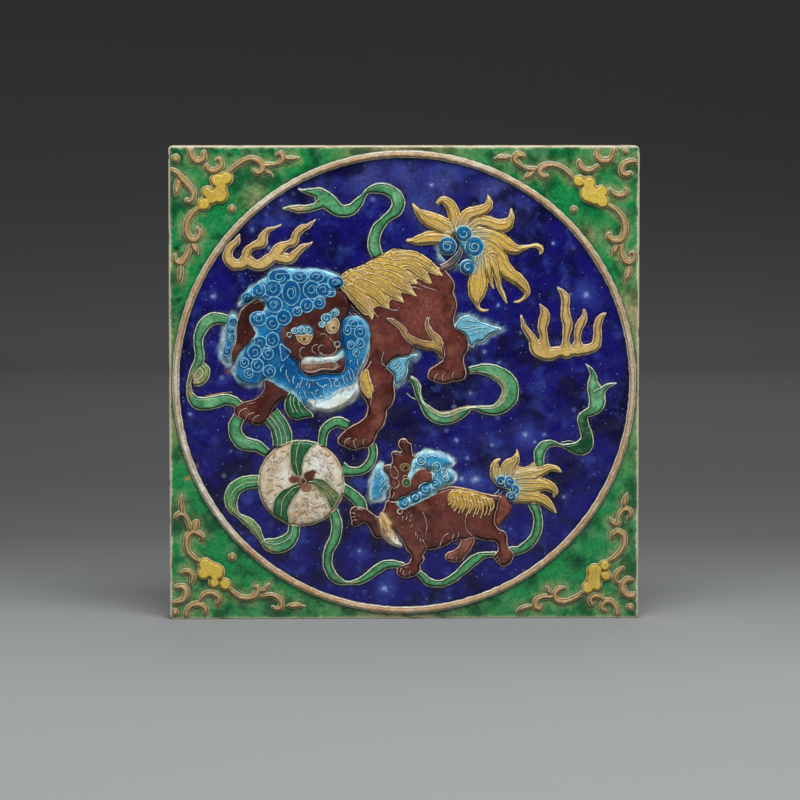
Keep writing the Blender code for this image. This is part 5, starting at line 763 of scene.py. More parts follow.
# Lines of slip on the figures, (u, v) along each
LION_LINES = (
    ((11.3, 29.8), (10.7, 28.2), (11, 26), (12.5, 23.5), (15, 21.5), (16.4, 19.8), (16.8, 17.8),
     (17.5, 15.5), (17.9, 13), (17.2, 10.3)),
    ((-9, 14), (-10, 11.5), (-9.8, 9), (-8, 6.8)),
    ((15, 4.4), (13.7, 3.3), (13, 1.2)),
    ((18, 4.7), (17, 3.5), (17.2, 1)),
    ((22, 5), (21.3, 3.8), (21.5, 1.8)),
    ((-24, -24.3), (-25.8, -25), (-26.5, -26.5), (-26.3, -28)),
    ((-21.5, -24.5), (-22.5, -26), (-22, -28), (-21.3, -29.2)),
    ((-17.5, -25), (-18.5, -26.3), (-17.8, -28.3)),
    ((-14.8, 9.7), (-15.8, 7.8), (-18, 5.5), (-19, 4.3)),
    ((-16.3, 6.3), (-15.7, 3.5), (-14.6, 0.3), (-13.6, -3.5)),
    ((-14.4, -5.3), (-14.7, -7.5), (-15.2, -10)),
    ((-19.2, 2), (-17.8, -0.5), (-16.7, -3)),
    ((1.5, 49.3), (4, 46.8), (7, 43.8), (10, 42.5), (14.3, 41.3)),
    ((2, 43), (5, 42.5), (8, 41.5)),
    ((-7, 33.2), (-5, 32.5), (-2.8, 32.4)),
    ((-16.8, 38), (-15, 34), (-13, 31), (-11.3, 29)),
    ((-26.7, 31.7), (-25.4, 30.3)),
    ((-24.8, 31.8), (-22, 29)),
    ((-22.3, 31), (-19.5, 28.8)),
)
FORELEG_LINES = (
    ((-62.2, 2.5), (-62, -2), (-63.5, -5), (-66.5, -7.2), (-71, -8.5), (-74.3, -10)),
    ((-70, -11), (-72, -11.5), (-73.3, -13), (-73.5, -14.8)),
    ((-66.5, -12.8), (-68.5, -13.5), (-70, -14.5), (-70.8, -16)),
    ((-64.5, -14), (-66, -14.5), (-67, -15.8), (-67.5, -17.5)),
)
PLEATS_LINES = (
    ((-46.3, -3.5), (-46.7, -6.5), (-47, -9), (-46, -11.5), (-44.5, -13.3)),
    ((-48.8, -5.5), (-49.2, -8), (-48.5, -11), (-47.5, -13)),
    ((-50.5, -5.5), (-50.8, -8), (-50.3, -10.5), (-49, -13)),
)
FACE_LINES = (
    ((-37.7, 13.2), (-35, 12.6), (-32, 12.9), (-30.3, 14.5), (-30, 16.3)),
    ((-38.5, 17.4), (-40.3, 16.8), (-41, 15.5), (-40.5, 14), (-39, 13)),
    ((-36, 17.1), (-37.5, 16.8), (-38.2, 15.5), (-37.8, 14), (-36.5, 13.3)),
    ((-44.2, 16), (-45.8, 15.8), (-46.5, 14), (-46.2, 12), (-45, 10.9)),
    ((-37.3, 21.8), (-36, 22.2), (-34.8, 21.8), (-33.8, 20.8)),
    ((-33.2, 20.2), (-32, 19), (-31, 18.3)),
    ((-46.5, 9.5), (-46.6, 8), (-46, 6.5), (-44.5, 5.5), (-42, 5), (-40, 5), (-38, 5.8), (-36.5, 6.4),
     (-34, 6.3), (-31.5, 6), (-29.5, 7), (-28.5, 7.8)),
    ((-44.5, 3.8), (-42.5, 3.2), (-38, 4.3), (-35, 4.5), (-30, 4.2), (-28, 4.7), (-26.8, 5.8),
     (-26.2, 7.3), (-26.1, 8.5)),
    ((-53, 16.3), (-51.3, 15.1), (-50.6, 13.7), (-49.5, 11.7), (-48.5, 10.4), (-46.8, 9.8)),
    ((-48.5, 21.3), (-44.5, 21.6), (-40.6, 21.7)),
)
BEARD_LINES = (
    ((-41.3, -4), (-39.8, -6), (-39.3, -8), (-39.8, -9.5)),
    ((-39, 0.5), (-37.5, -1), (-36, -2), (-36, -4.8)),
    ((-36, -1.8), (-35.2, -0.6), (-34.4, -0.8)),
    ((-38.4, -2.8), (-39.6, -3.6), (-39.3, -4.8)),
    ((-33.8, 2), (-32.5, 0), (-32.6, -2.7)),
    ((-27.5, 3.5), (-27, 1), (-25.5, -1), (-24.3, -3)),
    ((-24, 6.8), (-22.8, 5), (-22.2, 1.5)),
    ((-25, 5.8), (-24.2, 3.7), (-23.6, 1.5)),
    ((-26.3, 3.2), (-25.6, 1.7), (-25.4, 0.8)),
    ((-22, 0.4), (-22.6, -1), (-22.6, -2.4)),
    ((-26.8, -1.2), (-27.3, -2.8), (-28.5, -4.2)),
    ((-37.5, -5.2), (-36.4, -5.8), (-37.8, -6)),
    ((-52.3, 6), (-52.3, 3.5), (-51, 0.8)),
    ((-53.5, 8.2), (-54.7, 7), (-55, 5.3)),
    ((-45.3, 1.5), (-46.2, -0.5), (-46.5, -2)),
    ((-43, 0.7), (-43.7, -1)),
    ((-48.9, 3.3), (-49.4, 1.5), (-49.2, 0)),
    ((-47, 0.2), (-47.6, -1.5), (-48.6, -2.2)),
    ((-42, 0), (-42.4, -2)),
    ((-44.8, -3), (-44, -5), (-43.4, -6.7)),
    ((-42.4, -7), (-42, -9), (-41.4, -10)),
    ((-46.6, -3.8), (-46.4, -5.6), (-45.4, -7.5), (-45, -9.6)),
    ((-23.6, 10.3), (-24.4, 9.3)),
    ((-21, 10.6), (-21, 9), (-20.4, 7.6)),
    ((-20.3, 5.6), (-20.8, 3.6)),
)
HIND_FIN_LINES = (
    ((25, 25), (28, 24.7), (31, 25.6), (34.5, 24.8)),
    ((25.3, 23.8), (28, 23.3), (31.5, 24.4), (36, 24.6)),
    ((32.5, 20), (35, 21.5), (38, 23), (41, 24)),
    ((29.5, 21.5), (31.5, 22.6), (34, 23)),
    ((26, 27.6), (28.6, 27.9), (31.5, 26.9)),
)
CUB_LINES = (
    ((8.1, -57.3), (9, -59.5), (9.8, -62), (9.9, -64), (9.5, -66.5), (9.2, -69.5)),
    ((9.7, -73.5), (9.3, -72), (8.5, -70.5), (7.8, -69.5)),
    ((-0.6, -59), (-1, -60), (-0.7, -61.3)),
    ((0.8, -58.6), (1.1, -59.7), (0.6, -60.8)),
    ((3.2, -58.6), (2.6, -59.7)),
    ((2.8, -60.5), (2.3, -61.7)),
    ((3.6, -62.8), (2.8, -64.2)),
    ((5, -66.3), (5, -68)),
    ((6, -67.8), (5.8, -69.3)),
    ((7, -69.2), (7.1, -70.5)),
    ((27.3, -59.5), (27.1, -62.5), (27.6, -65), (29, -67), (31, -68.6), (34, -69.8), (37, -70.5),
     (40.2, -70.6)),
    ((12, -74.2), (13.6, -74.1), (15, -73.3), (16, -72), (16.8, -69.5), (17.9, -68), (19.5, -66.9)),
    ((22, -67.2), (21.3, -69), (21, -70.3)),
    ((24.2, -66.6), (23.8, -68.3), (22.8, -70)),
    ((-1.5, -82.5), (-2, -83.8)),
    ((-0.2, -83.6), (-0.6, -85), (0.2, -86)),
    ((2.8, -83.7), (2, -84.8), (2.6, -86)),
    ((41.6, -77.6), (40.7, -78.5)),
    ((42.4, -78.7), (41.5, -79.8)),
    ((43, -79.6), (42.5, -80.7)),
    ((21.6, -77.3), (20.8, -78.5)),
    ((23.8, -77.5), (22.9, -78.5), (23.3, -79.5)),
)
CUB_TOES = (
    ((-24, -57.6), (-21.9, -57.8)),
    ((-23.7, -59.8), (-22, -59.3)),
    ((-23.2, -61.5), (-22.5, -60.9), (-21.2, -60.8)),
)
CUB_CHEST_LINES = (
    ((-11.9, -60.8), (-11.8, -63.5), (-11, -66), (-10, -67.6)),
    ((-4.3, -61.3), (-5, -63.3), (-5.2, -65.3)),
    ((-2, -68.2), (-2.4, -70.6)),
    ((-4.6, -66.8), (-4.1, -69)),
    ((-9, -61), (-8.2, -63.5), (-7.6, -66)),
    ((-9.2, -64.5), (-8.2, -67), (-6.6, -69.3)),
)
CUB_FACE_LINES = (
    ((-6.1, -36.6), (-6.3, -38.5), (-5.9, -41), (-5, -42.1), (-3.6, -42.1), (-2.8, -41.2), (-3, -39.3),
     (-4.3, -37.2)),
    ((-3.8, -42.3), (-2.7, -43.2), (-2.3, -44.6), (-3, -46), (-4.5, -46.7), (-5.9, -46)),
    ((-4.5, -48.7), (-4.9, -50), (-5.6, -51)),
    ((-6.3, -47.5), (-6.8, -48.8), (-6.4, -50.2)),
    ((0.9, -41), (0, -40.9), (-0.8, -41.8), (-0.4, -42.8)),
    ((-1.4, -58), (-2.6, -58.2), (-3.3, -57), (-2.6, -55.8)),
)
CUB_BEARD_LINES = (
    ((-11.3, -39.5), (-12.3, -40.6), (-12.6, -42)),
    ((-10.8, -41), (-12, -42.3)),
    ((-8.3, -42.6), (-10, -44), (-11.3, -45.8)),
    ((-9.6, -42.4), (-11, -44)),
    ((-7.3, -44.5), (-9, -45.6), (-10.6, -47.4)),
    ((-6.8, -46.8), (-8, -48), (-9.5, -49), (-10.8, -49.4)),
    ((-9.8, -46.6), (-11.3, -48.6)),
)
CUB_MANE_LINES = (
    ((14.3, -43), (14.6, -41.3), (13.9, -39.6), (12.7, -38.8)),
    ((13.4, -40.4), (12.5, -41.2), (12.4, -42.6)),
    ((4, -37.8), (4.6, -39.2), (4.2, -40.6)),
    ((9.5, -35), (10.8, -36), (10.4, -38)),
    ((3.4, -42), (2.6, -43), (1.2, -42.9)), ((5.2, -37.4), (6.4, -37), (7.6, -37.6)),
    ((16.6, -38.2), (18.4, -38.8), (19.2, -40.4), (19.4, -42)),
    ((9.6, -33), (11.4, -32.2), (14, -32.6)),
)

# The ornaments of each corner: its scrolls, its knot and its studs
CORNER_ORNAMENTS = (
    (UPPER_LEFT_SCROLLS, UPPER_LEFT_KNOT, UPPER_LEFT_STUDS),
    (UPPER_RIGHT_SCROLLS, UPPER_RIGHT_KNOT, UPPER_RIGHT_STUDS),
    (LOWER_LEFT_SCROLLS, LOWER_LEFT_KNOT, LOWER_LEFT_STUDS),
    (LOWER_RIGHT_SCROLLS, LOWER_RIGHT_KNOT, LOWER_RIGHT_STUDS),
)

# Ribbons' fold lines, in shares of the half width, and the stretch of it that shows the other side
RIBBON_FOLDS = {"banded": (-0.55, -0.1, 0.38), "loop": (0.0,), "hook": (0.25,), "belly": (-0.42,)}
RIBBON_TURNS = {"belly": (-1.2, -0.42, "#9a9a66"), "loop": (-1.2, 0.0, "#4f8a52"), "knot": (-1.2, 0.2, "#8f9a5c")}
KNOT_OVAL = (-91.6, 3.8, 3, 3.8)

# Small lines and rings: the ball's folds, the tails' locks, the cub's fringe, the lions' curls and bells
BALL_LINES = (
    ((-46.8, -41.6), (-47.8, -38), (-48.2, -34), (-47.8, -30), (-46.5, -26)),
    ((-46.3, -45.3), (-50, -47), (-53, -50), (-54.5, -53.5), (-54.8, -59)),
    ((-43.3, -43.5), (-39.5, -44), (-36, -46), (-33, -49), (-30.7, -52.5)),
)
HUB_LOBES = (
    (-42.4, -41, 2.7, "#4a281e"), (-40.8, -39.6, 1.5, "#5c3526"), (-49, -42.8, 2.4, "#5e3024"),
    (-43.8, -46.6, 2.7, "#8c6252"), (-45, -43.5, 2.4, "#4a2a20"),
)
TAIL_LINES = (((14.9, 78.5), (15.7, 79.9), (17.1, 80.1), (18.4, 78.6)),)
FRONT_FIN_LINES = tuple(((-5 + 0.62 * i, 7.9 - 1.4 * i), (-2.7 + 0.68 * i, 10.2 - 1.4 * i)) for i in range(5))
TAN_SLIVERS = (
    ((13.5, -11.7), (16.5, -12.9), (20, -12.6), (23, -11.6), (26, -10.6), (28.5, -10)),
    ((-88.5, -5.6), (-85.5, -5), (-82, -4.4), (-79, -4.1), (-76.5, -4)),
)
PALE_SLIVERS = (((1, -4.3), (2.5, -5.8), (5, -7.5)), ((70, -26.4), (73.5, -26), (76.5, -26.6)))
CUB_TAIL_LINES = (((42, -50.6), (42.9, -49.8), (43.4, -48.4)), ((40.3, -49.6), (41.5, -48.8), (42, -47.6)))
FRINGE_TIPS = (
    (19.6, -54.2), (20.8, -55.6), (22.2, -57), (24, -57.8), (25.6, -57.6), (27.4, -59.2), (28.8, -58),
    (30.6, -59.4), (32, -58.6), (33.8, -60.2), (35.6, -59), (37.4, -58.8), (38.8, -56.8),
)
CUB_FRINGE = tuple(
    ((u, v), (0.4 * u + 0.6 * tip[0] + 1.2, 0.45 * v + 0.55 * tip[1]), tip)
    for u, v, tip in ((20.4 + 1.5 * i, -50.2 - 0.12 * i, tip) for i, tip in enumerate(FRINGE_TIPS))
)
BACK_ROWS = ((-7, 9), (-4.5, 6), (-2.2, 3.2))  # how far the rows of short locks are shifted up the back
BROW_CURLS = (
    (-34.7, 28.9, 2.1, 1.9), (-30.8, 31.4, 1.6, 1.5), (-36.6, 26.2, 1.2, 1.2), (-48.6, 23.4, 1.4, 1.3),
    (-46, 24, 1.4, 1.3), (-43, 23.7, 1.5, 1.4),
)
LION_RINGS = ((-30, 0, 1.35), (-29.8, 17.4, 1.3), (-51.2, 21.6, 1.1))
LION_PUPILS = ((-31.6, 24.7, 0.7), (-44.5, 19.7, 0.7))
CUB_EYE = (0.3, -37.4, 2.1)
CUB_PUPILS = ((0.5, -37.7, 0.8),)
CUB_RINGS = ((0.9, -44.2, 1.9), (-1.9, -57, 1.1))  # the bell under its chin and a curl

# Stains of the corners, the ring and the ribbons
TAN_WASHES = Stain("#a08a66", 0.5, (
    (0, 104, 24, 0.8), (0, -104, 24, 0.7), (-103.5, 0, 22), (103.5, 0, 22, 0.7), (99, 32, 10, 0.8), (-99, -20, 8),
    (82, 66, 5), (-66, 82, 6)))
PITS = Stain("#08140c", 0.9, ((-100, 37, 1.2), (-101, 60, 1.2), (-77.5, 101.5, 1.2), (77.8, -79.5, 1.4)))
RING_WEAR = Stain("#d8d6cc", 0.25, (
    (-100, 0, 12, 0.7), (-97, -25, 12, 0.7), (-88, -48, 12, 0.8), (-80, -62, 10, 0.6), (100, 20, 14), (98, -5, 12),
    (-60, 82, 14, 0.5), (30, 97, 12, 0.3)))
RING_DRIPS = Stain("#a3825e", 0.8, ((-95.8, -42.2, 1), (-97, -42.4, 0.8), (-93.2, -37, 1.2)), runs_over=True)
RIBBON_STAINS = (
    Stain("#8f9a5c", 0.9, ((-74, -59, 5), (-66, -66, 5), (-89, 4, 5), (-25, -89, 4), (42, -1, 3))),
    Stain("#0a3a20", 0.95, (
        (80.5, -17, 4), (81, -21, 4.5), (81, -25, 4.5), (79, -28.5, 5), (74, -28.6, 3.5), (-53, -28, 3),
        (-48, -12, 3))),
    Stain("#84bc8c", 0.5, (
        (85, -7, 4.5), (84, 0, 3), (62, -29, 3), (-87, 27, 3.5), (-4, 82, 3), (-13, 62, 3.5), (38, 4, 2.5),
        (14, -15, 3), (-72, -26, 3), (-86, -8, 3), (-30, -63, 3))),
    Stain("#a98a64", 0.85, (
        (-46, 77.4, 3.5), (-51, 77.6, 3), (-93.5, 2, 3), (-95, -3, 2.5), (22, -14.5, 2), (-60, -75, 2))),
)

# Clouds and smudges of the blue ground, a painted sheen of pale haze near its top, and its blooms, each a pale dot in
# a wider halo
GROUND_CLOUDS_AND_SHEEN = (
    Stain("#3c4f9c", 0.45, (
        (-67, 69, 5), (81, 39.5, 5), (32, -43, 4), (26, -43, 3), (54, -23, 5), (40, -28, 5), (30, -4.5, 3),
        (-8, -92, 4))),
    # A painted sheen: pale haze along the top of the blue ground, where the light lies on the glaze
    Stain("#4a538a", 0.5, (
        (0, 93, 9), (18, 91, 9), (-18, 92, 8), (36, 84, 8), (-38, 86, 7), (52, 74, 7), (-55, 78, 6), (8, 76, 7),
        (44, 88, 5))),
    Stain("#8a6048", 0.65, ((-77.3, 5.2, 1.8), (-54, -75.5, 1.4), (2.5, -25.5, 1.4))),
)
BLOOM_PLACES = (
    (-84.7, 38.7, 1), (-67.5, 68.2, 1), (-54.5, 81.2, 0.7), (80.6, 39.2, 1.1), (73.5, 39.2, 0.7), (35.6, 13.8, 0.8),
    (41.6, 34.5, 0.6), (29.1, -4.2, 1), (39.1, -27.8, 0.9), (31.5, -42.9, 1.6), (25.6, -42.7, 1), (54, -23.1, 1.2),
    (62.2, -23.1, 0.7), (71.1, -50.9, 0.7), (64, -55.7, 0.6), (-95.2, -13.7, 0.8), (-76.9, -30.2, 0.7),
    (-8.9, -91.7, 1.2), (-72.7, -48, 0.5), (34.5, -11, 1), (42.1, 9.1, 0.7), (61.6, -31.7, 1), (27.9, -33.5, 0.6),
    (45.1, -36.5, 0.8), (58.1, -26.4, 0.6), (51.6, 22.1, 0.7), (23.2, -25.5, 0.8), (-60, 60, 0.7), (12, 88, 0.7),
    (66, 62, 0.6), (-20, -75, 0.8), (20, -96, 0.7), (-66, -80, 0.8),
)
BLOOMS = Stain("#9fb2dc", 0.75, tuple(
    place for u, v, radius in BLOOM_PLACES for place in ((u, v, 2.2 * radius, 0.4, "#3d52a4"), (u, v, 0.8 * radius))))

# Stains of the great lion, and a painted highlight on its haunch
TAIL_GLOW = (23, 61, 8, 8)
TAIL_STAINS = Stain("#3b9db6", 0.85, ((27, 61, 8), (24, 66, 5), (29, 54, 5)))
BELLY_STAIN = Stain(AMBER, 0.7, ((13, 16, 3),))
# A painted highlight: a lighter reddish patch on the crown of the haunch
HAUNCH_HIGHLIGHT = Stain("#8c5044", 0.5, ((9, 34, 9),))
MANE_LIGHT = Stain("#38acdc", 0.425, (
    (-33, -5, 6), (-45, -7, 5), (-24, 0, 4, 0.34), (-17.5, 13, 3.5, 0.595), (-17.5, 21, 3.5, 0.595),
    (-24, 28, 3, 0.51), (-72, 5, 4), (-55, -1, 4), (-70, 39, 3), (-60, 47, 3), (-51, 50, 3, 0.51),
    (-43, 50, 3, 0.51), (-34, 48, 3), (-52, 35, 3, 0.34), (-62, 24, 3, 0.34), (-58, 10, 3, 0.34),
    (-26.5, 12, 2.5, 0.51), (-66, 34, 2, 0.34)), Finish.TURQUOISE)
MANE_DEEP = Stain("#073a62", 0.65, (
    (-56, 41, 6), (-64, 9, 6), (-47, 41, 6), (-22, 19, 4), (-58, 19, 4), (-61, 29, 4), (-38, 38, 4), (-52, 6, 5),
    (-41, 0, 4)), Finish.TURQUOISE)
BEARD_STAINS = Stain("#7cc4e0", 0.8, (
    (-30, -11.6, 1.6, 0.7, "#a98a62"), (-26, -9, 1.6, 0.7, "#b0926a"), (-36, -12.6, 1.6, 0.6, "#9f8a6c"),
    (-23, -6.5, 1.5, 0.5, "#c2b08a"), (-39, -8.2, 2, 0.7, "#8ccbe0"), (-34, -6.5, 2.4), (-29, -3.6, 2.4),
    (-24, -2, 2, 0.7, "#8ccbe0")))
LIP_STAINS = Stain("#5fb4d0", 0.6, (
    (-44.5, 10.2, 1.3, 0.7, "#8a6a5a"), (-40.5, 9.8, 1, 0.5, "#84604f"), (-37.5, 10.8, 1.2, 0.6, "#9ccac8"),
    (-34.5, 10, 1.1, 0.5, "#7d5a4c"), (-31, 11.2, 1.2, 0.6, "#8fc4c8"), (-28.2, 13, 1.6),
    (-42.5, 7, 1.2, 0.6, "#a8865f"), (-32, 7.8, 1.2, 0.7, "#4e2e22"), (-38, 7.2, 1.5, 0.6, "#5c3a2c")))

# Stains of the ball and the cub
BALL_STAINS = Stain("#dadcd2", 0.6, (
    (-57, -36, 5, 0.6, "#a27c52"), (-51.5, -42, 5, 0.7, "#e0ded0"), (-61, -47, 4, 0.6, "#ad8c62"),
    (-38.5, -36, 6, 0.85, "#e2e8e2"), (-33, -31, 4, 0.6, "#b08d66"), (-36, -42, 3, 0.6, "#dfe6e2"),
    (-43, -59, 6, 0.7, "#b0865a"), (-50, -61, 4, 0.6, "#9c7248"), (-39, -53, 4, 0.6, "#d9d3c2"), (-31, -45, 3),
    (-54, -55, 4, 0.4, "#3f4a30")))
BAND_STAIN = Stain("#8a8450", 0.8, ((-34, -47.5, 5),))
CUB_TAIL_STAIN = Stain("#3b9db6", 0.9, ((46, -46, 8),))
CHEST_STAINS = Stain("#8e6236", 0.5, (
    (-4, -71.5, 2.6, 0.85, "#e8e2d4"), (-7, -70, 2.4, 0.7, "#e4dac4"), (-9.5, -60.5, 2.6, 0.7, "#b98e50"),
    (-7, -62.5, 2, 0.6, "#caa25e"), (-10.3, -65, 2)))


def linear(code: str) -> np.ndarray:
    """Turns an sRGB hex colour to linear light: x/12.92 up to 0.04045, ((x + 0.055)/1.055)^2.4 above.

    Args:
        code: The colour as "#rrggbb".

    Returns:
        Its red, green and blue in linear light.
    """
    value = np.array([int(code[place : place + 2], 16) for place in (1, 3, 5)]) / 255
    return np.where(value <= 0.04045, value / 12.92, ((value + 0.055) / 1.055) ** 2.4)


def colour(code: str) -> tuple[float, ...]:
    """A hex colour as the four numbers of a colour socket."""
    return (*linear(code), 1.0)


def eased(value: np.ndarray) -> np.ndarray:
    """Clamps to 0..1 and eases both ends: 3t^2 - 2t^3."""
    share = np.clip(value, 0, 1)
    return share * share * (3 - 2 * share)


def ripple(x: np.ndarray, z: np.ndarray, length: float, seed: int) -> np.ndarray:
    """A soft uneven field: the sum of many plane waves near one wavelength, scaled to about -1..1.

    Args:
        x: Places across, in metres.
        z: Places up, in metres.
        length: The mean wavelength in metres.
        seed: Chooses the waves.

    Returns:
        The field's value at every place.
    """
    pick = np.random.default_rng(seed)
    total = np.zeros_like(x)
    turns, stretches, phases = (pick.uniform(*span, WAVES) for span in ((0, math.tau), WAVE_STRETCH, (0, 9)))
    for turn, stretch, phase in zip(turns, stretches, phases):
        wave = math.tau / (length * stretch)
        total += np.sin(wave * (math.cos(turn) * x + math.sin(turn) * z) + phase)
    return np.clip(total / WAVE_SUM, -1, 1)


def blurred(values: np.ndarray, reach: int) -> np.ndarray:
    """Spreads a grid of values: the mean over a square, taken three times.

    Args:
        values: The grid.
        reach: Half the square's side, in cells.

    Returns:
        The spread values.
    """
    for _ in range(3):
        for axis in (0, 1):
            room = [(0, 0), (0, 0)]
            room[axis] = (reach + 1, reach)
            total = np.cumsum(np.pad(values, room, mode="edge"), axis=axis)
            size = values.shape[axis]
            high = np.take(total, np.arange(2 * reach + 1, 2 * reach + 1 + size), axis=axis)
            values = (high - np.take(total, np.arange(size), axis=axis)) / (2 * reach + 1)
    return values


def curve_through(points: np.ndarray, closed: bool = False) -> np.ndarray:
    """The smooth curve through given points: a cubic between each two, with the slope at a point half the
    step between its neighbours, sampled every CURVE_STEP.

    Args:
        points: Rows of x, z and, for a band, half width, in metres.
        closed: Whether the last point is followed by the first.

    Returns:
        Rows of the curve, the first repeated at the end where it is closed.
    """
    given = np.asarray(points, float)
    if closed:
        ends = np.vstack([given[-1:], given, given[:2]])
    else:
        ends = np.vstack([2 * given[:1] - given[1:2], given, 2 * given[-1:] - given[-2:-1]])
    stretches = []
    for before, start, end, after in zip(ends, ends[1:], ends[2:], ends[3:]):
        count = max(1, round(float(np.linalg.norm(end[:2] - start[:2])) / CURVE_STEP))
        t = np.arange(count)[:, None] / count
        bend = t**2 * (2 * before - 5 * start + 4 * end - after)
        bend += t**3 * (3 * start - before - 3 * end + after)
        stretches.append(start + 0.5 * (t * (end - before) + bend))
    return np.vstack(stretches + [given[:1] if closed else given[-1:]])


def to_line(start: np.ndarray, step: np.ndarray, x: np.ndarray, z: np.ndarray) -> np.ndarray:
    """How far places p lie from a straight piece of line: |p - a - ts|, with t = (p - a)s/ss held to 0..1.

    Args:
        start: Its first end a.
        step: Its run s to the other end.
        x: Places across.
        z: Places up.

    Returns:
        The distances in metres.
    """
    share = np.clip(((x - start[0]) * step[0] + (z - start[1]) * step[1]) / (step @ step), 0, 1)
    return np.hypot(x - start[0] - share * step[0], z - start[1] - share * step[1])


class Seen(NamedTuple):
    """How points lie to a shape: metres inside it, metres from the edge that carries its line, and for a
    band or the ring the signed share of its half width and that half width."""

    depth: np.ndarray
    edge: np.ndarray
    share: np.ndarray | float = 0.0
    half: np.ndarray | float = 1.0


@dataclass
class Outline:
    """A closed outline through points in metres from the tile's centre."""

    points: np.ndarray

    def __post_init__(self) -> None:
        """Smooths the outline once."""
        self.curve = curve_through(self.points, closed=True)

    def reach(self) -> tuple[np.ndarray, np.ndarray]:
        """Its lowest and highest corners."""
        return self.curve.min(0), self.curve.max(0)

    def seen(self, x: np.ndarray, z: np.ndarray) -> Seen:
        """Depth is the distance to the nearest straight piece, positive where a ray to the right crosses
        the outline an odd number of times.

        Args:
            x: Places across.
            z: Places up.

        Returns:
            How the places lie to the outline.
        """
        gap = np.full(x.shape, FAR)
        inside = np.zeros(x.shape, bool)
        for start, end in zip(self.curve, self.curve[1:]):
            step = end - start
            np.minimum(gap, to_line(start, step, x, z), out=gap)
            if step[1]:
                straddles = (start[1] > z) != (end[1] > z)
                inside ^= straddles & (start[0] + (z - start[1]) * step[0] / step[1] > x)
        return Seen(np.where(inside, gap, -gap), gap)


@dataclass
class Band:
    """A band along a path of (x, z, half width) in metres."""

    points: np.ndarray
    capped: bool = False  # whether its line runs round its ends too

    def __post_init__(self) -> None:
        """Smooths the path once."""
        self.curve = curve_through(self.points)
        self.curve[:, 2] = np.maximum(self.curve[:, 2], SMALLEST_HALF)

    def reach(self) -> tuple[np.ndarray, np.ndarray]:
        """Its lowest and highest corners."""
        widest = self.curve[:, 2].max()
        return self.curve[:, :2].min(0) - widest, self.curve[:, :2].max(0) + widest

    def seen(self, x: np.ndarray, z: np.ndarray) -> Seen:
        """Depth is the half width less the distance to the path, at the piece of the path that is nearest
        for its width. The share is signed by the side, left of the path being positive.

        Args:
            x: Places across.
            z: Places up.

        Returns:
            How the places lie to the band.
        """
        nearest = np.full(x.shape, np.inf)
        gap, half, side, end_cap = (np.full(x.shape, FAR) for _ in range(4))
        last = len(self.curve) - 2
        for place, (start, end) in enumerate(zip(self.curve, self.curve[1:])):
            step = end - start
            run = ((x - start[0]) * step[0] + (z - start[1]) * step[1]) / (step[:2] @ step[:2])
            share = np.clip(run, 0, 1)
            from_x, from_z = x - start[0] - share * step[0], z - start[1] - share * step[1]
            away, width = np.hypot(from_x, from_z), start[2] + share * step[2]
            closer = away / width < nearest
            nearest = np.where(closer, away / width, nearest)
            gap, half = np.where(closer, away, gap), np.where(closer, width, half)
            side = np.where(closer, np.sign(step[0] * from_z - step[1] * from_x), side)
            beyond = (place == 0) & (run < 0) | (place == last) & (run > 1)
            end_cap = np.where(closer, beyond, end_cap)
        depth = half - gap
        edge = np.where((end_cap > 0) & (not self.capped) & (half > LINE_HALF), FAR, np.abs(depth))
        return Seen(np.where(edge == FAR, -np.abs(depth), depth), edge, side * gap / half, half)


@dataclass
class Oval:
    """An upright oval: centre and the two half sizes, in metres."""

    centre: np.ndarray
    half_x: float
    half_z: float

    def reach(self) -> tuple[np.ndarray, np.ndarray]:
        """Its lowest and highest corners."""
        half = np.array([self.half_x, self.half_z])
        return self.centre - half, self.centre + half

    def seen(self, x: np.ndarray, z: np.ndarray) -> Seen:
        """Depth is one less the point's share of the way out, times the mean half size there.

        Args:
            x: Places across.
            z: Places up.

        Returns:
            How the places lie to the oval.
        """
        out = np.hypot((x - self.centre[0]) / self.half_x, (z - self.centre[1]) / self.half_z)
        depth = (1 - out) * math.sqrt(self.half_x * self.half_z)
        return Seen(depth, np.abs(depth))


@dataclass
class Hoop:
    """A flat ring round the medallion: mean radius and half width, in metres."""

    radius: float
    half: float

    def reach(self) -> tuple[np.ndarray, np.ndarray]:
        """Its lowest and highest corners."""
        out = np.full(2, self.radius + self.half)
        return -out, out

    def seen(self, x: np.ndarray, z: np.ndarray) -> Seen:
        """Depth is the half width less the distance from the mean circle; the line runs just inside each
        edge. The share is positive outwards.

        Args:
            x: Places across.
            z: Places up.

        Returns:
            How the places lie to the ring.
        """
        out = np.hypot(x, z) - self.radius
        depth = self.half - np.abs(out)
        return Seen(depth, np.abs(depth - RING_LINE_IN), out / self.half, np.full_like(out, self.half))


@dataclass
class Union:
    """Several shapes that run into one: the line goes round them all and not between them."""

    shapes: list
    melt: float = 0.0  # how far they flow into each other

    def reach(self) -> tuple[np.ndarray, np.ndarray]:
        """Its lowest and highest corners."""
        reaches = [shape.reach() for shape in self.shapes]
        return np.min([low for low, _ in reaches], axis=0), np.max([high for _, high in reaches], axis=0)

    def seen(self, x: np.ndarray, z: np.ndarray) -> Seen:
        """Depth is the greatest of the shapes' own, or with a melt m it is m log(sum(exp(d/m))).

        Args:
            x: Places across.
            z: Places up.

        Returns:
            How the places lie to the whole.
        """
        depths = np.array([shape.seen(x, z).depth for shape in self.shapes])
        depth = depths.max(axis=0)
        if self.melt:
            depth += self.melt * np.log(np.exp((depths - depth) / self.melt).sum(axis=0))
        return Seen(depth, np.abs(depth))


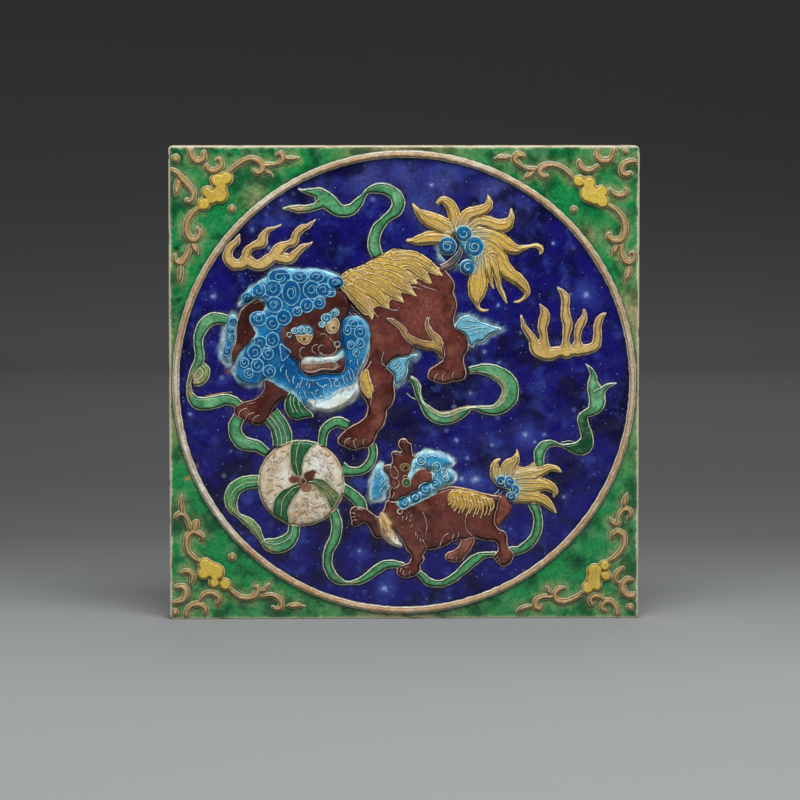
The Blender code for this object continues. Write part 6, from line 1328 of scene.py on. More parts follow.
@dataclass
class Trimmed:
    """The part of a shape that lies within another, with the first one's line."""

    shape: "Shape"
    within: "Shape"

    def reach(self) -> tuple[np.ndarray, np.ndarray]:
        """The first shape's lowest and highest corners."""
        return self.shape.reach()

    def seen(self, x: np.ndarray, z: np.ndarray) -> Seen:
        """Depth is the lesser of the two.

        Args:
            x: Places across.
            z: Places up.

        Returns:
            How the places lie to the trimmed shape.
        """
        own, limit = self.shape.seen(x, z), self.within.seen(x, z).depth
        return Seen(np.minimum(own.depth, limit), np.where(limit > 0, own.edge, FAR), own.share, own.half)


Shape = Outline | Band | Oval | Hoop | Union | Trimmed


@dataclass(frozen=True)
class Tile:
    """The slab's sizes in metres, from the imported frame."""

    width: float
    height: float
    front: float
    back: float

    @classmethod
    def from_frame(cls) -> "Tile":
        """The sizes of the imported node."""
        low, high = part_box("tile")
        return cls(high.x - low.x, high.z - low.z, low.y, high.y)

    @property
    def ground(self) -> float:
        """How far back the front's ground lies."""
        return self.front + HIGHEST

    @property
    def unit(self) -> float:
        """A hundredth of the ring's inner radius."""
        return (min(self.width, self.height) / 2 - RING_MARGIN - RING_WIDTH) / 100

    def placed(self, points: tuple) -> np.ndarray:
        """Drawn points in metres from the tile's centre."""
        return np.asarray(points, float) * self.unit

    def in_corner(self, points: tuple) -> np.ndarray:
        """Drawn points of a corner's ornament, which keeps its distance from the two sides it fills.

        Args:
            points: Rows of u and v, and a half width if any.

        Returns:
            The rows in metres.
        """
        made = self.placed(points)
        made[:, 0] += np.sign(made[:, 0].mean()) * (self.width / 2 - DRAWN_SIDE * self.unit)
        made[:, 1] += np.sign(made[:, 1].mean()) * (self.height / 2 - DRAWN_TOP * self.unit)
        return made

    def bands(self, paths: tuple, **look: bool) -> list[Band]:
        """A band along each drawn path."""
        return [Band(self.placed(path), **look) for path in paths]

    def outline(self, points: tuple) -> Outline:
        """The closed outline through drawn points."""
        return Outline(self.placed(points))

    def oval(self, u: float, v: float, half_u: float, half_v: float) -> Oval:
        """The oval about a drawn point."""
        return Oval(self.placed((u, v)), half_u * self.unit, half_v * self.unit)


class Field:
    """The front's ground, relief, lines and colours over one grid of points."""

    def __init__(self, tile: Tile) -> None:
        """Lays out the grid inside the arris, with its corner squares bent to quarter rounds: each point
        there keeps its direction from the corner's centre and takes its larger offset as its distance.

        Args:
            tile: The tile's sizes.
        """
        self.tile = tile
        self.half = np.array([tile.width / 2 - ARRIS, tile.height / 2 - ARRIS])
        counts = np.round(2 * self.half / PITCH).astype(int) + 1
        square_x, square_z = np.meshgrid(*(np.linspace(-h, h, n) for h, n in zip(self.half, counts)))
        core = self.half - CORNER_RADIUS
        out_x, out_z = np.maximum(np.abs(square_x) - core[0], 0), np.maximum(np.abs(square_z) - core[1], 0)
        scale = np.maximum(out_x, out_z) / np.maximum(np.hypot(out_x, out_z), 1e-9)
        self.x = np.sign(square_x) * (np.minimum(np.abs(square_x), core[0]) + out_x * scale)
        self.z = np.sign(square_z) * (np.minimum(np.abs(square_z), core[1]) + out_z * scale)
        # Shapes are looked up a little off their true place, as a hand draws them.
        self.drawn_x = self.x + STRAY * ripple(self.x, self.z, STRAY_LENGTH, Seed.STRAY_ACROSS)
        self.drawn_z = self.z + STRAY * ripple(self.x, self.z, STRAY_LENGTH, Seed.STRAY_UP)
        self.height, self.bead, self.bled = (np.zeros(self.x.shape) for _ in range(3))
        self.gap = np.full(self.x.shape, FAR)
        self.finish = np.full(self.x.shape, Finish.GREEN, np.int8)
        self.part = np.full(self.x.shape, Part.CORNERS, np.int8)
        self.tint = np.broadcast_to(linear(SPANDREL_GREEN), (*self.x.shape, 3)).copy()
        self.line = np.broadcast_to(linear(CREAM_LINE), (*self.x.shape, 3)).copy()
        self.laying = Part.CORNERS

    @property
    def side(self) -> np.ndarray:
        """How far each point lies from the grid's nearest side, in metres."""
        return np.minimum(self.half[0] - np.abs(self.x), self.half[1] - np.abs(self.z))

    def window(self, low: np.ndarray, high: np.ndarray, margin: float = 3 * MM) -> tuple[slice, slice]:
        """The rows and columns of the grid that hold a box.

        Args:
            low: The box's lowest corner.
            high: Its highest corner.
            margin: Room round it.

        Returns:
            The two slices.
        """
        size = np.array(self.x.shape[::-1])
        first = np.clip(np.floor((low[:2] - margin + self.half) / PITCH).astype(int), 0, size - 2)
        last = np.clip(np.ceil((high[:2] + margin + self.half) / PITCH).astype(int) + 1, first + 2, size)
        return slice(first[1], last[1]), slice(first[0], last[0])

    def lay(self, shape: Shape, coat: Coat, rise: float, laid_on: bool = False, dome: float = 0.0,
            folds: tuple = (), turned: tuple | None = None) -> None:
        """Lays a shape over what is there: the height eases to the shape's rise over SHOULDER inside its
        outline, or up to twice that where its edge is soft, plus a dome of d(2 - d) over ROUNDING, and what
        it covers loses its lines.

        Args:
            shape: The shape.
            coat: Its glaze, colours and line.
            rise: Its height above the ground, or above what it lies on.
            laid_on: Whether the rise counts from what it lies on.
            dome: The share of the rise that it gains over ROUNDING.
            folds: For a band, the signed shares of its half width that carry a line.
            turned: For a band, the lowest and highest share that show its other side, and their colour.
        """
        here = self.window(*shape.reach())
        seen = shape.seen(self.drawn_x[here], self.drawn_z[here])
        inside = seen.depth > 0
        area = eased(seen.depth / coat.soft + 0.5)
        self.bead[here] *= 1 - area
        self.bled[here] *= 1 - area
        self.gap[here] = np.where(inside, FAR, self.gap[here])
        deep = np.clip(seen.depth / ROUNDING, 0, 1)
        top = rise * (1 - dome + dome * deep * (2 - deep))
        shoulder = SHOULDER if laid_on else min(max(SHOULDER, 2 * coat.soft), 2 * SHOULDER)
        self.height[here] += eased(seen.depth / shoulder) * (top if laid_on else top - self.height[here])
        tint = linear(coat.tint)
        if coat.rim:
            inner = eased(seen.depth / coat.rim_width)[..., None]
            tint = linear(coat.rim) + inner * (tint - linear(coat.rim))
        if turned:
            low, high, other = turned
            over = eased((seen.share - low) / TURNED_EDGE) * eased((high - seen.share) / TURNED_EDGE)
            tint = tint + over[..., None] * (linear(other) - tint)
        self.tint[here] += area[..., None] * (tint - self.tint[here])
        self.finish[here][inside] = coat.finish
        self.part[here][inside] = self.laying
        if coat.line:
            self.draw(here, seen.edge, coat.line)
        else:
            self.bled[here] = np.maximum(self.bled[here], np.exp(-((seen.depth / SHOULDER) ** 2)))
        for share in folds:
            beside = np.abs(seen.share - share) * seen.half
            self.draw(here, np.where(inside & (seen.edge < FAR), beside, FAR), coat.line, FINE_LINE)

    def draw(self, here: tuple[slice, slice], gap: np.ndarray, code: str, half: float = LINE_HALF) -> None:
        """Draws a line of slip. Each point keeps its distance from the nearest line's middle, counted in
        that line's half widths, and the ridge's section is 1 - s^2 for the share s of its half width.

        Args:
            here: The window of the grid.
            gap: Metres to the line's middle.
            code: The line's colour.
            half: Its half width.
        """
        scaled = gap * LINE_HALF / half
        nearer = scaled < self.gap[here]
        self.line[here][nearer] = linear(code)
        self.gap[here] = np.minimum(self.gap[here], scaled)
        ridge = half / LINE_HALF * np.clip(1 - (scaled / RIDGE_HALF) ** 2, 0, 1)
        self.bead[here] = np.maximum(self.bead[here], ridge)

    def trace(self, points: tuple, code: str, half: float = FINE_LINE) -> None:
        """Draws an open line of slip through drawn points.

        Args:
            points: Rows of u and v.
            code: The line's colour.
            half: Its half width.
        """
        curve = curve_through(self.tile.placed(points))
        here = self.window(curve.min(0), curve.max(0), 2 * MM)
        x, z = self.drawn_x[here], self.drawn_z[here]
        gap = np.full(x.shape, FAR)
        for start, end in zip(curve, curve[1:]):
            np.minimum(gap, to_line(start, end - start, x, z), out=gap)
        self.draw(here, gap, code, half)

    def edge(self, shape: Shape, code: str) -> None:
        """Draws the line on a shape's edge again, over what has been laid on it."""
        here = self.window(*shape.reach())
        self.draw(here, shape.seen(self.drawn_x[here], self.drawn_z[here]).edge, code)

    def run(self, shape: Shape, run: Run) -> None:
        """Lets glaze run along an outline: its share falls as exp(-(d/w)^2) with the distance d from it, and
        the width w wavers. Outside the outline it shows on the ground and the corners alone.

        Args:
            shape: The shape whose outline it follows.
            run: Its colour, width and reach.
        """
        here = self.window(*shape.reach(), margin=3 * run.width)
        x, z = self.x[here], self.z[here]
        depth = shape.seen(self.drawn_x[here], self.drawn_z[here]).depth
        ragged = 1 + RAGGED * ripple(x, z, RAGGED_LENGTH, Seed.RAGGED)
        ragged = ragged + FINE_RAGGED * ripple(x, z, FINE_RAGGED_LENGTH, Seed.FINE_RAGGED)
        share = run.strength * np.exp(-((depth / (run.width * ragged)) ** 2))
        open_ground = (self.part[here] == Part.GROUND) | (self.part[here] == Part.CORNERS)
        patches = eased(PATCHED * ripple(x, z, PATCH_LENGTH, Seed.PATCHES) + PATCH_LEVEL)
        share *= 1 - run.patchy * (1 - patches)
        share *= depth > 0 if run.inside else open_ground & (depth <= 0)
        if run.beyond:
            centre = self.tile.placed(run.beyond[:2])
            away = np.hypot(x - centre[0], z - centre[1]) / (run.beyond[2] * self.tile.unit)
            share *= eased((away - FADE_START) / FADE_SPAN)
        self.tint[here] += share[..., None] * (linear(run.tint) - self.tint[here])
        self.bled[here] = np.maximum(self.bled[here], share)

    def stain(self, stain: Stain) -> None:
        """Stains round places with ragged edges: a stain's share falls as exp(-(d/r)^2) with the distance d
        from its middle. It keeps to the sub-assembly that is being laid, unless it runs over.

        Args:
            stain: The stains' colour, share and places.
        """
        for u, v, radius, *own in stain.places:
            strength = own[0] if own else stain.strength
            code = own[1] if len(own) > 1 else stain.tint
            centre, size = self.tile.placed((u, v)), radius * self.tile.unit
            here = self.window(centre - 2 * size, centre + 2 * size)
            x, z = self.x[here], self.z[here]
            ragged = 1 + STAIN_RAGGED * ripple(x, z, STAIN_LENGTH * size, Seed.STAIN)
            share = strength * np.exp(-((np.hypot(x - centre[0], z - centre[1]) * ragged / size) ** 2))
            if not stain.runs_over:
                share *= self.part[here] == self.laying
            if stain.finish is not None:
                share *= self.finish[here] == stain.finish
            self.tint[here] += share[..., None] * (linear(code) - self.tint[here])

    def settle(self) -> None:
        """Adds the lines and the unevenness of the hand-pressed clay to the relief, fades it at the arris,
        keeps it under the crown, and works out the slopes' normals, (-dh/dx, -1, -dh/dz) made unit. It also maps
        the hollows for pooled glaze and painted shade: a hollow lies as deep as the mean height round it is above
        it, counted in HOLLOW."""
        uneven = UNEVEN * ripple(self.x, self.z, UNEVEN_LENGTH, Seed.CLAY)
        uneven += FINE_UNEVEN * ripple(self.x, self.z, FINE_UNEVEN_LENGTH, Seed.FINE_CLAY)
        height = self.height + LINE_RISE * self.bead + uneven
        self.height = np.clip(height, -LOWEST, HIGHEST - CREST_ROOM) * eased(self.side / (2 * ARRIS))
        self.near = np.clip(1 - self.gap / MARK_REACH, 0, 1)
        self.beside = blurred((self.part > Part.RING).astype(float), round(BESIDE_REACH / PITCH))
        # Pooled glaze and painted shade: darker where the relief round a point stands above it
        hollow_shade = (blurred(self.height, round(HOLLOW_REACH / PITCH)) - self.height) / HOLLOW
        self.hollow_shade = np.clip(hollow_shade, 0, 1) * (1 - np.clip(CLEARED * self.bled, 0, 1))
        up, across = np.gradient(self.height, PITCH)
        normals = np.stack([-across, -np.ones_like(up), -up], axis=-1)
        self.normals = normals / np.linalg.norm(normals, axis=-1, keepdims=True)

    def piece(self, name: str, cells: np.ndarray, materials: dict) -> bpy.types.Object:
        """Cuts some cells of the grid out as a piece. A cell takes the finish of its lower left corner, and
        two pieces that meet have the same places and normals along their seam.

        Args:
            name: The piece's name.
            cells: Which cells it takes, one fewer in each direction than the points.
            materials: The material of each finish.

        Returns:
            The piece.
        """
        rows, columns = np.nonzero(cells)
        first = rows * self.x.shape[1] + columns
        quads = np.stack([first, first + 1, first + 1 + self.x.shape[1], first + self.x.shape[1]], axis=1)
        used, corners = np.unique(quads, return_inverse=True)
        places = np.stack([self.x, self.tile.ground - self.height, self.z + self.tile.height / 2], axis=-1)
        made = mesh_piece(name, places.reshape(-1, 3)[used], corners.reshape(-1, 4))
        mesh = made.data
        finishes = self.finish[rows, columns]
        slots = sorted(set(finishes.tolist()))
        for finish in slots:
            mesh.materials.append(materials[finish])
        mesh.polygons.foreach_set("material_index", np.searchsorted(slots, finishes).astype(np.int32))
        marks = np.stack([self.near, self.beside, self.hollow_shade], axis=-1)
        for label, values in (("tint", self.tint), ("line", self.line), ("marks", marks)):
            rgba = np.ones((len(used), 4), np.float32)
            rgba[:, :3] = values.reshape(-1, 3)[used]
            mesh.attributes.new(label, "FLOAT_COLOR", "POINT").data.foreach_set("color", rgba.ravel())
        mesh.normals_split_custom_set_from_vertices(self.normals.reshape(-1, 3)[used])
        return made


def mesh_piece(name: str, places: np.ndarray, quads: np.ndarray) -> bpy.types.Object:
    """Puts points and quads into a smooth mesh with a flat map seen from the front.

    Args:
        name: The object's name.
        places: Rows of x, y and z.
        quads: Rows of four point numbers, turning to face outwards.

    Returns:
        The object, linked to the scene.
    """
    mesh = bpy.data.meshes.new(name)
    mesh.vertices.add(len(places))
    mesh.vertices.foreach_set("co", places.astype(np.float32).ravel())
    mesh.loops.add(quads.size)
    mesh.loops.foreach_set("vertex_index", quads.astype(np.int32).ravel())
    mesh.polygons.add(len(quads))
    mesh.polygons.foreach_set("loop_start", np.arange(0, quads.size, 4, dtype=np.int32))
    mesh.update(calc_edges=True)
    mesh.polygons.foreach_set("use_smooth", np.ones(len(quads), bool))
    low, high = places.min(0), places.max(0)
    spread = ((places - low) / np.maximum(high - low, 1e-6))[:, [0, 2]]
    mesh.uv_layers.new(name="OFBake").data.foreach_set("uv", spread[quads.ravel()].astype(np.float32).ravel())
    made = bpy.data.objects.new(name, mesh)
    bpy.context.scene.collection.objects.link(made)
    return made


def carried(piece: bpy.types.Object) -> bpy.types.Object:
    """Fastens a piece to the tile's body, with its finish and in place of the plain solid.

    Args:
        piece: The piece.

    Returns:
        The same piece.
    """
    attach(piece, "root")
    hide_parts("tile")
    return piece


def spiral(u: float, v: float, half_u: float, half_v: float, start: float, turns: float) -> list:
    """Drawn points of a curl's inner line, whose share of the way out falls evenly as it turns.

    Args:
        u: The curl's place across.
        v: Its place up.
        half_u: Its half width.
        half_v: Its half height.
        start: Where the line starts, in radians.
        turns: How many times it goes round, negative clockwise.

    Returns:
        Rows of u and v.
    """
    share = np.linspace(0, 1, max(5, round(abs(turns) * POINTS_A_TURN)))
    out, turn = SPIRAL_START - SPIRAL_FALL * share, start + share * turns * math.tau
    return [(u + half_u * o * math.cos(t), v + half_v * o * math.sin(t)) for o, t in zip(out, turn)]


def hooped(u: float, v: float, radius: float) -> list:
    """Drawn points of a small closed ring, which starts and ends where it shows least."""
    return [(u + radius * math.cos(t), v + radius * math.sin(t))
            for t in np.linspace(0.4, 0.4 + math.tau, POINTS_A_TURN)]


@dataclass(frozen=True)
class Moulding:
    """A sub-assembly of the front: lays its shapes on the field, and is cut out of it as pieces."""

    name: str
    part: Part
    quarters: bool = False  # whether it is cut into four pieces along the tile's middle lines

    def lay(self, field: Field) -> None:
        """Lays its shapes, from the ground up."""
        raise NotImplementedError

    def outlines(self, field: Field, outlines: tuple, coat: Coat, rise: float, **look: object) -> None:
        """Lays a shape inside each drawn outline, in one coat and to one height."""
        for points in outlines:
            field.lay(field.tile.outline(points), coat, rise, **look)

    def locks(self, field: Field, paths: tuple, coat: Coat, rise: float, **look: object) -> None:
        """Lays a lock of hair along each drawn path, in one coat and to one height."""
        for band in field.tile.bands(paths, capped=True):
            field.lay(band, coat, rise, **look)

    def curls(self, field: Field, ovals: tuple, coat: Coat, rise: float, **look: bool) -> None:
        """Lays curls of hair, each an oval with a line turning in.

        Args:
            field: The front.
            ovals: Rows of u, v and the two half sizes.
            coat: Their glaze and line.
            rise: Their height.
            look: How they lie on what is below.
        """
        chance = np.random.default_rng(len(ovals))
        for u, v, half_u, half_v in ovals:
            field.lay(field.tile.oval(u, v, half_u, half_v), coat, rise, **look)
            turns = (BROAD_CURL_TURNS if half_u > BROAD_CURL else CURL_TURNS) * (1 if chance.random() > 0.5 else -1)
            field.trace(spiral(u, v, half_u, half_v, chance.uniform(0, math.tau), turns), coat.line)

    def lines(self, field: Field, paths: tuple, code: str, half: float = FINE_LINE) -> None:
        """Draws an open line of slip along each drawn path, in one colour and one half width."""
        for path in paths:
            field.trace(path, code, half)

    def rings(self, field: Field, circles: tuple, code: str) -> None:
        """Draws a small closed line of slip round each row of u, v and radius."""
        self.lines(field, [hooped(*circle) for circle in circles], code)

    def pupils(self, field: Field, circles: tuple) -> None:
        """Lays a round drop of dark glaze at each row of u, v and radius."""
        for u, v, radius in circles:
            field.lay(field.tile.oval(u, v, radius, radius), PUPIL, SMALL_RISE, laid_on=True)

    def pieces(self, field: Field, materials: dict) -> list[bpy.types.Object]:
        """Cuts its cells out of the field.

        Args:
            field: The settled front.
            materials: The material of each finish.

        Returns:
            Its pieces.
        """
        cells = field.part[:-1, :-1] == self.part
        if not self.quarters:
            return [carried(field.piece(self.name, cells, materials))]
        made = []
        for label, right, upper in (("ll", 0, 0), ("lr", 1, 0), ("ul", 0, 1), ("ur", 1, 1)):
            side = (field.x[:-1, :-1] > 0) == right
            quarter = cells & side & ((field.z[:-1, :-1] > 0) == upper)
            made.append(carried(field.piece(f"{self.name}_{label}", quarter, materials)))
        return made


@dataclass(frozen=True)
class Corners(Moulding):
    """The green corners outside the ring, each with tan scrolls, a yellow knot and two studs."""

    name: str = "corner"
    part: Part = Part.CORNERS
    quarters: bool = True
    scroll_rise: float = 1.8 * MM
    knot_rise: float = 2.1 * MM
    worn: float = 0.85  # how much of the glaze is worn off at the arris
    wear_share_at_shaded_foot: float = 0.35  # the share of that at the tile's foot, kept low as painted shade along the foot
    worn_reach: float = 0.6 * MM
    worn_ragged: float = 0.4
    worn_length: float = 4 * MM
    foot: float = 3 * MM

    def lay(self, field: Field) -> None:
        """Washes tan round the scrolls, lays scrolls, knots and studs, and wears the arris, less at the foot where
        shade is painted.

        Args:
            field: The front.
        """
        tile = field.tile
        for scrolls, knots, studs in CORNER_ORNAMENTS:
            scroll = Union([Band(tile.in_corner(path), capped=True) for path in scrolls])
            field.run(scroll, SCROLL_RUN)
            field.lay(scroll, SCROLL, self.scroll_rise)
            lobes = [Oval(row[:2], row[2], row[2]) for row in tile.in_corner(knots)]
            field.lay(Union(lobes, melt=KNOT_MELT), KNOT, self.knot_rise)
            for row in tile.in_corner(studs):
                field.lay(Oval(row[:2], row[2], row[2]), SCROLL, self.scroll_rise)
        self.wear(field)
        field.stain(TAN_WASHES)
        field.stain(PITS)

    def wear(self, field: Field) -> None:
        """Bares the clay along the arris: its share falls as exp(-(d/w)^2) with the distance d from it, and
        eases down at the foot to a small share of that, which leaves the foot's edge darker as painted shade.

        Args:
            field: The front.
        """
        side = field.side * (1 + self.worn_ragged * ripple(field.x, field.z, self.worn_length, Seed.WEAR))
        # Wear, eased down near the foot as painted shade that keeps the bottom edge dark
        low = eased((field.z + field.half[1]) / self.foot)
        bare = self.worn * (self.wear_share_at_shaded_foot + (1 - self.wear_share_at_shaded_foot) * low) * np.exp(-((side / self.worn_reach) ** 2))
        field.tint += bare[..., None] * (linear(BARE_ARRIS) - field.tint)


@dataclass(frozen=True)
class Ground(Moulding):
    """The deep blue ground of the medallion, with paler clouds and a painted sheen near its top."""

    name: str = "ground"
    part: Part = Part.GROUND
    quarters: bool = True
    reach: float = 101.0  # drawn radius of its disc, which runs under the ring

    def lay(self, field: Field) -> None:
        """Colours the disc inside the ring, with its clouds, its painted sheen, slivers and blooms.

        Args:
            field: The front.
        """
        inside = np.hypot(field.x, field.z) < self.reach * field.tile.unit
        field.part[inside] = Part.GROUND
        field.finish[inside] = Finish.COBALT
        field.tint[inside] = linear(COBALT)
        # Clouds and smudges, and the painted sheen near the top
        for stain in GROUND_CLOUDS_AND_SHEEN:
            field.stain(stain)
        self.lines(field, TAN_SLIVERS, SLIVER_TAN)
        self.lines(field, PALE_SLIVERS, GREEN_LINE)
        field.stain(BLOOMS)


@dataclass(frozen=True)
class Ring(Moulding):
    """The raised tan ring with a line of slip on each edge."""

    name: str = "ring"
    part: Part = Part.RING
    rise: float = 2.1 * MM
    rim: float = 103.0  # drawn radius of its outer edge

    def lay(self, field: Field) -> None:
        """Lays the ring, its pale rim, and its worn stretches and drips.

        Args:
            field: The front.
        """
        half = RING_WIDTH / 2
        field.lay(Hoop(100 * field.tile.unit + half, half), RING_SLIP, self.rise)
        field.run(field.tile.oval(0, 0, self.rim, self.rim), RING_RUN)
        field.stain(RING_WEAR)
        field.stain(RING_DRIPS)


@dataclass(frozen=True)
class Flames(Moulding):
    """The two yellow flames."""

    name: str = "flames"
    part: Part = Part.FLAMES
    rise: float = 1.8 * MM

    def lay(self, field: Field) -> None:
        """Lays each flame as one shape of several tongues.

        Args:
            field: The front.
        """
        for tongues in (LEFT_FLAME, RIGHT_FLAME):
            field.lay(Union(field.tile.bands(tongues, capped=True)), FLAME, self.rise)


@dataclass(frozen=True)
class Ribbons(Moulding):
    """The green ribbons that wind round the figures."""

    name: str = "ribbons"
    part: Part = Part.RIBBONS
    rise: float = 1.6 * MM

    def lay(self, field: Field) -> None:
        """Lays the left knot and each ribbon, those with folds with their inner lines.

        Args:
            field: The front.
        """
        field.lay(field.tile.oval(*KNOT_OVAL), KNOT_MIDDLE, 0.7 * self.rise)
        for name, path in RIBBONS.items():
            field.lay(Band(field.tile.placed(path)), RIBBON, self.rise, folds=RIBBON_FOLDS.get(name, ()),
                      turned=RIBBON_TURNS.get(name))
        for stain in RIBBON_STAINS:
            field.stain(stain)


@dataclass(frozen=True)
class GreatLion(Moulding):
    """The great lion: brown, with a turquoise curled mane, a yellow back mane and a yellow tail."""

    name: str = "great_lion"
    part: Part = Part.LION
    tail_rise: float = 2.2 * MM
    fin_rise: float = 1.8 * MM
    body_rise: float = 2.5 * MM
    back_rise: float = 2.7 * MM
    head_rise: float = 2.8 * MM
    mane_rise: float = 2.9 * MM
    lock_rise: float = 0.7 * MM
    curl_rise: float = 0.5 * MM
    detail_rise: float = 0.4 * MM
    dome: float = 0.3
    broad_lock: float = 2.2  # drawn half width from which a tail lock carries two lines

    def lay(self, field: Field) -> None:
        """Lays tail, body and head in that order.

        Args:
            field: The front.
        """
        self.tail(field)
        self.body(field)
        self.head(field)

    def tail(self, field: Field) -> None:
        """The tail: yellow locks from a turquoise heart with four curls.

        Args:
            field: The front.
        """
        tile = field.tile
        field.run(tile.oval(*TAIL_GLOW), TAIL_RUN)
        field.lay(Band(tile.placed(TAIL_STEM)), TAIL_BROWN, self.tail_rise)
        field.lay(tile.outline(TAIL_FAN), TAIL_HEART, 0.8 * self.tail_rise)
        for path in TAIL_LOCKS:
            broad = max(half for _, _, half in path) > self.broad_lock
            self.locks(field, (path,), YELLOW_LOCK, self.tail_rise, folds=(-0.4, 0.4) if broad else (0.0,))
        field.stain(TAIL_STAINS)
        self.lines(field, TAIL_LINES, PINK_LINE)
        self.curls(field, TAIL_CURLS, DEEP_CURL, self.tail_rise + self.curl_rise)

    def body(self, field: Field) -> None:
        """Fins, trunk, hind legs, back mane, the near foreleg and the cloth.

        Args:
            field: The front.
        """
        tile = field.tile
        for points in (FRONT_FIN, HIND_FIN):
            field.run(tile.outline(points), FIN_RUN)
            field.lay(tile.outline(points), FIN, self.fin_rise)
        self.lines(field, FRONT_FIN_LINES + HIND_FIN_LINES, BLUE_LINE)
        field.lay(tile.outline(LION_BODY), BROWN, self.body_rise, dome=self.dome)
        self.locks(field, BELLY_LOCKS, DULL_LOCK, self.lock_rise, laid_on=True)
        field.stain(BELLY_STAIN)
        field.lay(tile.outline(ELBOW_TUFT), YELLOW_LOCK, self.detail_rise, laid_on=True)
        back = tile.outline(BACK_MANE)
        field.lay(back, BACK_YELLOW, self.back_rise)
        for shift in BACK_ROWS:
            for path in BACK_LOCKS:
                lock = Band(tile.placed(np.add(path, (*shift, 0))), capped=True)
                field.lay(Trimmed(lock, back), YELLOW_LOCK, 0.3 * self.lock_rise, laid_on=True, folds=(-0.4, 0.2))
        self.locks(field, BACK_LOCKS, YELLOW_LOCK, self.lock_rise, laid_on=True, folds=(-0.55, -0.1, 0.35))
        # The haunch's painted highlight
        field.stain(HAUNCH_HIGHLIGHT)
        self.lines(field, LION_LINES, PINK_LINE)
        field.lay(tile.outline(NEAR_FORELEG), FORELEG_BROWN, self.body_rise, dome=self.dome)
        self.lines(field, FORELEG_LINES, PINK_LINE)
        field.lay(tile.outline(CLOTH), CLOTH_GREEN, self.body_rise)
        self.lines(field, PLEATS_LINES, GREEN_LINE)

    def head(self, field: Field) -> None:
        """Mane, ear, face, beard and curls.

        Args:
            field: The front.
        """
        tile = field.tile
        far, near_mane = tile.outline(FAR_MANE), tile.outline(MANE)
        for shape in (near_mane, tile.outline(BEARD_TIP)):
            field.run(shape, MANE_RUN)
        field.run(far, FAR_MANE_RUN)
        field.lay(far, MANE_BLUE, self.mane_rise)
        field.run(far, FAR_MANE_RIM)
        self.curls(field, FAR_MANE_CURLS, CURL, self.curl_rise, laid_on=True)
        field.lay(tile.outline(EAR), EAR_BROWN, self.body_rise)
        field.lay(tile.outline(LION_HEAD), FACE_BROWN, self.head_rise, dome=self.dome)
        field.lay(near_mane, MANE_BLUE, self.mane_rise)
        for run in MANE_RIMS:
            field.run(near_mane, run)
        field.stain(MANE_LIGHT)
        field.stain(MANE_DEEP)
        self.face(field)
        self.curls(field, MANE_CURLS, CURL, self.curl_rise, laid_on=True)
        self.rings(field, LION_RINGS, BLUE_LINE)
        self.pupils(field, LION_PUPILS)

    def face(self, field: Field) -> None:
        """Beard, cheek, brows, eyes and mouth.

        Args:
            field: The front.
        """
        field.lay(field.tile.outline(BEARD_TIP), BEARD_WHITE, self.mane_rise)
        field.stain(BEARD_STAINS)
        self.outlines(field, (CHEEK_LEAF,), CURL, self.detail_rise, laid_on=True)
        self.outlines(field, BROWS, BROW, 0.3 * self.detail_rise, laid_on=True)
        self.curls(field, BROW_CURLS, BROW_CURL, 0.7 * self.detail_rise, laid_on=True)
        self.outlines(field, EYES, EYE_SLIP, self.detail_rise, laid_on=True)
        self.outlines(field, (MOUTH,), MOUTH_SLIP, self.detail_rise, laid_on=True)
        self.outlines(field, (UPPER_LIP,), LIP_WHITE, self.detail_rise, laid_on=True)
        field.stain(LIP_STAINS)
        self.lines(field, FACE_LINES, FACE_LINE)
        self.lines(field, BEARD_LINES, BLUE_LINE)


@dataclass(frozen=True)
class Ball(Moulding):
    """The ribboned ball: white gores with short raised strokes between three green bands."""

    name: str = "ball"
    part: Part = Part.BALL
    rise: float = 2.7 * MM
    dome: float = 0.5
    band_rise: float = 0.2 * MM
    strokes: int = 150
    stroke_half: float = 0.9  # drawn half length of a stroke
    stroke_bend: float = 0.25
    dark: float = 0.35  # the share of strokes that are dark

    def lay(self, field: Field) -> None:
        """Lays the dome, its strokes, its bands and its hub, and draws its edge again over them.

        Args:
            field: The front.
        """
        disc = field.tile.oval(*BALL, BALL[2])
        field.lay(disc, GORE, self.rise, dome=self.dome)
        field.stain(BALL_STAINS)
        self.stroke(field)
        self.outlines(field, BALL_BANDS, BALL_BAND, self.band_rise, laid_on=True)
        field.stain(BAND_STAIN)
        self.lines(field, BALL_LINES, BALL_LINE)
        for u, v, size, code in HUB_LOBES:
            lobe = Coat(Finish.AUBERGINE, code, soft=HUB_SOFT)
            field.lay(field.tile.oval(u, v, size, 0.72 * size), lobe, SMALL_RISE, laid_on=True)
        self.rings(field, (BALL_HUB,), HUB_LINE)
        field.edge(disc, BALL_EDGE)

    def stroke(self, field: Field) -> None:
        """Scatters short bent strokes over the dome from 0.12 to 0.92 of the way out, evenly by area, each
        leaning its own way.

        Args:
            field: The front.
        """
        u, v, radius = BALL
        chance = np.random.default_rng(Seed.STROKES)
        for out, turn, lean in zip(*(chance.uniform(0, 1, self.strokes) for _ in range(3))):
            out, turn, lean = radius * (0.12 + 0.8 * math.sqrt(out)), turn * math.tau, turn * 9 + lean * 2.4
            start = np.array([u + out * math.cos(turn), v + out * math.sin(turn)])
            along = np.array([math.cos(lean), math.sin(lean)]) * self.stroke_half
            aside = np.array([-along[1], along[0]]) * self.stroke_bend
            code = BALL_STROKE if lean % 1 > self.dark else BALL_DARK_STROKE
            field.trace([start - along, start + aside, start + along], code)


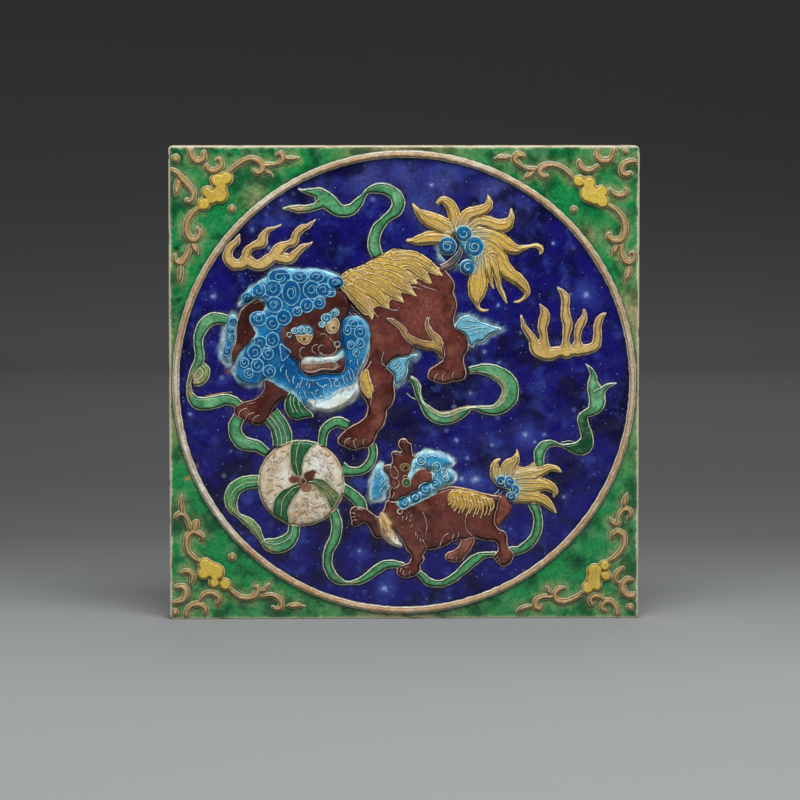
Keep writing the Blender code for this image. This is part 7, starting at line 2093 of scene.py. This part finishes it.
@dataclass(frozen=True)
class Cub(Moulding):
    """The cub: brown, with a turquoise mane, a yellow back fringe and a yellow tail."""

    name: str = "cub"
    part: Part = Part.CUB
    tail_rise: float = 2.2 * MM
    body_rise: float = 2.5 * MM
    head_rise: float = 2.8 * MM
    mane_rise: float = 2.9 * MM
    curl_rise: float = 0.5 * MM
    detail_rise: float = 0.4 * MM
    bell_rise: float = 0.2 * MM
    dome: float = 0.3

    def lay(self, field: Field) -> None:
        """Lays tail, legs, body, head, chest, beard and mane in that order.

        Args:
            field: The front.
        """
        tile = field.tile
        field.lay(tile.outline(CUB_TAIL_FAN), CUB_TAIL_HEART, 0.5 * self.tail_rise)
        self.locks(field, CUB_TAIL_LOCKS, YELLOW_LOCK, self.tail_rise, folds=(-0.35, 0.35))
        field.stain(CUB_TAIL_STAIN)
        self.curls(field, CUB_TAIL_CURLS, DEEP_CURL, self.tail_rise + self.curl_rise)
        self.lines(field, CUB_TAIL_LINES, BLUE_LINE)
        field.lay(tile.outline(CUB_RUMP), SALMON, 0.7 * self.body_rise)
        field.lay(tile.outline(CUB_FAR_LEG), FAR_LEG_BROWN, 0.7 * self.body_rise)
        field.lay(tile.outline(CUB_BODY), BROWN, self.body_rise, dome=self.dome)
        field.lay(tile.outline(CUB_BACK), CUB_BACK_YELLOW, self.detail_rise, laid_on=True)
        self.lines(field, CUB_FRINGE, FRINGE_LINE, LINE_HALF)
        self.lines(field, CUB_SCALLOPS, SCALLOP_LINE)
        self.lines(field, CUB_LINES, PINK_LINE)
        field.lay(tile.outline(CUB_HEAD), BROWN, self.head_rise, dome=self.dome)
        field.lay(tile.outline(CUB_RAISED_LEG), BROWN, self.head_rise)
        field.lay(tile.outline(CUB_CHEST), CHEST_SLIP, self.head_rise)
        field.stain(CHEST_STAINS)
        self.lines(field, CUB_TOES, PINK_LINE)
        self.lines(field, CUB_CHEST_LINES, CHEST_LINE)
        self.hair(field)
        self.face(field)

    def hair(self, field: Field) -> None:
        """Beard, mane and curls.

        Args:
            field: The front.
        """
        beard, mane = field.tile.outline(CUB_BEARD), field.tile.outline(CUB_MANE)
        for shape in (beard, mane):
            field.run(shape, CUB_RUN)
        field.lay(beard, CUB_BLUE, 0.7 * self.tail_rise)
        self.lines(field, CUB_BEARD_LINES, BLUE_LINE)
        field.lay(mane, CUB_BLUE, self.mane_rise)
        self.lines(field, CUB_MANE_LINES, BLUE_LINE)
        self.lines(field, CUB_FACE_LINES, CUB_FACE_LINE)
        self.curls(field, CUB_CURLS, CUB_CURL, self.curl_rise, laid_on=True)

    def face(self, field: Field) -> None:
        """Eye, pupil and the bell under the chin.

        Args:
            field: The front.
        """
        u, v, radius = CUB_EYE
        field.lay(field.tile.oval(u, v, radius, 0.8 * radius), CUB_EYE_SLIP, self.detail_rise, laid_on=True)
        self.pupils(field, CUB_PUPILS)
        u, v, radius = CUB_RINGS[0]
        field.lay(field.tile.oval(u, v, radius, radius), CUB_BELL, self.bell_rise, laid_on=True)
        self.rings(field, CUB_RINGS, CUB_RING_LINE)


# What the nodes of the materials share: smooth steps, and numbers held between 0 and 1
SMOOTH = {"interpolation_type": "SMOOTHSTEP"}
HELD = {"use_clamp": True}

# The grain of the glazes
FINE_GRAIN = 0.6 * MM
EDGE_GRAIN = 1.7 * MM  # over which a line's edge wanders
WORN_GRAIN = 2.2 * MM
GRIT_GRAIN = 5 * MM
CRACKLE_CELL = 2.4 * MM
WANDER = 0.2  # how much nearer a line may seem
BLOOM_GAP = 4.5  # the blooms' distance, in distances of the specks
GRIT_TAN = "#7c6c60"
CRACK_BROWN = "#6b4a34"


def add(tree: bpy.types.NodeTree, kind: str, inputs: dict | None = None, **settings: object) -> bpy.types.Node:
    """Adds a node to a tree, sets it and links it.

    Args:
        tree: The material's node tree.
        kind: The node's type, without its "ShaderNode".
        inputs: For each socket, by number or by its name among those in use, the value it holds, the socket
            that feeds it, or the node whose first output in use feeds it.
        settings: Values of the node itself.

    Returns:
        The node.
    """
    node = tree.nodes.new("ShaderNode" + kind)
    for name, value in settings.items():
        setattr(node, name, value)
    for key, value in (inputs or {}).items():
        entry = node.inputs[key] if isinstance(key, int) else next(
            socket for socket in node.inputs if socket.enabled and socket.name == key)
        if isinstance(value, bpy.types.Node):
            value = next(socket for socket in value.outputs if socket.enabled)
        if isinstance(value, bpy.types.NodeSocket):
            tree.links.new(value, entry)
        else:
            entry.default_value = value
    return node


def started(name: str) -> tuple[bpy.types.Material, bpy.types.NodeTree, bpy.types.NodeSocket]:
    """Starts a material with no nodes but the one that tells places.

    Args:
        name: The material's name.

    Returns:
        The material, its node tree and the socket of the place on the object.
    """
    made = bpy.data.materials.new(name)
    made.use_nodes = True
    made.node_tree.nodes.clear()
    return made, made.node_tree, add(made.node_tree, "TexCoord").outputs["Object"]


def near(gap: float) -> float:
    """The nearness mark at a distance from a line's middle, with the mean of what it wanders."""
    return 1 - gap / MARK_REACH + WANDER / 2


@dataclass(frozen=True)
class Glaze:
    """A coloured lead glaze over pale slip, with the lines of slip that hold it apart."""

    name: str
    thin: str  # its colour where it runs thin over the clay
    thinness: float  # the greatest share of that colour
    thick: str  # its colour where it lies thick
    thickness: float
    cloud: float = 13 * MM  # how broad its clouds are
    mottle: float = 1.3 * MM  # how broad its fine mottling is
    depth: float = 0.25  # how much lighter and darker the mottling makes it
    speck: str = "#cfd6d8"
    speck_gap: float = 3.0 * MM  # how far apart the specks are
    speck_share: float = 0.5
    bloom: float = 0.0  # strength of the rarer soft blooms round a speck
    grit: float = 0.0  # strength of the tan grit that lies beside the figures
    # Pooled glaze and painted shade beside the lines and in the hollows: their dark colour and its greatest share
    pool_and_shade: str = "#0a0a14"  # the colour it pools to beside a line and in the hollows, which also serves as painted shade there
    pooled_and_shaded: float = 0.6
    roughness: float = 0.16
    shine: float = 0.4
    crackled: float = 0.0  # how dark its crackle is

    def material(self) -> bpy.types.Material:
        """Builds the material: the painted tint, mottled, thinned and specked, then darkened beside the lines and in
        the hollows by pooled glaze and painted shade, then slip and wear.

        Returns:
            The material.
        """
        made, tree, where = started(self.name)
        tint, line, marks = (add(tree, "Attribute", attribute_name=name) for name in ("tint", "line", "marks"))
        close, beside, hollow_shade = add(tree, "SeparateColor", {0: marks}).outputs
        fine = add(tree, "TexNoise", {"Vector": where, "Scale": 1 / FINE_GRAIN})
        shade = self.body(tree, where, tint, beside, fine)

        # The glaze pools beside the lines and in the hollows, and painted shade darkens the same places.
        wander = add(tree, "TexNoise", {"Vector": where, "Scale": 1 / EDGE_GRAIN, "Detail": 3, "Roughness": 0.6})
        close = add(tree, "Math", {0: wander, 1: WANDER, 2: close}, operation="MULTIPLY_ADD")
        pool_and_shade = add(tree, "MapRange", {"Value": close, "From Min": near(1.0 * MM), "From Max": near(0.4 * MM),
                                      "To Max": 0.75}, **SMOOTH)
        pool_and_shade = add(tree, "Math", {0: pool_and_shade, 1: hollow_shade}, operation="MAXIMUM", **HELD)
        pool_and_shade = add(tree, "Math", {0: pool_and_shade, 1: self.pooled_and_shaded}, operation="MULTIPLY", **HELD)
        shade = add(tree, "Mix", {"Factor": pool_and_shade, "A": shade, "B": colour(self.pool_and_shade)}, data_type="RGBA")

        # The lines of slip lie on top, dusty and worn in places.
        slip = add(tree, "MapRange", {"Value": close, "From Min": near(1.1 * LINE_HALF),
                                      "From Max": near(0.6 * LINE_HALF)}, **SMOOTH)
        dust = add(tree, "MapRange", {"Value": fine, "From Min": 0.3, "From Max": 0.7, "To Min": 0.8,
                                      "To Max": 1.1}, **SMOOTH)
        dusty = add(tree, "HueSaturation", {"Value": dust, "Color": line})
        worn = add(tree, "TexNoise", {"Vector": where, "Scale": 1 / WORN_GRAIN, "Detail": 3, "Roughness": 0.7})
        worn = add(tree, "MapRange", {"Value": worn, "From Min": 0.3, "From Max": 0.52, "To Min": 0.45}, **SMOOTH)
        laid = add(tree, "Math", {0: slip, 1: worn}, operation="MULTIPLY", **HELD)
        shade = add(tree, "Mix", {"Factor": laid, "A": shade, "B": dusty}, data_type="RGBA")

        dull = add(tree, "Math", {0: slip, 1: 0.25}, operation="MULTIPLY", **HELD)
        rough = add(tree, "Math", {0: dull, 1: self.roughness}, operation="ADD", **HELD)
        lift = add(tree, "Math", {0: fine, 1: 0.25, 2: slip}, operation="MULTIPLY_ADD")
        bump = add(tree, "Bump", {"Strength": 0.7, "Distance": 0.16 * MM, "Height": lift})
        surface = add(tree, "BsdfPrincipled", {"Base Color": shade, "Roughness": rough, "Normal": bump,
                                               "Specular IOR Level": self.shine})
        add(tree, "OutputMaterial", {"Surface": surface})
        return made

    def body(self, tree: bpy.types.NodeTree, where: bpy.types.NodeSocket, tint: bpy.types.Node,
             beside: bpy.types.NodeSocket, fine: bpy.types.Node) -> bpy.types.Node:
        """Adds the glaze's own colour: the painted one, mottled, under layers that each show by a mask.

        Args:
            tree: The material's nodes.
            where: The place on the tile.
            tint: The painted colour.
            beside: How near the figures are.
            fine: A fine grain.

        Returns:
            The node that gives the colour.
        """
        mottle = add(tree, "TexNoise", {"Vector": where, "Scale": 1 / self.mottle, "Detail": 4, "Roughness": 0.65})
        light = add(tree, "MapRange", {"Value": mottle, "From Min": 0.3, "From Max": 0.7, "To Min": 1 - self.depth,
                                       "To Max": 1 + self.depth}, **SMOOTH)
        shade = add(tree, "HueSaturation", {"Value": light, "Color": tint})
        layers = []
        for size, low, high, share, code in ((1.6 * self.cloud, 0.45, 0.62, self.thickness, self.thick),
                                             (self.cloud, 0.5, 0.7, self.thinness, self.thin)):
            cloud = add(tree, "TexNoise", {"Vector": where, "Scale": 1 / size, "Detail": 4, "Roughness": 0.6})
            mask = add(tree, "MapRange", {"Value": cloud, "From Min": low, "From Max": high}, **SMOOTH)
            layers.append((mask, share, code))
        # Specks lie near the middle of some cells only, and blooms are larger, rarer and softer.
        for gap, inner, outer, low, high, share in ((self.speck_gap, 0.05, 0.2, 0.3, 1, self.speck_share),
                                                    (BLOOM_GAP * self.speck_gap, 0, 0.16, 0.35, 0.9, self.bloom)):
            if share:
                cells = add(tree, "TexVoronoi", {"Vector": where, "Scale": 1 / gap}).outputs
                chance = add(tree, "SeparateColor", {0: cells["Color"]})
                spot = add(tree, "MapRange", {"Value": cells["Distance"], "From Min": inner, "From Max": outer,
                                              "To Min": 1, "To Max": 0}, **SMOOTH)
                some = add(tree, "MapRange", {"Value": chance, "From Min": low, "From Max": high}, **SMOOTH)
                mask = add(tree, "Math", {0: spot, 1: some}, operation="MULTIPLY", **HELD)
                layers.append((mask, share, self.speck))
        if self.grit:
            coarse = add(tree, "TexNoise", {"Vector": where, "Scale": 1 / GRIT_GRAIN})
            spread = add(tree, "Math", {0: coarse, 1: 0.3, 2: fine}, operation="MULTIPLY_ADD")
            level = add(tree, "Math", {0: beside, 1: 0.45, 2: spread}, operation="MULTIPLY_ADD")
            mask = add(tree, "MapRange", {"Value": level, "From Min": 0.86, "From Max": 1}, **SMOOTH)
            layers.append((mask, self.grit, GRIT_TAN))
        if self.crackled:
            edges = add(tree, "TexVoronoi", {"Vector": where, "Scale": 1 / CRACKLE_CELL}, feature="DISTANCE_TO_EDGE")
            mask = add(tree, "MapRange", {"Value": edges, "From Min": 0, "From Max": 0.12, "To Min": 1,
                                          "To Max": 0}, **SMOOTH)
            layers.append((mask, self.crackled, CRACK_BROWN))
        for mask, share, code in layers:
            part = add(tree, "Math", {0: mask, 1: share}, operation="MULTIPLY", **HELD)
            shade = add(tree, "Mix", {"Factor": part, "A": shade, "B": colour(code)}, data_type="RGBA")
        return shade


GLAZES = {
    # Deep blue, nearly black where it is thick, with a haze of pale specks
    Finish.COBALT: Glaze("cobalt_glaze", "#2e3e8e", 0.65, "#090628", 0.85, depth=0.34, speck="#8794c4",
                         bloom=0.5, grit=0.4, pool_and_shade="#05030c", pooled_and_shaded=0.95),
    # Copper green over pale slip: clear green clouds, dark in the hollows from pooled glaze and painted shade
    Finish.GREEN: Glaze("green_glaze", "#6f9c6e", 0.34, "#063820", 0.75, cloud=9 * MM, depth=0.3, speck="#0a2a16",
                        grit=0.4, pool_and_shade="#08200f", pooled_and_shaded=0.8),
    # The ribbons' lighter green, speckled, darker at the edges
    Finish.RIBBON: Glaze("ribbon_green_glaze", "#86b487", 0.26, "#174a2a", 0.5, cloud=5 * MM, depth=0.34,
                         speck="#1f5230", speck_gap=2 * MM, pool_and_shade="#0a1f12", pooled_and_shaded=0.75),
    # Amber yellow, brown where it pools and where shade is painted
    Finish.AMBER: Glaze("amber_glaze", "#d0b880", 0.4, "#a07c3c", 0.45, cloud=7 * MM, depth=0.22, speck="#8a6a38",
                        pool_and_shade="#4a3016", pooled_and_shaded=0.75),
    # Turquoise, from deep blue in the curls to nearly white at the rims
    Finish.TURQUOISE: Glaze("turquoise_glaze", "#1e8cc4", 0.3, "#083f70", 0.45, cloud=6 * MM, depth=0.26,
                            speck="#a9d2de", speck_share=0.3, pool_and_shade="#06263e", pooled_and_shaded=0.6),
    # Brown from manganese, matt and fine-grained with pale pinholes
    Finish.AUBERGINE: Glaze("brown_glaze", "#84503f", 0.6, "#2e120d", 0.65, cloud=11 * MM, depth=0.32,
                            speck="#b08a80", bloom=0.4, pool_and_shade="#120505", pooled_and_shaded=0.9),
    # Off-white with a brown-stained crackle
    Finish.CRACKLE: Glaze("crackled_white", "#a08060", 0.42, "#dcd7c8", 0.5, cloud=4 * MM, depth=0.22,
                          speck="#7a5638", pool_and_shade="#5c3f28", pooled_and_shaded=0.6, crackled=0.15),
    # Bare tan slip, worn and dusty
    Finish.SLIP: Glaze("worn_slip", "#ccc0a6", 0.5, "#7d5f44", 0.4, cloud=5 * MM, depth=0.3, speck="#5a4030",
                       pool_and_shade="#3c281c", pooled_and_shaded=0.45, roughness=0.45),
}


@dataclass(frozen=True)
class Slab:
    """The body of the tile behind its front: the worn arris, the four sides and the back."""

    name: str = "slab"
    chips: int = 26
    chip_depth: float = 0.5 * MM
    clay: str = "#ad957b"
    dark_clay: str = "#9a826b"
    grain: str = "#6e5643"
    run: str = "#2c5a38"
    run_from: float = -18.5 * MM  # where the runs of glaze end on the sides, less the noise that they follow
    run_to: float = -16.5 * MM
    run_drop: float = 12 * MM
    rim: str = "#b9b294"  # the worn slip on the arris
    rim_from: float = -11.8 * MM
    rim_to: float = -11.2 * MM
    side_uneven: float = 0.12 * MM
    side_length: float = 14 * MM
    back_dish: float = 0.25 * MM
    back_length: float = 60 * MM

    def material(self) -> bpy.types.Material:
        """Fired clay: buff, grained, with glaze run a few millimetres down from the front.

        Returns:
            The material.
        """
        made, tree, where = started("fired_clay")
        clouds = add(tree, "TexNoise", {"Vector": where, "Scale": 1 / (18 * MM), "Detail": 4})
        clouds = add(tree, "MapRange", {"Value": clouds, "From Min": 0.35, "From Max": 0.65}, **SMOOTH)
        shade = add(tree, "Mix", {"Factor": clouds, "A": colour(self.clay), "B": colour(self.dark_clay)},
                    data_type="RGBA")
        specks = add(tree, "TexNoise", {"Vector": where, "Scale": 1 / (1.2 * MM), "Detail": 3})
        specks = add(tree, "MapRange", {"Value": specks, "From Min": 0.55, "From Max": 0.75, "To Max": 0.5}, **SMOOTH)
        shade = add(tree, "Mix", {"Factor": specks, "A": shade, "B": colour(self.grain)}, data_type="RGBA")

        back = add(tree, "SeparateXYZ", {0: where}).outputs[1]
        drop = add(tree, "TexNoise", {"Vector": where, "Scale": 1 / (7 * MM)})
        drop = add(tree, "Math", {0: drop, 1: self.run_drop}, operation="MULTIPLY", **HELD)
        reach = add(tree, "Math", {0: back, 1: drop}, operation="SUBTRACT")
        run = add(tree, "MapRange", {"Value": reach, "From Min": self.run_from, "From Max": self.run_to, "To Min": 1,
                                     "To Max": 0}, **SMOOTH)
        thin = add(tree, "Math", {0: run, 1: 0.75}, operation="MULTIPLY", **HELD)
        shade = add(tree, "Mix", {"Factor": thin, "A": shade, "B": colour(self.run)}, data_type="RGBA")
        rim = add(tree, "MapRange", {"Value": back, "From Min": self.rim_from, "From Max": self.rim_to, "To Min": 1,
                                     "To Max": 0}, **SMOOTH)
        shade = add(tree, "Mix", {"Factor": rim, "A": shade, "B": colour(self.rim)}, data_type="RGBA")
        rough = add(tree, "MapRange", {"Value": run, "To Min": 0.85, "To Max": 0.35}, **SMOOTH)
        grain = add(tree, "TexNoise", {"Vector": where, "Scale": 1 / (0.7 * MM), "Detail": 3, "Roughness": 0.7})
        bump = add(tree, "Bump", {"Strength": 0.6, "Distance": 0.25 * MM, "Height": grain})
        surface = add(tree, "BsdfPrincipled", {"Base Color": shade, "Roughness": rough, "Normal": bump})
        add(tree, "OutputMaterial", {"Surface": surface})
        return made

    def chipped(self, length: int) -> np.ndarray:
        """How deep the arris is chipped at each point of a loop: 1 - (d/r)^2 of a chip's depth at d points
        from its middle, the deepest where chips meet.

        Args:
            length: The loop's number of points.

        Returns:
            The depths in metres.
        """
        chance = np.random.default_rng(Seed.CHIPS)
        depth = np.zeros(length)
        for middle, reach in zip(chance.integers(0, length, self.chips), chance.uniform(3, 12, self.chips)):
            away = (np.arange(length) - middle + length // 2) % length - length // 2
            depth = np.maximum(depth, chance.uniform(0.4, 1) * np.clip(1 - (away / reach) ** 2, 0, 1))
        return depth * self.chip_depth

    def loops(self, field: Field) -> list[np.ndarray]:
        """Loops of points from the front's edge round the arris, back along the sides, round the rear arris
        and in to the middle of the back, where the last one is folded flat. The first is the front's edge.

        Args:
            field: The front.

        Returns:
            For each loop its rows of x, y and z, as three rows.
        """
        tile = field.tile
        x, z = (np.concatenate([grid[0, :-1], grid[:-1, -1], grid[-1, :0:-1], grid[:0:-1, 0]])
                for grid in (field.x, field.z))
        core = field.half - CORNER_RADIUS
        out = np.stack([x - np.clip(x, -core[0], core[0]), z - np.clip(z, -core[1], core[1])])
        out /= np.linalg.norm(out, axis=0)
        length = len(x)
        chipped = self.chipped(length)

        loops = [np.stack([x, np.full(length, tile.ground), z])]
        for turn in (30, 60, 90):
            off, back = math.sin(math.radians(turn)), 1 - math.cos(math.radians(turn))
            away = ARRIS * off - chipped * off
            y = tile.ground + ARRIS * back + chipped * (1 - off) * 0.6
            loops.append(np.stack([x + away * out[0], y, z + away * out[1]]))
        depth = tile.back - tile.ground - 2 * ARRIS
        for share in (0.03, 0.1, 0.3, 0.5, 0.7, 0.9, 1.0):
            waves = ripple(np.arange(length) * PITCH, np.full(length, share * 20 * MM), self.side_length, Seed.SIDES)
            away = ARRIS - self.side_uneven * (1 + waves) / 2 - chipped * max(0, 1 - share / 0.06)
            y = np.full(length, tile.ground + ARRIS + share * depth)
            loops.append(np.stack([x + away * out[0], y, z + away * out[1]]))
        away = 0.6 * ARRIS
        loops.append(np.stack([x + away * out[0], np.full(length, tile.back - 0.3 * ARRIS), z + away * out[1]]))
        for across, up in (*((scale, scale) for scale in (1.0, 0.95, 0.85, 0.7, 0.5, 0.3, 0.1)), (0.05, 0.0)):
            waves = ripple(across * x, up * z, self.back_length, Seed.BACK)
            dish = self.back_dish * (1 + waves) / 2 * (across < 1)
            loops.append(np.stack([across * x, tile.back - dish, up * z]))
        return loops

    def build(self, field: Field) -> bpy.types.Object:
        """Joins the loops by quads, and closes the last one, which lies folded, by merging its points.

        Args:
            field: The front.

        Returns:
            The slab.
        """
        loops = self.loops(field)
        places = np.stack(loops).transpose(0, 2, 1).reshape(-1, 3)
        places[:, 2] += field.tile.height / 2
        length = loops[0].shape[1]
        step, place = np.arange(len(loops) - 1)[:, None] * length, np.arange(length)
        first, after = (step + place).ravel(), (step + (place + 1) % length).ravel()
        made = mesh_piece(self.name, places, np.stack([first, after, after + length, first + length], axis=1))
        closing = bmesh.new()
        closing.from_mesh(made.data)
        bmesh.ops.remove_doubles(closing, verts=closing.verts, dist=0.001 * MM)
        closing.to_mesh(made.data)
        closing.free()
        made.data.materials.append(self.material())
        return carried(made)


class Lamp(NamedTuple):
    """A square soft light that faces the tile: where it hangs, its power in watts and its side."""

    name: str
    place: tuple[float, float, float]
    power: float
    side: float


LAMPS = (
    Lamp("overhead", (0.08, -0.85, 1.35), 27.5, 0.9),
    Lamp("left", (-1.7, -1.5, 1.0), 12, 1.2),
    Lamp("right", (1.8, -1.4, 1.0), 12.5, 1.2),
    Lamp("rear", (0.3, 1.9, 1.4), 9, 1.4),
)

# The paper's painted shade: its tone at places along the sweep, set for how the lamps' light falls off, by their
# distance back plus their height
PAPER_SHADE_TONES = (
    (-0.6, "#878b8b"), (-0.25, "#8d9090"), (0.03, "#868989"), (0.17, "#7c7f7f"), (0.28, "#6f7171"), (0.42, "#5f6161"),
    (0.8, "#5a5b5b"), (1.65, "#666666"), (2.32, "#6c6c6c"), (2.57, "#5e5d5d"), (2.75, "#545353"), (3.1, "#504e4c"),
)


@dataclass(frozen=True)
class Studio:
    """The sweep of pale paper under and behind the tile, the lights and the camera."""

    width: float = 3.2
    front: float = -3.0
    rear: float = 2.75
    bend: float = 0.6
    bend_steps: int = 24
    top: float = 2.4
    faced: tuple[float, float, float] = (0, 0, 0.12)  # what the lamps face
    around: str = "#c8ccd0"  # the faint light from all round
    around_power: float = 0.06
    distance: float = 2.3
    azimuth: float = -1.48
    elevation: float = 4.02
    angle: float = 10.568  # the camera's angle of view, in degrees
    aim_x: float = -2.32 * MM
    aim_z: float = 116.96 * MM

    def sweep(self) -> bpy.types.Object:
        """Builds the floor that curves up into the wall, as a strip with a level every few centimetres.

        Returns:
            The sweep.
        """
        turn = np.linspace(0, math.pi / 2, self.bend_steps)
        start = self.rear - self.bend
        y = np.concatenate([[self.front], start + self.bend * np.sin(turn), [self.rear]])
        z = np.concatenate([[0.0], self.bend * (1 - np.cos(turn)), [self.top]])
        sides = (-self.width, self.width)
        places = np.concatenate([np.stack([np.full(len(y), side), y, z], axis=1) for side in sides])
        low = np.arange(len(y) - 1)
        quads = np.stack([low, low + len(y), low + len(y) + 1, low + 1], axis=1)
        made = mesh_piece("sweep", places, quads)
        made.data.materials.append(self.paper())
        return made

    def paper(self) -> bpy.types.Material:
        """Pale grey paper with painted shade: its tone falls off towards the rear as a lamp over the floor would
        leave its light, and follows how far along the sweep a place lies, its distance back plus its height.

        Returns:
            The material.
        """
        made, tree, where = started("studio_paper_painted_shade")
        place = add(tree, "SeparateXYZ", {0: where}).outputs
        along = add(tree, "Math", {0: place[1], 1: place[2]}, operation="ADD")
        # The painted shade: a ramp of tones along the sweep
        low, high = PAPER_SHADE_TONES[0][0], PAPER_SHADE_TONES[-1][0]
        ramp = add(tree, "ValToRGB", {0: add(tree, "MapRange", {"Value": along, "From Min": low, "From Max": high})})
        for end, (_, tone) in zip(ramp.color_ramp.elements, (PAPER_SHADE_TONES[0], PAPER_SHADE_TONES[-1])):
            end.color = colour(tone)
        for reach, tone in PAPER_SHADE_TONES[1:-1]:
            ramp.color_ramp.elements.new((reach - low) / (high - low)).color = colour(tone)
        surface = add(tree, "BsdfPrincipled", {"Base Color": ramp, "Roughness": 0.9})
        add(tree, "OutputMaterial", {"Surface": surface})
        return made

    def hang(self, lamp: Lamp) -> None:
        """Hangs a lamp where it belongs, turned to what the lamps face.

        Args:
            lamp: The lamp.
        """
        light = bpy.data.lights.new(lamp.name, "AREA")
        light.energy, light.size = lamp.power, lamp.side
        made = bpy.data.objects.new(lamp.name, light)
        made.location = lamp.place
        made.rotation_euler = (Vector(self.faced) - Vector(lamp.place)).to_track_quat("-Z", "Y").to_euler()
        bpy.context.scene.collection.objects.link(made)

    def build(self) -> None:
        """Sets the sweep, the four lamps, the faint surrounding light and the camera."""
        self.sweep()
        for lamp in LAMPS:
            self.hang(lamp)
        world = bpy.data.worlds.new("studio")
        world.use_nodes = True
        background = world.node_tree.nodes["Background"].inputs
        background[0].default_value, background[1].default_value = colour(self.around), self.around_power
        scene = bpy.context.scene
        scene.world = world
        scene.view_settings.view_transform = "Standard"
        lens = bpy.data.cameras.new("camera")
        lens.angle = math.radians(self.angle)
        made = bpy.data.objects.new("camera", lens)
        turn, tilt = math.radians(self.azimuth), math.radians(self.elevation)
        back = Vector((math.sin(turn) * math.cos(tilt), -math.cos(turn) * math.cos(tilt), math.sin(tilt)))
        aim = Vector((self.aim_x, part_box("tile")[0].y + HIGHEST, self.aim_z))
        made.location = aim + back * self.distance
        made.rotation_euler = (-back).to_track_quat("-Z", "Y").to_euler()
        scene.collection.objects.link(made)
        scene.camera = made


def main() -> None:
    """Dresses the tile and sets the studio."""
    logging.basicConfig(level=logging.INFO, format="%(name)s: %(message)s")
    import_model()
    tile = Tile.from_frame()
    field = Field(tile)
    mouldings = (Corners(), Ground(), Ring(), Flames(), Ribbons(), GreatLion(), Ball(), Cub())
    for moulding in mouldings:
        field.laying = moulding.part
        moulding.lay(field)
        log.info("%s laid", moulding.name)
    field.settle()
    materials = {finish: glaze.material() for finish, glaze in GLAZES.items()}
    made = [piece for moulding in mouldings for piece in moulding.pieces(field, materials)]
    made.append(Slab().build(field))
    for piece in made:
        log.info("%s: %d points, %d faces", piece.name, len(piece.data.vertices), len(piece.data.polygons))
    Studio().build()


if __name__ == "__main__":
    main()
